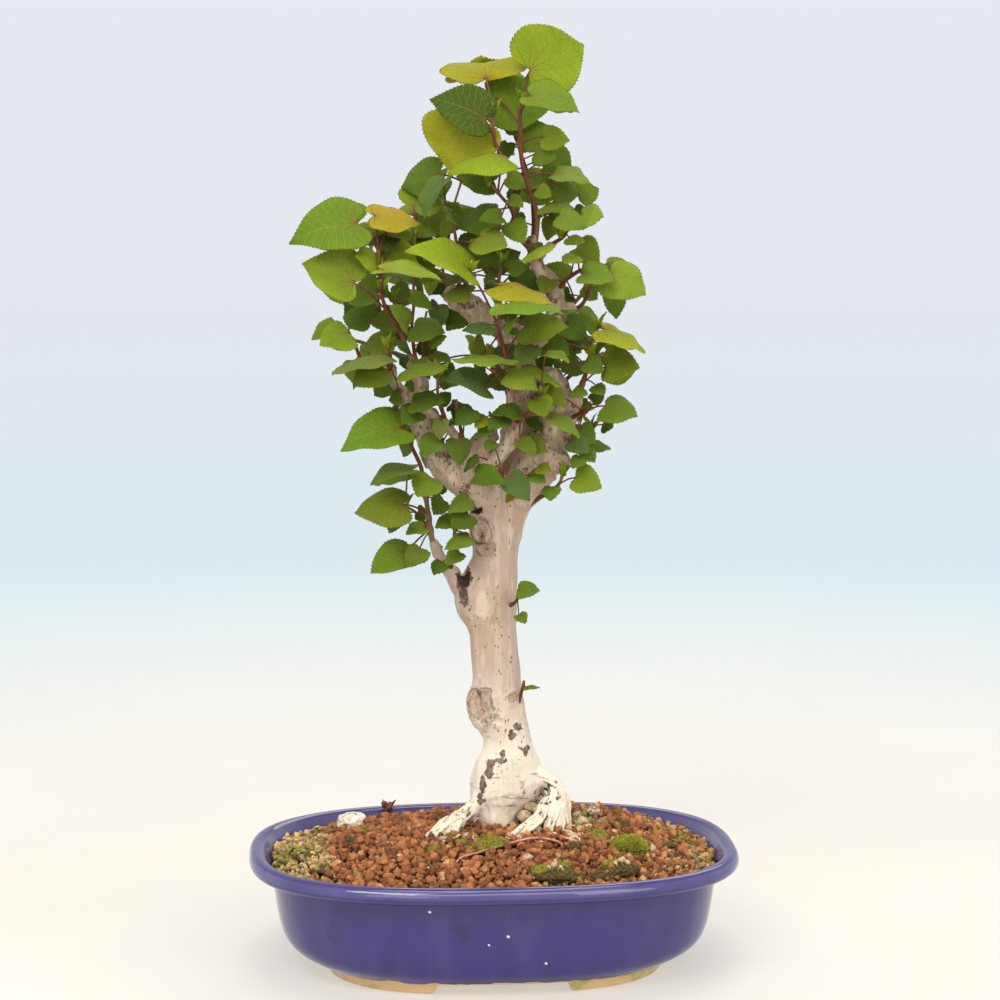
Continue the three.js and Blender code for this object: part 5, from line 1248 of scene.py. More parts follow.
def make_pot(settings):
    rows = flow(POT_SKIN, 2)
    rings = np.array([oval(POT_LENGTH / 2 - ends, POT_WIDTH / 2 - sides, z) for ends, sides, z in rows])
    points = rings.reshape(-1, 3)
    out = points[:, :2] / lengths(points[:, :2])[:, None]
    points[:, :2] += out * (settings.unevenness / MM * wander(points, 55.0, 2))[:, None]
    skin = Skin()
    skin.add(points, capped_faces(len(rings), POT_SIDES))
    pot = skin.piece("glazed_pot", [glaze_material(settings)])
    for x in (-DRAIN_X, DRAIN_X):
        cut = Skin()
        cut.tube([(x, 0, z) for z in (-20, FLOOR_TOP + 10)], [DRAIN_RADIUS] * 2, 48)
        drill = cut.piece("drill", [])
        hole = pot.modifiers.new("drain", "BOOLEAN")
        hole.operation, hole.object, hole.solver = "DIFFERENCE", drill, "EXACT"
        settled(pot)
        bpy.data.objects.remove(drill)
    feet = Skin()
    for mirror_x in (-1, 1):
        for mirror_y in (-1, 1):
            make_foot(feet, mirror_x, mirror_y)
    feet = feet.piece("feet", [])
    whole = bmesh.new()
    whole.from_mesh(pot.data)
    whole.from_mesh(feet.data)
    whole.to_mesh(pot.data)
    whole.free()
    bpy.data.objects.remove(feet)
    pot.data.polygons.foreach_set("use_smooth", [True] * len(pot.data.polygons))
    pot.data.set_sharp_from_angle(angle=math.radians(40))
    fitted(pot, "pot", "pot")


# The soil and what lies on it.

# Patches of moss: the seen x and z of each, its radius, its height and its look.
MOSS_PATCHES = [
    (34, 43, 12, 3, "dark"), (45, 41.5, 6, 2.2, "dark"), (70, 46, 11, 2.6, "dark"),
    (60, 43, 6, 2, "dark"), (-1, 62.6, 9, 2.4, "bright"), (-9, 60.5, 5, 1.6, "bright"),
    (-75.5, 66, 6, 1.6, "dark"), (-95, 72, 5, 1.4, "dark"), (45, 60.5, 6, 1.6, "dark"),
    (59, 66.5, 7, 1.8, "bright"), (70, 72, 7, 1.6, "dark"), (-103, 58, 8, 1.2, "dark"),
    (-92, 50, 7, 1, "dark"), (96, 60, 6, 1.2, "dark"), (27, 45, 5.5, 3.2, "bright"),
    (39, 48, 4, 2.8, "bright"), (66, 48.5, 4.5, 2.6, "bright"), (-17, 63.5, 3.5, 1.6, "bright"),
    (-33, 60, 3.5, 1.6, "bright"), (-70, 72, 4.5, 1.4, "bright"), (84, 76, 4, 1.4, "bright"),
    (-24, 67, 3.5, 1.6, "bright"),
]


DARK_GRAVEL = (50, 76)  # where the middle of the dark old gravel is seen
# Each layer of grains: its spacing and its shake, the least and the greatest grain, all as shares of the
# settings, and how high it lies in grains.
GRAIN_LAYERS = [(1, 0.36, 0.62, 1.3, 0.28), (2.1, 0.5, 0.78, 1.18, 0.8), (1.25, 0.5, 0.25, 0.48, 1.6)]
# The soil's skin under the wall of the pot: how far it stands in from the rim's edge, and its height.
SOIL_WALL = [(16.6, 52.5), (20.6, 30), (35, 15.2)]
SOIL_RINGS = 43
ODD_CLAY = (0.62, 0.38, 0.18)
DARK_PEBBLE, ODD_PEBBLE = (0.105, 0.085, 0.045), (0.64, 0.54, 0.38)


def on_soil(x, z):
    """The place on the soil's surface that is seen at x, z."""
    depths = np.arange(-86, 86, 0.5)
    places = seen(x, z, depths)
    over = places[:, 2] - soil_height(places[:, 0], places[:, 1])
    below = np.nonzero(over <= 0)[0]
    return places[below[0]] if len(below) else places[-1]


def wood_at_soil():
    """Points and radii along the trunk's foot and the roots, to keep the grains out of the wood."""
    points, radii = [], []
    for rows in ROOTS.values():
        line, thick = limb_path(rows)
        points.append(line)
        radii.append(thick)
    line, thick = limb_path([(*place, WIRE_RADIUS + 1.5) for place in WIRE], 6)
    points.append(line)
    radii.append(thick)
    heights = np.arange(58, 100, 3.0)
    points.append(seen(TRUNK_FOOT_X, heights, TRUNK_MIDDLE_Y))
    radii.append(np.full(len(heights), TRUNK_FOOT_RADIUS))
    return np.vstack(points), np.concatenate(radii)


def grain_shapes(count, subdivisions, seed):
    """A few lumpy grains of radius one, as points and faces."""
    shapes = []
    chance = np.random.RandomState(seed)
    for i in range(count):
        points, faces = ball(subdivisions)
        lumps = 1 + 0.42 * wander(points, 0.8, 2, shift=9.7 * i + seed)
        points = points * lumps[:, None] * chance.uniform(0.74, 1.16, 3)
        # A grain has a few flat broken faces.
        for _ in range(6):
            way = unit(chance.normal(size=3))
            over = np.maximum(0, points @ way - chance.uniform(0.52, 0.8))
            points = points - 0.9 * over[:, None] * way
        shapes.append((points, np.array(faces)))
    return shapes


def turned(chance):
    """A random rotation."""
    a, b, c, d = unit(chance.normal(size=4))
    return np.array([
        [a * a + b * b - c * c - d * d, 2 * (b * c - a * d), 2 * (b * d + a * c)],
        [2 * (b * c + a * d), a * a - b * b + c * c - d * d, 2 * (c * d - a * b)],
        [2 * (b * d - a * c), 2 * (c * d + a * b), a * a - b * b - c * c + d * d],
    ])


def scatter(spacing, jitter, chance):
    """Places on a shaken lattice over the soil, inside the pot's wall."""
    rows = []
    limit_x, limit_y = POT_LENGTH / 2 - RIM_WIDTH - 1.5, POT_WIDTH / 2 - RIM_WIDTH - 1.5
    for j, y in enumerate(np.arange(-limit_y, limit_y, spacing * 0.866)):
        for x in np.arange(-limit_x + (j % 2) * spacing / 2, limit_x, spacing):
            at = np.array([x, y]) + chance.uniform(-jitter, jitter, 2) * spacing
            if (abs(at[0]) / limit_x) ** POT_SQUARENESS + (abs(at[1]) / limit_y) ** POT_SQUARENESS < 1:
                rows.append(at)
    return np.array(rows)


def clear_of_wood(place, room, wood):
    points, radii = wood
    return bool(np.all(lengths(points - place) > radii + room))


def beside(x, y, thing, share):
    """Whether a place is clear of the stone or the cushion."""
    middle_x, middle_y, halves = thing
    return math.hypot((x - middle_x) / halves[0], (y - middle_y) / halves[1]) >= share


def lay_grains(skins, places, sizes, lift, shapes, wood, chance):
    dark_x, dark_y, _ = on_soil(*DARK_GRAVEL)
    for (x, y), grain in zip(places, sizes):
        z = float(soil_height(x, y)) - 0.9 + lift * grain
        if not clear_of_wood(np.array([x, y, z]), 0.15 * grain, wood):
            continue
        if not (beside(x, y, STONE, 0.9) and beside(x, y, MOSS_CUSHION, 0.92)):
            continue
        # Grey gravel lies at both ends, thickest at the left one.
        at_end = noise.noise(Vector((x / 22, y / 22, 3.1))) * 16
        left = smoothstep(-84, -104, x + at_end)
        right = 0.6 * smoothstep(76, 112, x + at_end)
        # Dark old gravel lies behind the right root.
        dark = math.exp(-(((x - dark_x) / 15) ** 2) - ((y - dark_y) / 20) ** 2)
        kind = "gravel" if chance.uniform() < max(0.02, float(left), float(right), 0.85 * dark) else "clay"
        points, faces = shapes[chance.randint(len(shapes))]
        grain *= 0.78 if kind == "gravel" else 1.0
        points = (points * grain / 2) @ turned(chance).T + [x, y, z]
        damp = float(np.clip(0.22 + 0.9 * noise.noise(Vector((x / 30, y / 30, 8.7))), 0, 1))
        tone = chance.beta(1.25, 1.35) * (1 - 0.85 * dark)
        film = damp * (1.3 if kind == "gravel" else 0.55)
        skins[kind].append((points, faces, tone, chance.uniform(), film))


def grain_piece(name, grains, look):
    """Many grains as one piece, each with its own tone."""
    counts = [len(points) for points, *_ in grains]
    starts = np.concatenate([[0], np.cumsum(counts)[:-1]])
    faces = np.vstack([faces + start for (_, faces, *_), start in zip(grains, starts)])
    mesh = bpy.data.meshes.new(name)
    mesh.from_pydata((np.vstack([points for points, *_ in grains]) * MM).tolist(), [], faces.tolist())
    for key, column in (("tone", 2), ("odd", 3), ("film", 4)):
        set_value(mesh, key, np.repeat([grain[column] for grain in grains], counts))
    mesh.materials.append(look)
    piece = bpy.data.objects.new(name, mesh)
    bpy.context.scene.collection.objects.link(piece)
    return fitted(piece, "soil")


def make_soil(settings):
    """The bed of fine soil and the grains that cover it."""
    top = oval(POT_LENGTH / 2 - RIM_WIDTH - 0.5, POT_WIDTH / 2 - RIM_WIDTH - 0.5, 0.0)
    rings = []
    for share in np.linspace(0, 1, SOIL_RINGS + 1)[1:]:
        ring = top * share
        ring[:, 2] = soil_height(ring[:, 0], ring[:, 1]) - 1.6
        rings.append(ring)
    points = np.array(rings).reshape(-1, 3)
    points[:, 2] += 0.7 * wander(points, 5.0, 3)
    wall = [oval(POT_LENGTH / 2 - inset, POT_WIDTH / 2 - inset, z) for inset, z in SOIL_WALL]
    skin = Skin()
    faces = capped_faces(len(rings) + len(wall), POT_SIDES)
    skin.add(np.vstack([points, *wall]), [face[::-1] for face in faces])
    fitted(skin.piece("soil_bed", [soil_material(settings)]), "soil", "soil")

    chance = np.random.RandomState(21)
    wood = wood_at_soil()
    grain, spacing = settings.grain / MM, settings.spacing / MM
    whole, fine = ({"clay": [], "gravel": []} for _ in range(2))
    large, small = grain_shapes(12, 2, 4), grain_shapes(8, 1, 9)
    layers = zip(GRAIN_LAYERS, (whole, whole, fine), (large, large, small))
    for (apart, shake, least, most, lift), kinds, shapes in layers:
        places = scatter(spacing * apart, shake, chance)
        sizes = grain * chance.uniform(least, most, len(places))
        lay_grains(kinds, places, sizes, lift, shapes, wood, chance)
    algae = settings.algae
    clay = grain_material("Red baked clay grains", settings.clay_dark, settings.clay_light, ODD_CLAY, algae)
    gravel = grain_material("Pale gravel", DARK_PEBBLE, settings.gravel, ODD_PEBBLE, algae)
    for half, in_front in (("front", True), ("back", False)):
        grains = [one for one in whole["clay"] if (one[0][:, 1].mean() < 0) == in_front]
        grain_piece("clay_grains_" + half, grains, clay)
    grain_piece("clay_crumbs", fine["clay"], clay)
    grain_piece("gravel_grains", whole["gravel"] + fine["gravel"], gravel)


def lump(x, y, halves, subdivisions, roughness, seed, sink=0.35):
    """A rounded lump that sits a little into the soil, as points and faces."""
    points, faces = ball(subdivisions)
    points *= (1 + roughness * wander(points, 0.8, 4, shift=seed))[:, None]
    return points * halves + [x, y, float(soil_height(x, y)) + halves[2] * sink], faces


# Loose stones: the seen x and z of each and its half sizes.
CHIPS = [
    (19, 54.3, (3.2, 2.4, 2.4)), (24, 70, (3.2, 2.6, 2.6)), (44, 66, (2.8, 2.6, 2.4)),
    (48, 70, (2.6, 2.4, 2.2)), (50, 74, (3.6, 3.2, 3)), (56, 79, (4, 3.2, 3.2)),
    (-8, 54, (2.6, 2.2, 1.8)), (-52, 57, (2.2, 2, 1.6)), (34, 47.5, (2.1, 1.9, 4.4)),
    (38, 44.5, (1.9, 1.7, 4)), (31, 44.5, (1.7, 1.6, 4.2)), (72, 49, (2.3, 1.9, 4.2)),
    (75, 47, (2, 1.8, 4)), (68, 46.5, (1.7, 1.6, 4)), (-15, 68, (2.2, 2, 1.8)),
    (-28, 66, (2.6, 2.2, 2.2)), (47, 78, (2.8, 2.6, 2.4)), (53, 71, (2.6, 2.4, 2.2)),
    (60, 74, (2.4, 2.2, 2)),
]
# Stones wedged between the trunk and the root beside it: seen x, seen z, depth and half sizes.
WEDGED = [
    (17.5, 79.5, -2, (4.4, 3.6, 3.6)), (25, 83, -1, (3.6, 3.2, 3.2)), (20.5, 85, 2, (3.6, 3.4, 3)),
    (24, 74.5, -4, (3.6, 3.2, 3)), (18, 71.5, -7, (3, 3, 2.6)), (30, 76, -4, (3, 3, 3)),
]


# Each kind of stone: its name, its pale tone and its dull tone.
WHITE_STONE = ("Chalky white stone", (0.88, 0.84, 0.77), (0.64, 0.54, 0.42))
BUFF_STONE = ("Buff stone", (0.68, 0.54, 0.36), (0.4, 0.27, 0.16))
ROTTEN_BARK = ("Rotten bark", (0.26, 0.12, 0.06), (0.09, 0.045, 0.025))
SCRAP = (-58.5, 84)  # where the scrap of bark is seen
SCRAP_RADII = np.array([1.2, 1.9, 2.2, 2, 2.1, 1.6, 1.2, 0.8, 0.3])


def make_stones():
    x, y, halves = STONE
    skin = Skin()
    skin.add(*lump(x, y, np.array(halves) * 1.12, 5, 0.22, 3.3, 0.62))
    fitted(skin.piece("white_stone_rough", [stone_material(*WHITE_STONE)]), "stone", "white_stone")
    chips = Skin()
    for seed, (x, z, half) in enumerate(CHIPS):
        at = on_soil(x, z)
        chips.add(*lump(at[0], at[1], np.array(half), 3 if half[0] > 2.5 else 2, 0.28, 5.0 + seed, 0.6))
    for seed, (x, z, y, half) in enumerate(WEDGED):
        points, faces = lump(0, 0, np.array(half), 3, 0.25, 31.0 + seed)
        chips.add(points - points.mean(0) + seen(x, z, y), faces)
    fitted(chips.piece("loose_stones", [stone_material(*BUFF_STONE)]), "stone")
    scrap = Skin()
    at = on_soil(*SCRAP)
    for turn in (0.4, 2.3, 3.9):
        way = np.array([math.cos(turn), 0.4 * math.sin(turn), 0.9])
        line = at + [0, 0, 2.0] + np.outer(np.linspace(-1.5, 5.0, 9), unit(way))
        line += 0.5 * np.random.RandomState(int(10 * turn)).normal(size=line.shape)
        scrap.tube(line, SCRAP_RADII, 8)
    fitted(scrap.piece("bark_scrap", [stone_material(*ROTTEN_BARK)]), "bark")


TUFT_FACES = [[0, 1, 2, 3], [3, 2, 4]]
TUFT_HEIGHTS = np.array([0.1, 0.1, 0.6, 0.6, 1.0])
DULL_MOSS_BASE = (0.055, 0.036, 0.017)


def moss_tufts(skin, points, normals, length, chance):
    """Three pointed leaves at each place, spread from its normal."""
    for place, normal in zip(points, normals):
        long = length * chance.uniform(0.7, 1.35)
        for _ in range(3):
            way = unit(normal + chance.normal(size=3) * 0.42)
            side = unit(np.cross(way, chance.normal(size=3))) * 0.17 * length
            tip = place + way * long
            bend = place + way * long * 0.5 + normal * 0.1 * long
            points = [place - side, place + side, bend + side * 0.8, bend - side * 0.8, tip]
            skin.add(points, TUFT_FACES, tuft=TUFT_HEIGHTS)


def make_moss(settings):
    chance = np.random.RandomState(8)
    tuft = settings.tuft / MM
    bright = moss_material("Bright moss", settings.tip, settings.base)
    dull = moss_material("Dull moss", settings.dark, DULL_MOSS_BASE)
    cushion = Skin()
    x, y, halves = MOSS_CUSHION
    points, faces = lump(x, y, np.array(halves, float) * 0.93, 4, 0.16, 6.1)
    cushion.add(points, faces, tuft=0.15)
    middle = points.mean(0)
    normals = (points - middle) / (np.array(halves) ** 2)
    normals /= lengths(normals)[:, None]
    upper = np.nonzero(points[:, 2] > middle[2] - 1.5)[0]
    picked = chance.choice(upper, 2600)
    shaken = points[picked] + chance.uniform(-0.35, 0.35, (len(picked), 3))
    moss_tufts(cushion, shaken, normals[picked], tuft, chance)
    fitted(cushion.piece("moss_cushion_tufted", [bright]), "moss", "moss_cushion")
    patches = {"bright": Skin(), "dark": Skin()}
    for seed, (x, z, radius, height, kind) in enumerate(MOSS_PATCHES):
        at = on_soil(x, z)
        half = np.array([radius, radius * 0.8, height])
        points, faces = lump(at[0], at[1], half, 3, 0.42, 11.0 + seed, 0.45)
        points[:, 2] += 0.6
        patches[kind].add(points, faces, tuft=0.12)
        up = points[:, 2] > points[:, 2].mean()
        picked = chance.choice(np.nonzero(up)[0], int(radius * radius * 4))
        shaken = points[picked] + chance.uniform(-0.5, 0.5, (len(picked), 3)) * [1, 1, 0.3]
        moss_tufts(patches[kind], shaken, np.tile([0.0, 0, 1], (len(picked), 1)), tuft * 0.8, chance)
    fitted(patches["bright"].piece("moss_patches_bright", [bright]), "moss")
    fitted(patches["dark"].piece("moss_patches_dull", [dull]), "moss")


def make_wire():
    line = seen(*flow(WIRE, 8).T)
    line[:, 2] += 1.6 * np.sin(np.linspace(0, np.pi, len(line)))
    skin = Skin()
    skin.tube(line, np.full(len(line), 0.85 * WIRE_RADIUS), 12)
    fitted(skin.piece("copper_tie_wire", [wire_material()]), "wire", "tie_wire")


def make_netting():
    look = netting_material()
    for name in ("netting_left", "netting_right"):
        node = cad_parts[name]
        node.data.materials.clear()
        node.data.materials.append(look)


# Wood.

# Marks on the bark where they are seen: x, z, half width, half height, raised rim, depth, brown, dark (dark
# old wood, and painted shade in the pits of gaps and creases) and, for a healed knob, 1 where its rings have
# a dark heart and 2 where they have none.
MARKS = [
    (-6.3, 143, 6.6, 10.4, 1.9, 0.9, 0.42, 0, 2), (-8.4, 148.5, 1.5, 4.6, 0.4, 0.9, 0.5, 0.75, 0),
    (-4.5, 140.5, 2.8, 4.2, 0.5, 0.4, 0.45, 0.3, 0), (-8, 136, 3, 2.4, 0.4, 0.4, 0.5, 0.2, 0),
    (1.2, 135, 3, 3.4, 0.9, 0.8, 0.3, 0.5, 0), (-3.6, 229.5, 5.4, 4.6, 1.2, 1.2, 0.05, 0.1, 1),
    (-6.4, 240, 5, 7.6, 1.4, 0.8, 0.2, 0, 2), (-6, 237.5, 2.4, 5.2, 0, 1.4, 0.9, 0.75, 0),
    (-9, 250.5, 4.4, 2.2, 0.4, 2.6, 0.6, 1, 0), (-16, 214, 4.2, 8.6, 0.7, 1.8, 1, 0.95, 0),
    (-15.5, 203, 2.6, 5, 0.6, 0.8, 0.9, 0.4, 0), (-15, 262.5, 4.8, 4.6, 0.3, 0.3, 0.55, 0.2, 0),
    (25, 296, 4.2, 5.2, 1.3, 1.2, 0.45, 0.3, 0), (27.6, 91, 1.7, 4.6, 0, 2.6, 0.2, 1, 0),
    (23.4, 86.4, 3.4, 1.7, 0, 2.6, 0.2, 1, 0), (-12, 76, 2.8, 3, 0.2, 2.4, 0, 0.9, 0),
    (36, 275.5, 6.2, 7.4, 1.7, 0.7, 0.1, 0, 1), (13.8, 130.5, 2.8, 2.4, 0.2, -0.2, 0.8, 0.2, 0),
    (10.4, 126, 1.5, 3.8, 0.1, -0.2, 0.85, 0.1, 0), (18.2, 116.5, 1.6, 3.2, 0.1, -0.2, 0.9, 0.3, 0),
    (15.6, 118, 2.6, 1.1, 0.1, -0.2, 0.8, 0.1, 0), (-6.8, 90, 1.8, 3.6, 0, -0.4, 1, 0.3, 0),
    (-6, 98, 1.8, 5, 0, -0.4, 1, 0.1, 0), (-2.4, 105, 2.2, 4, 0, -0.4, 1, 0.1, 0),
    (3.5, 111, 4.8, 1.5, 0, -0.3, 0.9, 0, 0), (-1.2, 110.5, 2.6, 2, 0, -0.3, 0.95, 0.1, 0),
    (5.5, 114.5, 1.6, 2.6, 0, -0.3, 0.8, 0, 0), (33, 97, 3.2, 2.4, 0.2, 0.2, 0.8, 0.1, 0),
    (36.5, 92, 2.2, 3.2, 0.3, 0.9, 0.5, 0.7, 0), (29.5, 89, 2.6, 2.2, 0.6, 0.9, 0.4, 0.3, 0),
    (16.8, 95, 0.9, 5.6, 0.6, 1.6, 0.4, 0.6, 0), (-12.6, 197, 0.7, 5, 0.2, 0.6, 0.6, 0.6, 0),
    (-3.4, 205, 0.6, 4, 0.1, 0.5, 0.5, 0.6, 0), (2, 190, 0.5, 4.4, 0.1, 0.4, 0.5, 0.5, 0),
    (10.5, 147, 3, 3, 0.7, 0.5, 0.3, 0.2, 2), (-41, 330, 3, 2.4, 0.8, 0.8, 0.4, 0.2, 1),
    (0, 293, 3.6, 2.8, 0.9, 0.9, 0.3, 0.3, 1), (12, 312, 2.4, 2.4, 0.7, 0.8, 0.4, 0.2, 1),
]


def make_wood(settings):
    """The trunk, its roots and its arms, fused into one skin and then weathered."""
    rough = Skin()
    turns = 2 * np.pi * np.arange(TRUNK_SIDES) / TRUNK_SIDES
    rings = []
    for z, left, right in flow(TRUNK_OUTLINE, 4):
        half = (right - left) / 2
        depth = min(max(half, 14.5), 17) * TRUNK_DEPTH_SHARE
        x, y = (left + right) / 2 + half * np.cos(turns), TRUNK_MIDDLE_Y + depth * np.sin(turns)
        rings.append(seen(x, z, y))
    rough.add(np.vstack(rings), capped_faces(len(rings), TRUNK_SIDES))
    for rows in [*ARMS.values(), *ROOTS.values()]:
        rough.tube(*limb_path(rows), 18)
    for x, z, y, radius in BURLS:
        points, faces = ball(3, radius)
        rough.add(points + seen(x, z, y), faces)
    wood = rough.piece("trunk_roots_and_arms_weathered", [])
    fuse = wood.modifiers.new("fuse", "REMESH")
    fuse.mode, fuse.voxel_size = "VOXEL", settings.voxel * 1
    soften = wood.modifiers.new("soften", "SMOOTH")
    soften.factor, soften.iterations = 0.5, 4
    settled(wood)
    mesh = wood.data
    points = points_of(mesh) / MM
    normals = np.empty(len(points) * 3, np.float32)
    mesh.vertex_normals.foreach_get("vector", normals)
    normals = normals.reshape(-1, 3).astype(float)
    to_eye = EYE - points
    to_eye /= lengths(to_eye)[:, None]
    front = smoothstep(0.05, 0.3, (normals * to_eye).sum(1))
    seen_x, seen_z = seen_place(points)
    height = points[:, 2]
    arm = smoothstep(248, 285, height)
    root = smoothstep(112, 92, height)
    lift = wander(points * [1, 1, 0.42], 10.0, 3) * (0.65 + 1.3 * arm + 0.35 * root)
    lift += wander(points * [1, 1, 0.5], 3.4, 2, 5.0) * (0.26 + 0.85 * arm + 0.25 * root)
    scar, hollow, knob = np.zeros(len(points)), np.zeros(len(points)), np.full(len(points), NO_KNOB)
    wobble = 1 + 0.16 * wander(points, 4.0, 2, 2.0)
    shake_x, shake_z = 1.5 * wander(points, 2.6, 3, 7.0), 1.7 * wander(points, 2.6, 3, 17.0)
    for x, z, half_width, half_height, rim, depth, brown, dark, rings in MARKS:
        shake = 0.3 if rings else 1.0
        off_x, off_z = seen_x - x + shake * shake_x, seen_z - z + shake * shake_z
        far = np.hypot(off_x / half_width, off_z / half_height) * wobble
        raised = np.exp(-(((far - 1.0) / 0.3) ** 2)) * front
        pit = smoothstep(1.0, 0.45, far) * front
        lift += raised * rim - pit * depth
        scar = np.maximum(scar, smoothstep(1.45, 0.6, far) * front * brown)
        hollow = np.maximum(hollow, pit * dark)
        if rings:
            knob = np.minimum(knob, np.maximum(far, 0.36 if rings == 2 else 0) + NO_KNOB * (1 - front))
    # The foot of the trunk stands a little back below a crack that runs round it; the dark line drawn along
    # the crack is painted shade under its ledge.
    crack = 90 + 1.3 * np.sin(seen_x / 5.5) + 0.8 * shake_z
    column = front * smoothstep(-9, -7, seen_x) * smoothstep(20, 17, seen_x)
    lift -= 0.9 * column * smoothstep(crack + 0.4, crack - 0.4, seen_z)
    broken = smoothstep(-0.3, 0.3, shake_x)
    scar = np.maximum(scar, 0.5 * column * smoothstep(0.8, 0.3, np.abs(seen_z - crack)) * broken)
    # Old dark bark stays in the crotches and on parts of the arms.
    patches = smoothstep(0.1, 0.5, wander(points, 12.0, 3, 11.0))
    scar = np.maximum(scar, patches * arm * 0.6)
    old_root = root * (1 - smoothstep(-11, -8, seen_x) * smoothstep(24, 20, seen_x))
    scar = np.maximum(scar, 0.62 * old_root * smoothstep(0.12, 0.36, wander(points, 4.5, 3, 23.0)))
    points += normals * lift[:, None]
    mesh.vertices.foreach_set("co", (points * MM).ravel())
    for name, value in (("scar", scar), ("hollow", hollow), ("ring", knob)):
        set_value(mesh, name, value)
    mesh.materials.append(bark_material(settings))
    mesh.update()
    fitted(wood, "bark", "trunk_roots_and_arms")


STRAND_SCARS = [0.1, 0.3, 0.42, 0.52, 0.6]
NO_KNOB = 3.0  # the ring value of wood that is far from every healed knob


def make_root_strands():
    """Strands of old root that lie over the thick roots in bundles, with dark bark between them."""
    skin = Skin()
    chance = np.random.RandomState(44)
    for name, rows in ROOTS.items():
        line, radii = limb_path(rows, 6)
        way = unit(line[-1] - line[0])
        across = unit(np.cross(way, [0.0, 0, 1]))
        third = np.cross(way, across)
        share = np.linspace(0, 1, len(line))[:, None]
        for i in range(5 if name in ("web", "back", "back_left") else 9):
            turn = 2 * np.pi * i / 9 + chance.uniform(-0.3, 0.3) + chance.uniform(-1.6, 1.6) * share
            out = radii[:, None] * (0.92 + chance.uniform(0.0, 0.5) * share**3)
            wave = 0.5 * np.sin(chance.uniform(9, 17) * share + chance.uniform(0, 6))
            strand = line + (across * np.cos(turn) + third * np.sin(turn)) * (out + wave)
            strand += 0.18 * chance.normal(size=strand.shape)
            strand[:, 2] -= 5.5 * share[:, 0] ** 5
            first, last = chance.randint(2, len(line) // 2), len(line) - chance.randint(0, len(line) // 5 + 1)
            thick = chance.uniform(0.7, 1.25) * np.sin(np.linspace(0.5, 2.75, last - first)) ** 0.6
            skin.tube(strand[first:last], thick, 7, scar=float(chance.choice(STRAND_SCARS)), ring=NO_KNOB)
    fitted(skin.piece("root_strands", [bpy.data.materials[BARK]]), "bark")


# Thin roots that wander over the soil: where each starts, its heading in degrees, its length and its radius.
ROOTLETS = [
    (-22, -14, 205, 22, 0.55), (-18, -20, 230, 18, 0.5), (-12, -22, 262, 18, 0.45), (-26, -14, 172, 14, 0.5),
    (36, -12, 330, 22, 0.6), (30, -18, 300, 20, 0.55), (22, -24, 282, 16, 0.45), (40, -4, 10, 20, 0.55),
    (38, 4, 35, 20, 0.5), (14, -26, 250, 14, 0.4), (-10, 26, 120, 20, 0.5), (10, 42, 80, 18, 0.5),
    (-34, -60, 60, 9, 0.4), (-38, -62, 110, 8, 0.35), (4, -66, 80, 7, 0.4), (-62, -34, 95, 8, 0.35),
]


ROOTLET_STEPS = 9


def make_rootlets():
    skin = Skin()
    chance = np.random.RandomState(15)
    for x, y, heading, length, radius in ROOTLETS:
        turn = math.radians(heading)
        at = np.array([x, y], float)
        line = []
        for i in range(ROOTLET_STEPS + 1):
            rise = 1.1 + radius + chance.uniform(0, 1.4) - (2.6 if i in (0, ROOTLET_STEPS) else 0)
            line.append([at[0], at[1], float(soil_height(*at)) + rise])
            turn += chance.normal() * 0.34
            at = at + np.array([math.cos(turn), math.sin(turn)]) * length / ROOTLET_STEPS
        path = flow(line, 3)
        radii = radius * np.linspace(1, 0.45, len(path)) * (1 + 0.12 * chance.normal(size=len(path)))
        skin.tube(path, radii, 7, scar=0.3, ring=NO_KNOB)
    fitted(skin.piece("thin_roots", [bpy.data.materials[BARK]]), "bark")


# Foliage: how the blades are laid out.


def gap_to_rods(point, starts, ends):
    way = ends - starts
    share = np.clip(((point - starts) * way).sum(-1) / (way * way).sum(-1), 0, 1)
    return lengths(point - (starts + way * share[..., None]))


def nearest(points, target):
    """The distance to a row of points and the nearest place on it."""
    points = np.asarray(points, float)
    starts, way = points[:-1], points[1:] - points[:-1]
    share = np.clip(((target - starts) * way).sum(1) / (way * way).sum(1), 0, 1)
    places = starts + way * share[:, None]
    gaps = lengths(target - places)
    return gaps[gaps.argmin()], places[gaps.argmin()]


class Blade:
    """A blade's own axes: along from joint to tip, across, and out of its upper face."""

    def __init__(self, joint, tip, opened, width, bend, fold):
        self.joint, self.tip, self.width, self.bend, self.fold = joint, tip, width, bend, fold
        self.length = size(tip - joint)
        self.along = unit(tip - joint)
        to_eye = unit(EYE - joint)
        facing = unit(to_eye - self.along * np.dot(to_eye, self.along))
        side = np.cross(self.along, facing)
        if side[2] < 0:
            side = -side
        turn = math.radians(opened)
        self.up = facing * math.sin(turn) + side * math.cos(turn)
        self.across = np.cross(self.along, self.up)
        self.middle = self.at(0, 0.38)

    def at(self, u, v, rise=0.0):
        u, v = np.asarray(u, float), np.asarray(v, float)
        rise = rise + self.fold * self.width * np.abs(u) + self.bend * self.length * v * (1 - v)
        return (
            self.joint
            + self.along * (v * self.length)[..., None]
            + self.across * (u * self.width)[..., None]
            + self.up * rise[..., None]
        )

    def outline(self):
        half = next(rows for least, rows in LEAF_HALVES if self.length >= least)
        notch = STALK_RADIUS / self.width
        rows = [(-notch, 0.02), (notch, 0.02), *half, (0, 1), *[(-u, v) for u, v in reversed(half)]]
        u, v = np.array(rows).T
        return self.at(u, v)


def inside(points, face):
    """Whether the points lie over a blade, taken as an ellipse."""
    middle, across, along, _, width, length = face
    way = points - middle
    u = (way * across).sum(-1) / (0.56 * width)
    v = (way * along).sum(-1) / (0.64 * length)
    return u * u + v * v < 1


BLADE_KEYS = ("middle", "across", "along", "up", "width", "length")


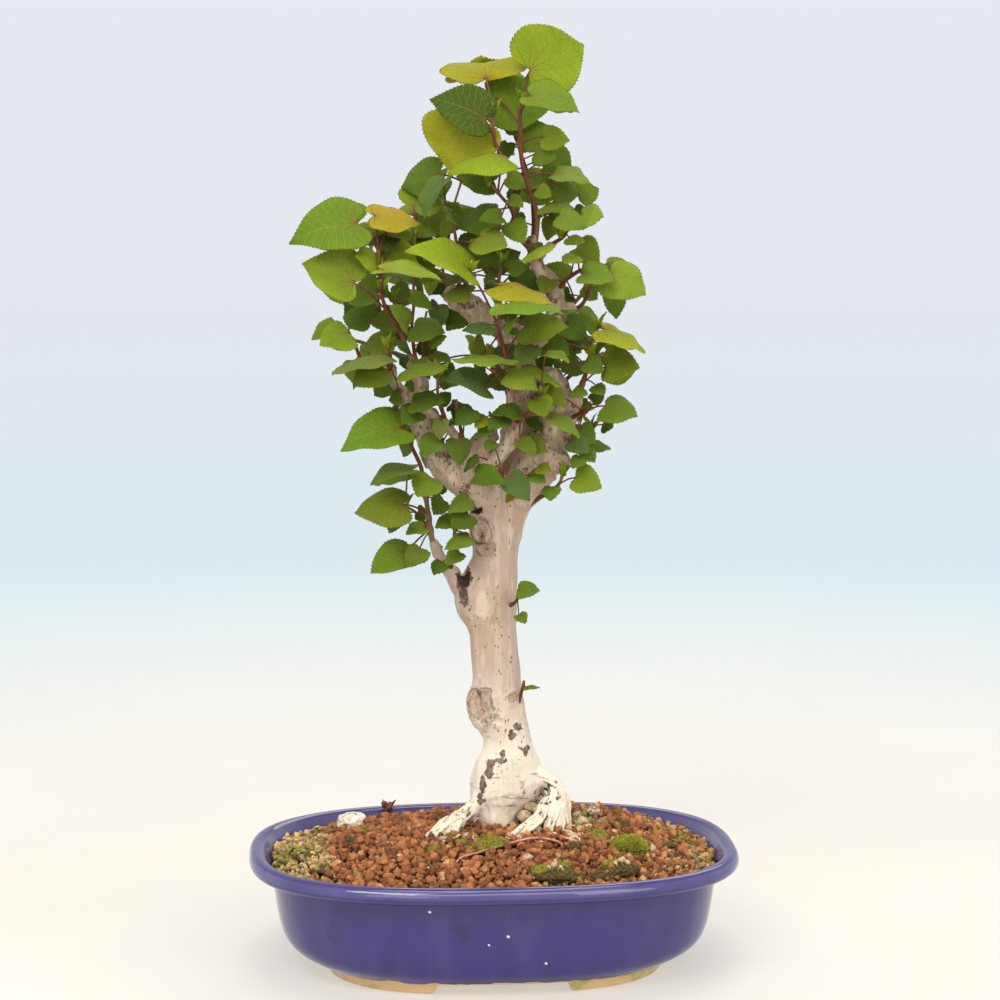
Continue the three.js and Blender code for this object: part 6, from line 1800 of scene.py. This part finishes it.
def meets(a, b, face, room):
    """Whether any segment passes through a blade of the stack, or lies closer to it than the room given."""
    middle, up = face[0], face[3]
    off_a, off_b = ((a - middle) * up).sum(-1), ((b - middle) * up).sum(-1)
    with np.errstate(divide="ignore", invalid="ignore"):
        share = np.nan_to_num(off_a / (off_a - off_b))
    if ((off_a * off_b < 0) & inside(a + (b - a) * share[..., None], face)).any():
        return True
    for place in (a, b, (a + b) / 2):
        near = np.abs(((place - middle) * up).sum(-1)) < room
        if (near & inside(place, face)).any():
            return True
    return False


def rod_gap(a, b, c, d):
    """The least distance between segments, read at five places on each."""
    gap = np.inf
    for share in (0, 0.25, 0.5, 0.75, 1):
        gap = np.minimum(gap, gap_to_rods(a + (b - a) * share, c, d))
        gap = np.minimum(gap, gap_to_rods(c + (d - c) * share, a, b))
    return gap


class Crown:
    """Everything laid out so far."""

    def __init__(self):
        self.blades, self.rods = [], []
        self.room = BLADE_ROOM

    def lay_rods(self, points, radii, shoot):
        for i in range(len(points) - 1):
            self.rods.append((points[i], points[i + 1], max(radii[i], radii[i + 1]), shoot))

    def stack(self):
        """The blades and the rods as arrays, for one leaf's tries."""
        blades = self.blades
        faces = [np.array([getattr(blade, key) for blade in blades]) for key in BLADE_KEYS]
        rings = [blade.outline() for blade in blades]
        owners = np.repeat(np.arange(len(blades)), [len(ring) for ring in rings])
        edges = None
        if rings:
            edges = np.vstack(rings), np.vstack([np.roll(ring, -1, axis=0) for ring in rings])
        joints = np.array([blade.joint for blade in blades])
        return faces, edges, owners, joints, [np.array(column) for column in zip(*self.rods)]

    def clashes(self, blade, stalk, shoot, stack):
        faces, edges, owners, joints, rods = stack
        a = blade.outline()
        b = np.roll(a, -1, axis=0)
        own = [getattr(blade, key) for key in BLADE_KEYS]
        reach = blade.length + blade.width
        stalk = np.array(stalk)
        if len(joints):
            near = lengths(joints - blade.joint) <= reach + faces[5] + faces[4]
            if near.any():
                close = [column[near] for column in faces]
                if meets(a[:, None], b[:, None], close, self.room):
                    return True
                theirs = near[owners]
                if meets(edges[0][theirs], edges[1][theirs], own, self.room):
                    return True
                if meets(stalk[:-1, None], stalk[1:, None], close, 1.3):
                    return True
        near = gap_to_rods(blade.joint, rods[0], rods[1]) <= reach + LONGEST_STALK
        starts, ends, radii, homes = (column[near] for column in rods)
        if meets(starts, ends, own, radii + 1):
            return True
        thick = radii > 1.6
        if (rod_gap(a[:, None], b[:, None], starts[thick], ends[thick]) < radii[thick] + 1.2).any():
            return True
        other = homes != shoot
        room = radii[other] + STALK_RADIUS + 0.5
        return bool((rod_gap(stalk[:-1, None], stalk[1:, None], starts[other], ends[other]) < room).any())


def stalk_to(blade, start):
    """A stalk leaves its stem, rises and comes into the blade's notch from below."""
    end = blade.at(0, 0.02)
    reach = size(end - start)
    middle = (start + end) / 2 + np.array([0, 0, 0.1 * reach])
    first, second = start + (middle - start) * 0.55, middle + (end - middle) * 0.55
    return [start, first + (second - first) * 0.55, end] if reach > SHORT_STALK else [start, end]


def lay_leaf(crown, row, lines, shoot, draw, longest):
    """Lays a leaf at the first depth where it is clear of everything, nearest to its own depth."""
    x0, z0, x1, z1, y, deeper, opened, width, tone, *stem = row
    bend = 0.1 + 0.22 * draw()
    fold = -0.1 - 0.14 * draw() if draw() < 0.6 else 0.1 + 0.12 * draw()
    stack = crown.stack()
    for k in range(DEPTH_TRIES):
        move = DEPTH_STEP * math.ceil(k / 2) * (-1 if k % 2 else 1)
        joint, tip = seen(x0, z0, y + move), seen(x1, z1, y + move + deeper)
        blade = Blade(joint, tip, opened, BREADTH * width, bend, fold)
        best = (np.inf, None)
        for line in lines:
            if stem:
                there = nearest(line, seen(stem[0], stem[1], y))[1][1]
                found = nearest(line, seen(stem[0], stem[1], there))
            else:
                found = nearest(line[1:], blade.joint)
            if found[0] < best[0]:
                best = found
        if size(best[1] - blade.joint) > longest:
            continue
        stalk = stalk_to(blade, best[1])
        if crown.clashes(blade, stalk, shoot, stack) or (np.abs(blade.outline()[:, 1]) > CROWN_REACH_Y).any():
            continue
        crown.blades.append(blade)
        crown.lay_rods(stalk, [STALK_RADIUS] * len(stalk), shoot)
        return blade, stalk, tone
    return None


def lay_shoots():
    crown = Crown()
    for rows in ARMS.values():
        x, z, y, radii = np.array(rows, float).T
        crown.lay_rods(seen(x, z, y), radii, "wood")
    z, left, right = np.array(TRUNK_OUTLINE, float).T
    crown.lay_rods(seen((left + right) / 2, z, TRUNK_MIDDLE_Y), (right - left) / 2, "wood")
    shoots = {}
    for name, (stems, _, buds) in SHOOTS.items():
        shoots[name] = {"stems": stems, "leaves": [], "buds": buds}
    for name, stems in FAR_STEMS.items():
        buds = [(x, z + 2, y) for x, z, y, _ in (stem[-1] for stem in stems)]
        shoots[name] = {"stems": stems, "leaves": [], "buds": buds}
    for name, shoot in shoots.items():
        shoot["lines"] = [seen(*np.array(stem, float)[:, :3].T) for stem in shoot["stems"]]
        for line, stem in zip(shoot["lines"], shoot["stems"]):
            crown.lay_rods(line, [row[3] for row in stem], name)
    draw = drawer(77)
    twins = []
    for name, (_, leaves, _) in SHOOTS.items():
        for row in leaves:
            made = lay_leaf(crown, row, shoots[name]["lines"], name, draw, LONGEST_STALK)
            if made:
                shoots[name]["leaves"].append(made)
            if row[7] >= TWIN_WIDTH and row[1] > TWIN_HEIGHT:
                twins.append(row)
    for x0, z0, x1, z1, y, deeper, opened, width, tone, *_ in twins:
        back = 2 * CROWN_MIDDLE_Y - y + 14 + 22 * draw()
        tip_x, tip_z = x0 + TWIN_SCALE * (x1 - x0), z0 + TWIN_SCALE * (z1 - z0)
        twin = (x0, z0, tip_x, tip_z, back, 4 - deeper, opened, TWIN_SCALE * width, tone)
        there = seen(x0, z0, back)
        gaps = {}
        for name in FAR_STEMS:
            gaps[name] = min(nearest(line[1:], there)[0] for line in shoots[name]["lines"])
        name = min(gaps, key=gaps.get)
        made = lay_leaf(crown, twin, shoots[name]["lines"], name, draw, TWIN_STALK_REACH)
        if made:
            shoots[name]["leaves"].append(made)
    lay_inner(crown, shoots)
    return shoots


def lay_inner(crown, shoots):
    """Small leaves that fill the crown, on stalks from the arms and from the stems."""
    chance = np.random.RandomState(31)
    crown.room = INNER_ROOM
    rods = [rod for rod in crown.rods if rod[2] > STALK_RADIUS + 0.1]
    middles = np.array([(rod[0] + rod[1]) / 2 for rod in rods])
    weights = np.array([size(rod[1] - rod[0]) for rod in rods]) * smoothstep(*CROWN_FOOT, middles[:, 2])
    weights *= smoothstep(*CROWN_TOP, middles[:, 2]) + 0.2
    picks = chance.choice(len(rods), INNER_TRIES, p=weights / weights.sum())
    far = [i for i, rod in enumerate(rods) if rod[3] in FAR_STEMS]
    picks = np.concatenate([picks, chance.choice(far, FAR_TRIES)])
    halves = {name: {"stems": [], "leaves": [], "buds": []} for name in ("inner_front", "inner_back")}
    stack = crown.stack()
    for pick in picks:
        start, end, radius, home = rods[pick]
        foot = start + (end - start) * chance.uniform()
        along = unit(end - start)
        out = chance.normal(size=3) * [1, 1, 0.6] - [0, 0.35, 0]
        out = unit(out - along * np.dot(out, along))
        joint = foot + out * (radius + chance.uniform(4, 15)) + [0, 0, chance.uniform(0, 5)]
        length = chance.uniform(9, 18)
        tip = joint + unit(0.7 * out + 0.6 * chance.normal(size=3) - [0, 0, 0.25]) * length
        opened, width = chance.uniform(25, 85), length * chance.uniform(0.74, 0.95)
        blade = Blade(joint, tip, opened, width, chance.uniform(0.1, 0.3), chance.choice(INNER_FOLDS))
        tone = INNER_TONES_SHADED[chance.randint(len(INNER_TONES_SHADED))]
        stalk = stalk_to(blade, foot)
        edge = 1.0 if home in FAR_STEMS else smoothstep(*CROWN_SIDE, abs(joint[0] + 4))
        if chance.uniform() > edge or joint[2] > CROWN_TOP[0]:
            continue
        if crown.clashes(blade, stalk, home, stack):
            continue
        crown.blades.append(blade)
        crown.lay_rods(stalk, [STALK_RADIUS] * len(stalk), home)
        stack = crown.stack()
        half = "inner_front" if joint[1] < CROWN_MIDDLE_Y else "inner_back"
        halves[half]["leaves"].append((blade, stalk, tone))
    shoots.update(halves)


# Foliage: the pieces.


def teeth_of(blade):
    """How many teeth fit along half of a blade's margin."""
    pitch = TOOTH_PITCH * (1 if blade.length > SMALL_BLADE else 1.25)
    return int(np.clip(round((0.92 * blade.length + 0.42 * blade.width) / pitch), 4, 30))


def margin_half(blade, settings, side, chance):
    """One half of a blade's margin with its teeth, as rows of u and v from the notch to the tip."""
    rows = flow(MARGIN, 6)
    if blade.length < SMALL_BLADE:
        rows[:, 1] = np.where(rows[:, 1] < 0, 0.45 * rows[:, 1], rows[:, 1])
    real = rows * [blade.width, blade.length]
    run = np.concatenate([[0], np.cumsum(lengths(np.diff(real, axis=0)))])
    count = 4 * teeth_of(blade)
    even = np.linspace(0, run[-1], count)
    u, v = np.interp(even, run, rows[:, 0]), np.interp(even, run, rows[:, 1])
    du, dv = np.gradient(u * blade.width), np.gradient(v * blade.length)
    long = np.hypot(du, dv)
    # A tooth rises slowly and drops quickly towards the tip.
    tooth = np.array(TOOTH)[(np.arange(count) + chance.randint(4)) % 4]
    tooth = tooth * np.repeat(chance.uniform(0.55, 1.2, count // 4), 4)
    depth = settings.tooth * (0.36 + 0.009 * blade.width) * smoothstep(0.04, 0.14, even / run[-1])
    depth = depth * smoothstep(1.0, 0.93, even / run[-1])
    u = u + tooth * depth * dv / long / blade.width
    v = v - tooth * depth * du / long / blade.length
    u[0] = u[-1] = 0
    return side * u, v


def add_blade(skin, blade, tone, settings, chance):
    """A thin closed blade: two faces that meet at the toothed margin."""
    columns = np.array(WIDE_COLUMNS if blade.length >= NARROW_BLADE else NARROW_COLUMNS)
    left_u, left_v = margin_half(blade, settings, -1, chance)
    right_u, right_v = margin_half(blade, settings, 1, chance)
    count = len(left_u)
    share = np.linspace(0, 1, count)
    middle_v = 0.02 + 0.98 * share**1.25
    phase = chance.uniform(0, 2 * np.pi, 2)
    waves = chance.uniform(2.2, 3.4)
    curl = chance.uniform(-0.05, 0.02)
    tip_curl = chance.uniform(-0.1, 0.0)
    u_rows, v_rows, rises, rims = [], [], [], []
    signed = np.concatenate([-columns[:0:-1], columns])
    for step in signed:
        edge_u, edge_v = (left_u, left_v) if step < 0 else (right_u, right_v)
        s = abs(step)
        u, v = edge_u * s, middle_v + (edge_v - middle_v) * s
        wave = np.sin(waves * 2 * np.pi * share + phase[0 if step < 0 else 1])
        rise = 0.02 * settings.ripple * blade.width * s**2 * wave + curl * blade.width * s**2
        rise += tip_curl * blade.length * np.clip(v, 0, 1) ** 4
        u_rows.append(u)
        v_rows.append(v)
        rises.append(rise)
        rims.append(np.full(count, s))
    u, v, rise, rim = (np.array(rows).T for rows in (u_rows, v_rows, rises, rims))
    wide = len(signed)
    half = settings.thickness / MM / 2 * (1 - rim**12)
    top = blade.at(u, v, rise + half)
    below = blade.at(u, v, rise - half)
    # The first and the last row are one point each.
    body = slice(1, count - 1)
    points = [top[0, wide // 2][None], top[body].reshape(-1, 3), top[-1, wide // 2][None]]
    points.append(below[body, 1:-1].reshape(-1, 3))
    rows = count - 2
    grid = 1 + np.arange(rows * wide).reshape(rows, wide)
    end = 1 + rows * wide
    inner = end + 1 + np.arange(rows * (wide - 2)).reshape(rows, wide - 2)
    under = np.concatenate([grid[:, :1], inner, grid[:, -1:]], axis=1)
    faces = []
    for sheet, flip in ((grid, False), (under, True)):
        quads = np.stack([sheet[:-1, :-1], sheet[:-1, 1:], sheet[1:, 1:], sheet[1:, :-1]], -1).reshape(-1, 4)
        fans = [[0, b, a] for a, b in zip(sheet[0, :-1], sheet[0, 1:])]
        fans += [[end, a, b] for a, b in zip(sheet[-1, :-1], sheet[-1, 1:])]
        made = quads.tolist() + fans
        faces += [face[::-1] for face in made] if flip else made
    place = np.stack([u * blade.width / blade.length, v, np.zeros_like(u)], -1)
    start_place, end_place = place[0, :1], place[-1, :1]
    places = np.vstack([start_place, place[body].reshape(-1, 3), end_place, place[body, 1:-1].reshape(-1, 3)])
    rim_values = np.concatenate([[0], rim[body].ravel(), [1], rim[body, 1:-1].ravel()])
    lower = np.concatenate([np.zeros(end + 1), np.ones(inner.size)])
    colour = np.array(LEAF_TONES_LIT_AND_SHADED[tone]) * chance.uniform(0.86, 1.14) * chance.uniform(0.94, 1.06, 3)
    flush = smoothstep(0.12, -0.22, places[:, 0]) * (0.62 if tone == "O" else 0.0)
    tones = np.tile(colour, (len(places), 1))
    values = {"blade_place": places, "rim": rim_values, "under": lower, "leaf_tone": tones, "flush": flush}
    skin.add(np.vstack(points), faces, **values)


def add_stalk(skin, blade, stalk):
    """A stalk thickens where it leaves the stem and where it carries the blade."""
    steps, sides = (5, 7) if blade.length > SMALL_BLADE else (4, 5)
    path = flow([*stalk[:-1], blade.at(0, 0.035, -0.25)], steps)
    share = np.linspace(0, 1, len(path))
    thick = 0.36 + 0.0065 * blade.length
    radii = thick * (1 + 0.3 * np.exp(-((share / 0.08) ** 2)) + 0.16 * np.exp(-(((1 - share) / 0.07) ** 2)))
    skin.tube(path, radii, sides, 1, age=np.repeat(np.linspace(0.5, 0.18, len(path) + 2), sides))


def add_stem(skin, stem, joints):
    """A stem swells a little at each place where a stalk leaves it."""
    line, thick = limb_path(stem, 7)
    radii = thick.copy()
    for joint in joints:
        radii *= 1 + 0.22 * np.exp(-((lengths(line - joint) / 1.6) ** 2))
    age = np.clip((thick - 0.75) / 1.1, 0, 1)
    age = np.concatenate([age[:1], age, age[-1:]])
    skin.tube(line, radii * 0.84, 10, 1, age=np.repeat(age, 10))


BUD_LENGTH = 6.6
BUD_RADIUS = 0.95
BUD_SHAPE = [0.5, 0.8, 1, 1, 0.86, 0.66, 0.44, 0.24, 0.08]  # its radius from foot to tip, as shares


def add_bud(skin, bud, settings, chance):
    """The growing tip of a shoot: a slim bud among narrow new leaves."""
    x, z, y = bud
    foot = seen(x, z - 2.6, y)
    way = unit(chance.normal(size=3) * 0.22 + [0, 0, 1])
    line = foot + way * BUD_LENGTH * np.linspace(0, 1, len(BUD_SHAPE))[:, None]
    skin.tube(line, BUD_RADIUS * np.array(BUD_SHAPE), 8, 2)
    turn = chance.uniform(0, 2 * np.pi)
    for _ in range(4):
        turn += 2 * np.pi / 4 + chance.uniform(-0.4, 0.4)
        spread = chance.uniform(0.35, 1.0)
        way = unit(np.array([math.cos(turn) * spread, math.sin(turn) * spread, 1.0]))
        tip = foot + way * chance.uniform(6.0, 10.5)
        leaf = Blade(foot + way * 0.6, tip, chance.uniform(25, 85), 2.9, 0.22, 0.34)
        add_blade(skin, leaf, "V", settings, chance)


def make_shoots(settings):
    looks = [leaf_material(), stem_material(settings), bud_material(settings)]
    chance = np.random.RandomState(5)
    for name, shoot in lay_shoots().items():
        skin = Skin()
        joints = [stalk[0] for _, stalk, _ in shoot["leaves"]]
        for stem in shoot["stems"]:
            add_stem(skin, stem, joints)
        for blade, stalk, tone in shoot["leaves"]:
            add_blade(skin, blade, tone, settings, chance)
            add_stalk(skin, blade, stalk)
        for bud in shoot["buds"]:
            add_bud(skin, bud, settings, chance)
        if name == "fork":
            # A last small leaf, turned orange, hangs in front of the trunk.
            joint, tip = seen(11, 260.5, -15), seen(7, 255, -17)
            small = Blade(joint, tip, 60, 5.5, 0.15, -0.15)
            add_blade(skin, small, "O", settings, chance)
            add_stalk(skin, small, [seen(15, 264, -17), seen(12, 262.5, -16.5), joint])
        nodes = [node for node in (f"shoot_{name}", f"shoot_{name}_2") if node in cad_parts]
        fitted(skin.piece(f"spray_{name}", looks), "foliage", *nodes)


# The stage.

# The light's colour by how far a direction points up: warm from the floor, pale blue, then a touch of violet.
SKY_LOW, SKY_HIGH = -0.3, 0.6
SKY_TONES = [
    (-0.3, (0.985, 0.95, 0.905)), (-0.264, (0.965, 0.955, 0.925)), (-0.232, (0.905, 0.948, 0.938)),
    (-0.199, (0.839, 0.93, 0.945)), (-0.15, (0.715, 0.823, 0.871)), (-0.066, (0.775, 0.807, 0.863)),
    (0.1, (0.823, 0.823, 0.88)), (0.6, (0.9, 0.86, 0.78)),
]
SKY_SHARE = 0.8  # how much of the sky's brightness falls on the tree
LAMP_TONE = (1.0, 0.955, 0.88)
FLOOR_DUST = (0.345, 0.335, 0.318)
FLOOR_GLOW = (0.455, 0.443, 0.425)  # keeps the shadows under the pot light
FLOOR_SIDES = 96
FLOOR_DROP = 0.4  # the floor lies this far below the feet
# Each lamp: its name, its place and its aim in metres, its width and height, and its power.
LAMPS = [
    ("key lamp", (-0.9, -1.5, 1.9), (0, 0, 0.22), 1.1, 0.8, 21),
    ("fill lamp", (1, -1.6, 0.7), (0, 0, 0.1), 1, 0.8, 6),
    ("front lamp", (0.2, -1.9, 1.5), (0, 0, 0.1), 2.4, 0.6, 12),
    ("low lamp", (-0.5, -1.3, 0.45), (0, 0, 0.09), 0.6, 0.5, 1.8),
    ("top lamp", (0.1, -0.1, 2.2), (0, 0, 0.2), 1.4, 1, 17),
    ("back lamp", (0.5, 1.7, 1.5), (0, 0, 0.25), 1.2, 0.9, 7),
]
CAMERA_SENSOR, CAMERA_LENS = 36, 106.45
CAMERA_PITCH = 7.66  # degrees down
CAMERA_HEADING = (0.0767, 0.99705, 0.0)


def make_stage(settings):
    """A pale floor that fades into the light, soft lamps and the camera."""
    nodes = Finish("Pale floor")
    grain = mottled(nodes, nodes.place, 3.0, 0.2, 0.8)
    glow = {"Emission Color": FLOOR_GLOW, "Emission Strength": 1.0}
    look = nodes.done(nodes.mix(grain, settings.floor, FLOOR_DUST), 0.9, others=glow)
    fade = nodes.between(nodes.vector("LENGTH", nodes.place, output=1), 0.32, settings.reach * 0.9)
    clear = nodes.new("ShaderNodeBsdfTransparent").outputs[0]
    mixed = nodes.new("ShaderNodeMixShader", {0: fade, 1: nodes.body, 2: clear})
    nodes.feed(nodes.surface, mixed.outputs[0])
    turns = 2 * np.pi * np.arange(FLOOR_SIDES) / FLOOR_SIDES
    circle = np.stack([np.cos(turns), np.sin(turns), np.zeros(FLOOR_SIDES)], -1)
    rings = [circle * radius / MM for radius in (0.2, 0.5, 1.0, settings.reach)]
    faces = [[0, 1 + j, 1 + (j + 1) % FLOOR_SIDES] for j in range(FLOOR_SIDES)]
    faces += [face[::-1] for face in ring_faces(len(rings), FLOOR_SIDES, 1)]
    skin = Skin()
    skin.add(np.vstack([np.zeros((1, 3)), *rings]) - [0, 0, FLOOR_DROP], faces)
    skin.piece("floor", [look])

    scene = bpy.context.scene
    scene.view_settings.view_transform = "Standard"
    world = bpy.data.worlds.new("Studio light")
    scene.world = world
    world.use_nodes = True
    world.node_tree.nodes.clear()
    sky = Nodes(world.node_tree)
    way = sky.new("ShaderNodeTexCoord").outputs["Generated"]
    _, _, up = sky.split(way)
    ramp = sky.new("ShaderNodeValToRGB", {"Fac": sky.between(up, SKY_LOW, SKY_HIGH, kind="LINEAR")})
    stops = ramp.color_ramp.elements
    stops[0].color = (*SKY_TONES[0][1], 1)
    stops[1].color = (*SKY_TONES[-1][1], 1)
    for at, tone in SKY_TONES[1:-1]:
        stops.new((at - SKY_LOW) / (SKY_HIGH - SKY_LOW)).color = (*tone, 1)
    seen_sky = sky.new("ShaderNodeLightPath").outputs["Is Camera Ray"]
    strength = sky.between(seen_sky, 0, 1, SKY_SHARE, 1.0, "LINEAR")
    background = sky.new("ShaderNodeBackground", {"Color": ramp.outputs[0], "Strength": strength})
    output = sky.new("ShaderNodeOutputWorld")
    sky.feed(output.inputs["Surface"], background.outputs[0])

    for name, place, aim, wide, high, power in LAMPS:
        light = bpy.data.lights.new(name, "AREA")
        light.shape, light.size, light.size_y, light.energy = "RECTANGLE", wide, high, power
        light.color = LAMP_TONE
        lamp = bpy.data.objects.new(name, light)
        lamp.location = place
        lamp.rotation_euler = (Vector(aim) - Vector(place)).to_track_quat("-Z", "Y").to_euler()
        scene.collection.objects.link(lamp)

    camera = bpy.data.cameras.new("camera")
    camera.sensor_width, camera.lens = CAMERA_SENSOR, CAMERA_LENS
    eye = bpy.data.objects.new("camera", camera)
    eye.location = EYE * MM
    pitch = math.radians(CAMERA_PITCH)
    heading = Vector(CAMERA_HEADING) * math.cos(pitch) + Vector((0, 0, -math.sin(pitch)))
    eye.rotation_euler = heading.to_track_quat("-Z", "Y").to_euler()
    scene.collection.objects.link(eye)
    scene.camera = eye


# The add-on: one operator for each piece or group of like pieces, and one for the stage.


class MakeStage(bpy.types.Operator):
    """Make the pale floor, the soft lamps and the camera"""

    bl_idname = "bonsai.make_stage"
    bl_label = "Make the stage"

    def execute(self, context):
        make_stage(context.scene.bonsai_stage)
        return {"FINISHED"}


class MakePot(bpy.types.Operator):
    """Make the glazed pot with its bare feet and drain holes"""

    bl_idname = "bonsai.make_pot"
    bl_label = "Make the pot"

    def execute(self, context):
        make_pot(context.scene.bonsai_pot)
        return {"FINISHED"}


class FinishNetting(bpy.types.Operator):
    """Give the netting over the drain holes its finish"""

    bl_idname = "bonsai.finish_netting"
    bl_label = "Finish the netting"

    def execute(self, context):
        make_netting()
        return {"FINISHED"}


class MakeSoil(bpy.types.Operator):
    """Make the bed of soil and cover it with clay grains and gravel"""

    bl_idname = "bonsai.make_soil"
    bl_label = "Make the soil"

    def execute(self, context):
        make_soil(context.scene.bonsai_soil)
        return {"FINISHED"}


class MakeStones(bpy.types.Operator):
    """Make the white stone and the loose chips"""

    bl_idname = "bonsai.make_stones"
    bl_label = "Make the stones"

    def execute(self, context):
        make_stones()
        return {"FINISHED"}


class MakeMoss(bpy.types.Operator):
    """Make the moss cushion and the moss patches"""

    bl_idname = "bonsai.make_moss"
    bl_label = "Make the moss"

    def execute(self, context):
        make_moss(context.scene.bonsai_moss)
        return {"FINISHED"}


class MakeWire(bpy.types.Operator):
    """Make the copper wire that ties the roots down"""

    bl_idname = "bonsai.make_wire"
    bl_label = "Make the tie wire"

    def execute(self, context):
        make_wire()
        return {"FINISHED"}


class MakeWood(bpy.types.Operator):
    """Make the trunk with its arms and roots, and the thin roots over the soil"""

    bl_idname = "bonsai.make_wood"
    bl_label = "Make the wood"

    def execute(self, context):
        make_wood(context.scene.bonsai_wood)
        make_rootlets()
        make_root_strands()
        return {"FINISHED"}


class MakeShoots(bpy.types.Operator):
    """Make the leafy shoots: stems, stalks, toothed blades and buds"""

    bl_idname = "bonsai.make_shoots"
    bl_label = "Make the shoots"

    def execute(self, context):
        make_shoots(context.scene.bonsai_leaves)
        return {"FINISHED"}


class BonsaiPanel(bpy.types.Panel):
    """The sizes, the colours and the steps of the bonsai"""

    bl_label = "Bonsai"
    bl_idname = "VIEW3D_PT_bonsai"
    bl_space_type = "VIEW_3D"
    bl_region_type = "UI"
    bl_category = "Bonsai"

    def draw(self, context):
        for name, kind in SETTINGS.items():
            box = self.layout.box()
            box.label(text=name.replace("bonsai_", "").capitalize())
            for key in kind.__annotations__:
                box.prop(getattr(context.scene, name), key)
        for step in STEPS:
            self.layout.operator(step.bl_idname)


SETTINGS = {
    "bonsai_stage": StageSettings,
    "bonsai_pot": PotSettings,
    "bonsai_soil": SoilSettings,
    "bonsai_moss": MossSettings,
    "bonsai_wood": WoodSettings,
    "bonsai_leaves": LeafSettings,
}
STEPS = [MakeStage, MakePot, FinishNetting, MakeSoil, MakeStones, MakeMoss, MakeWire, MakeWood, MakeShoots]


def register():
    for kind in [*SETTINGS.values(), *STEPS, BonsaiPanel]:
        bpy.utils.register_class(kind)
    for name, kind in SETTINGS.items():
        setattr(bpy.types.Scene, name, bpy.props.PointerProperty(type=kind))


def unregister():
    for name in SETTINGS:
        delattr(bpy.types.Scene, name)
    for kind in [BonsaiPanel, *reversed(STEPS), *SETTINGS.values()]:
        bpy.utils.unregister_class(kind)


def main():
    register()
    for step in STEPS:
        group, call = step.bl_idname.split(".")
        getattr(getattr(bpy.ops, group), call)()
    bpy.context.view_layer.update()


if __name__ == "__main__":
    main()
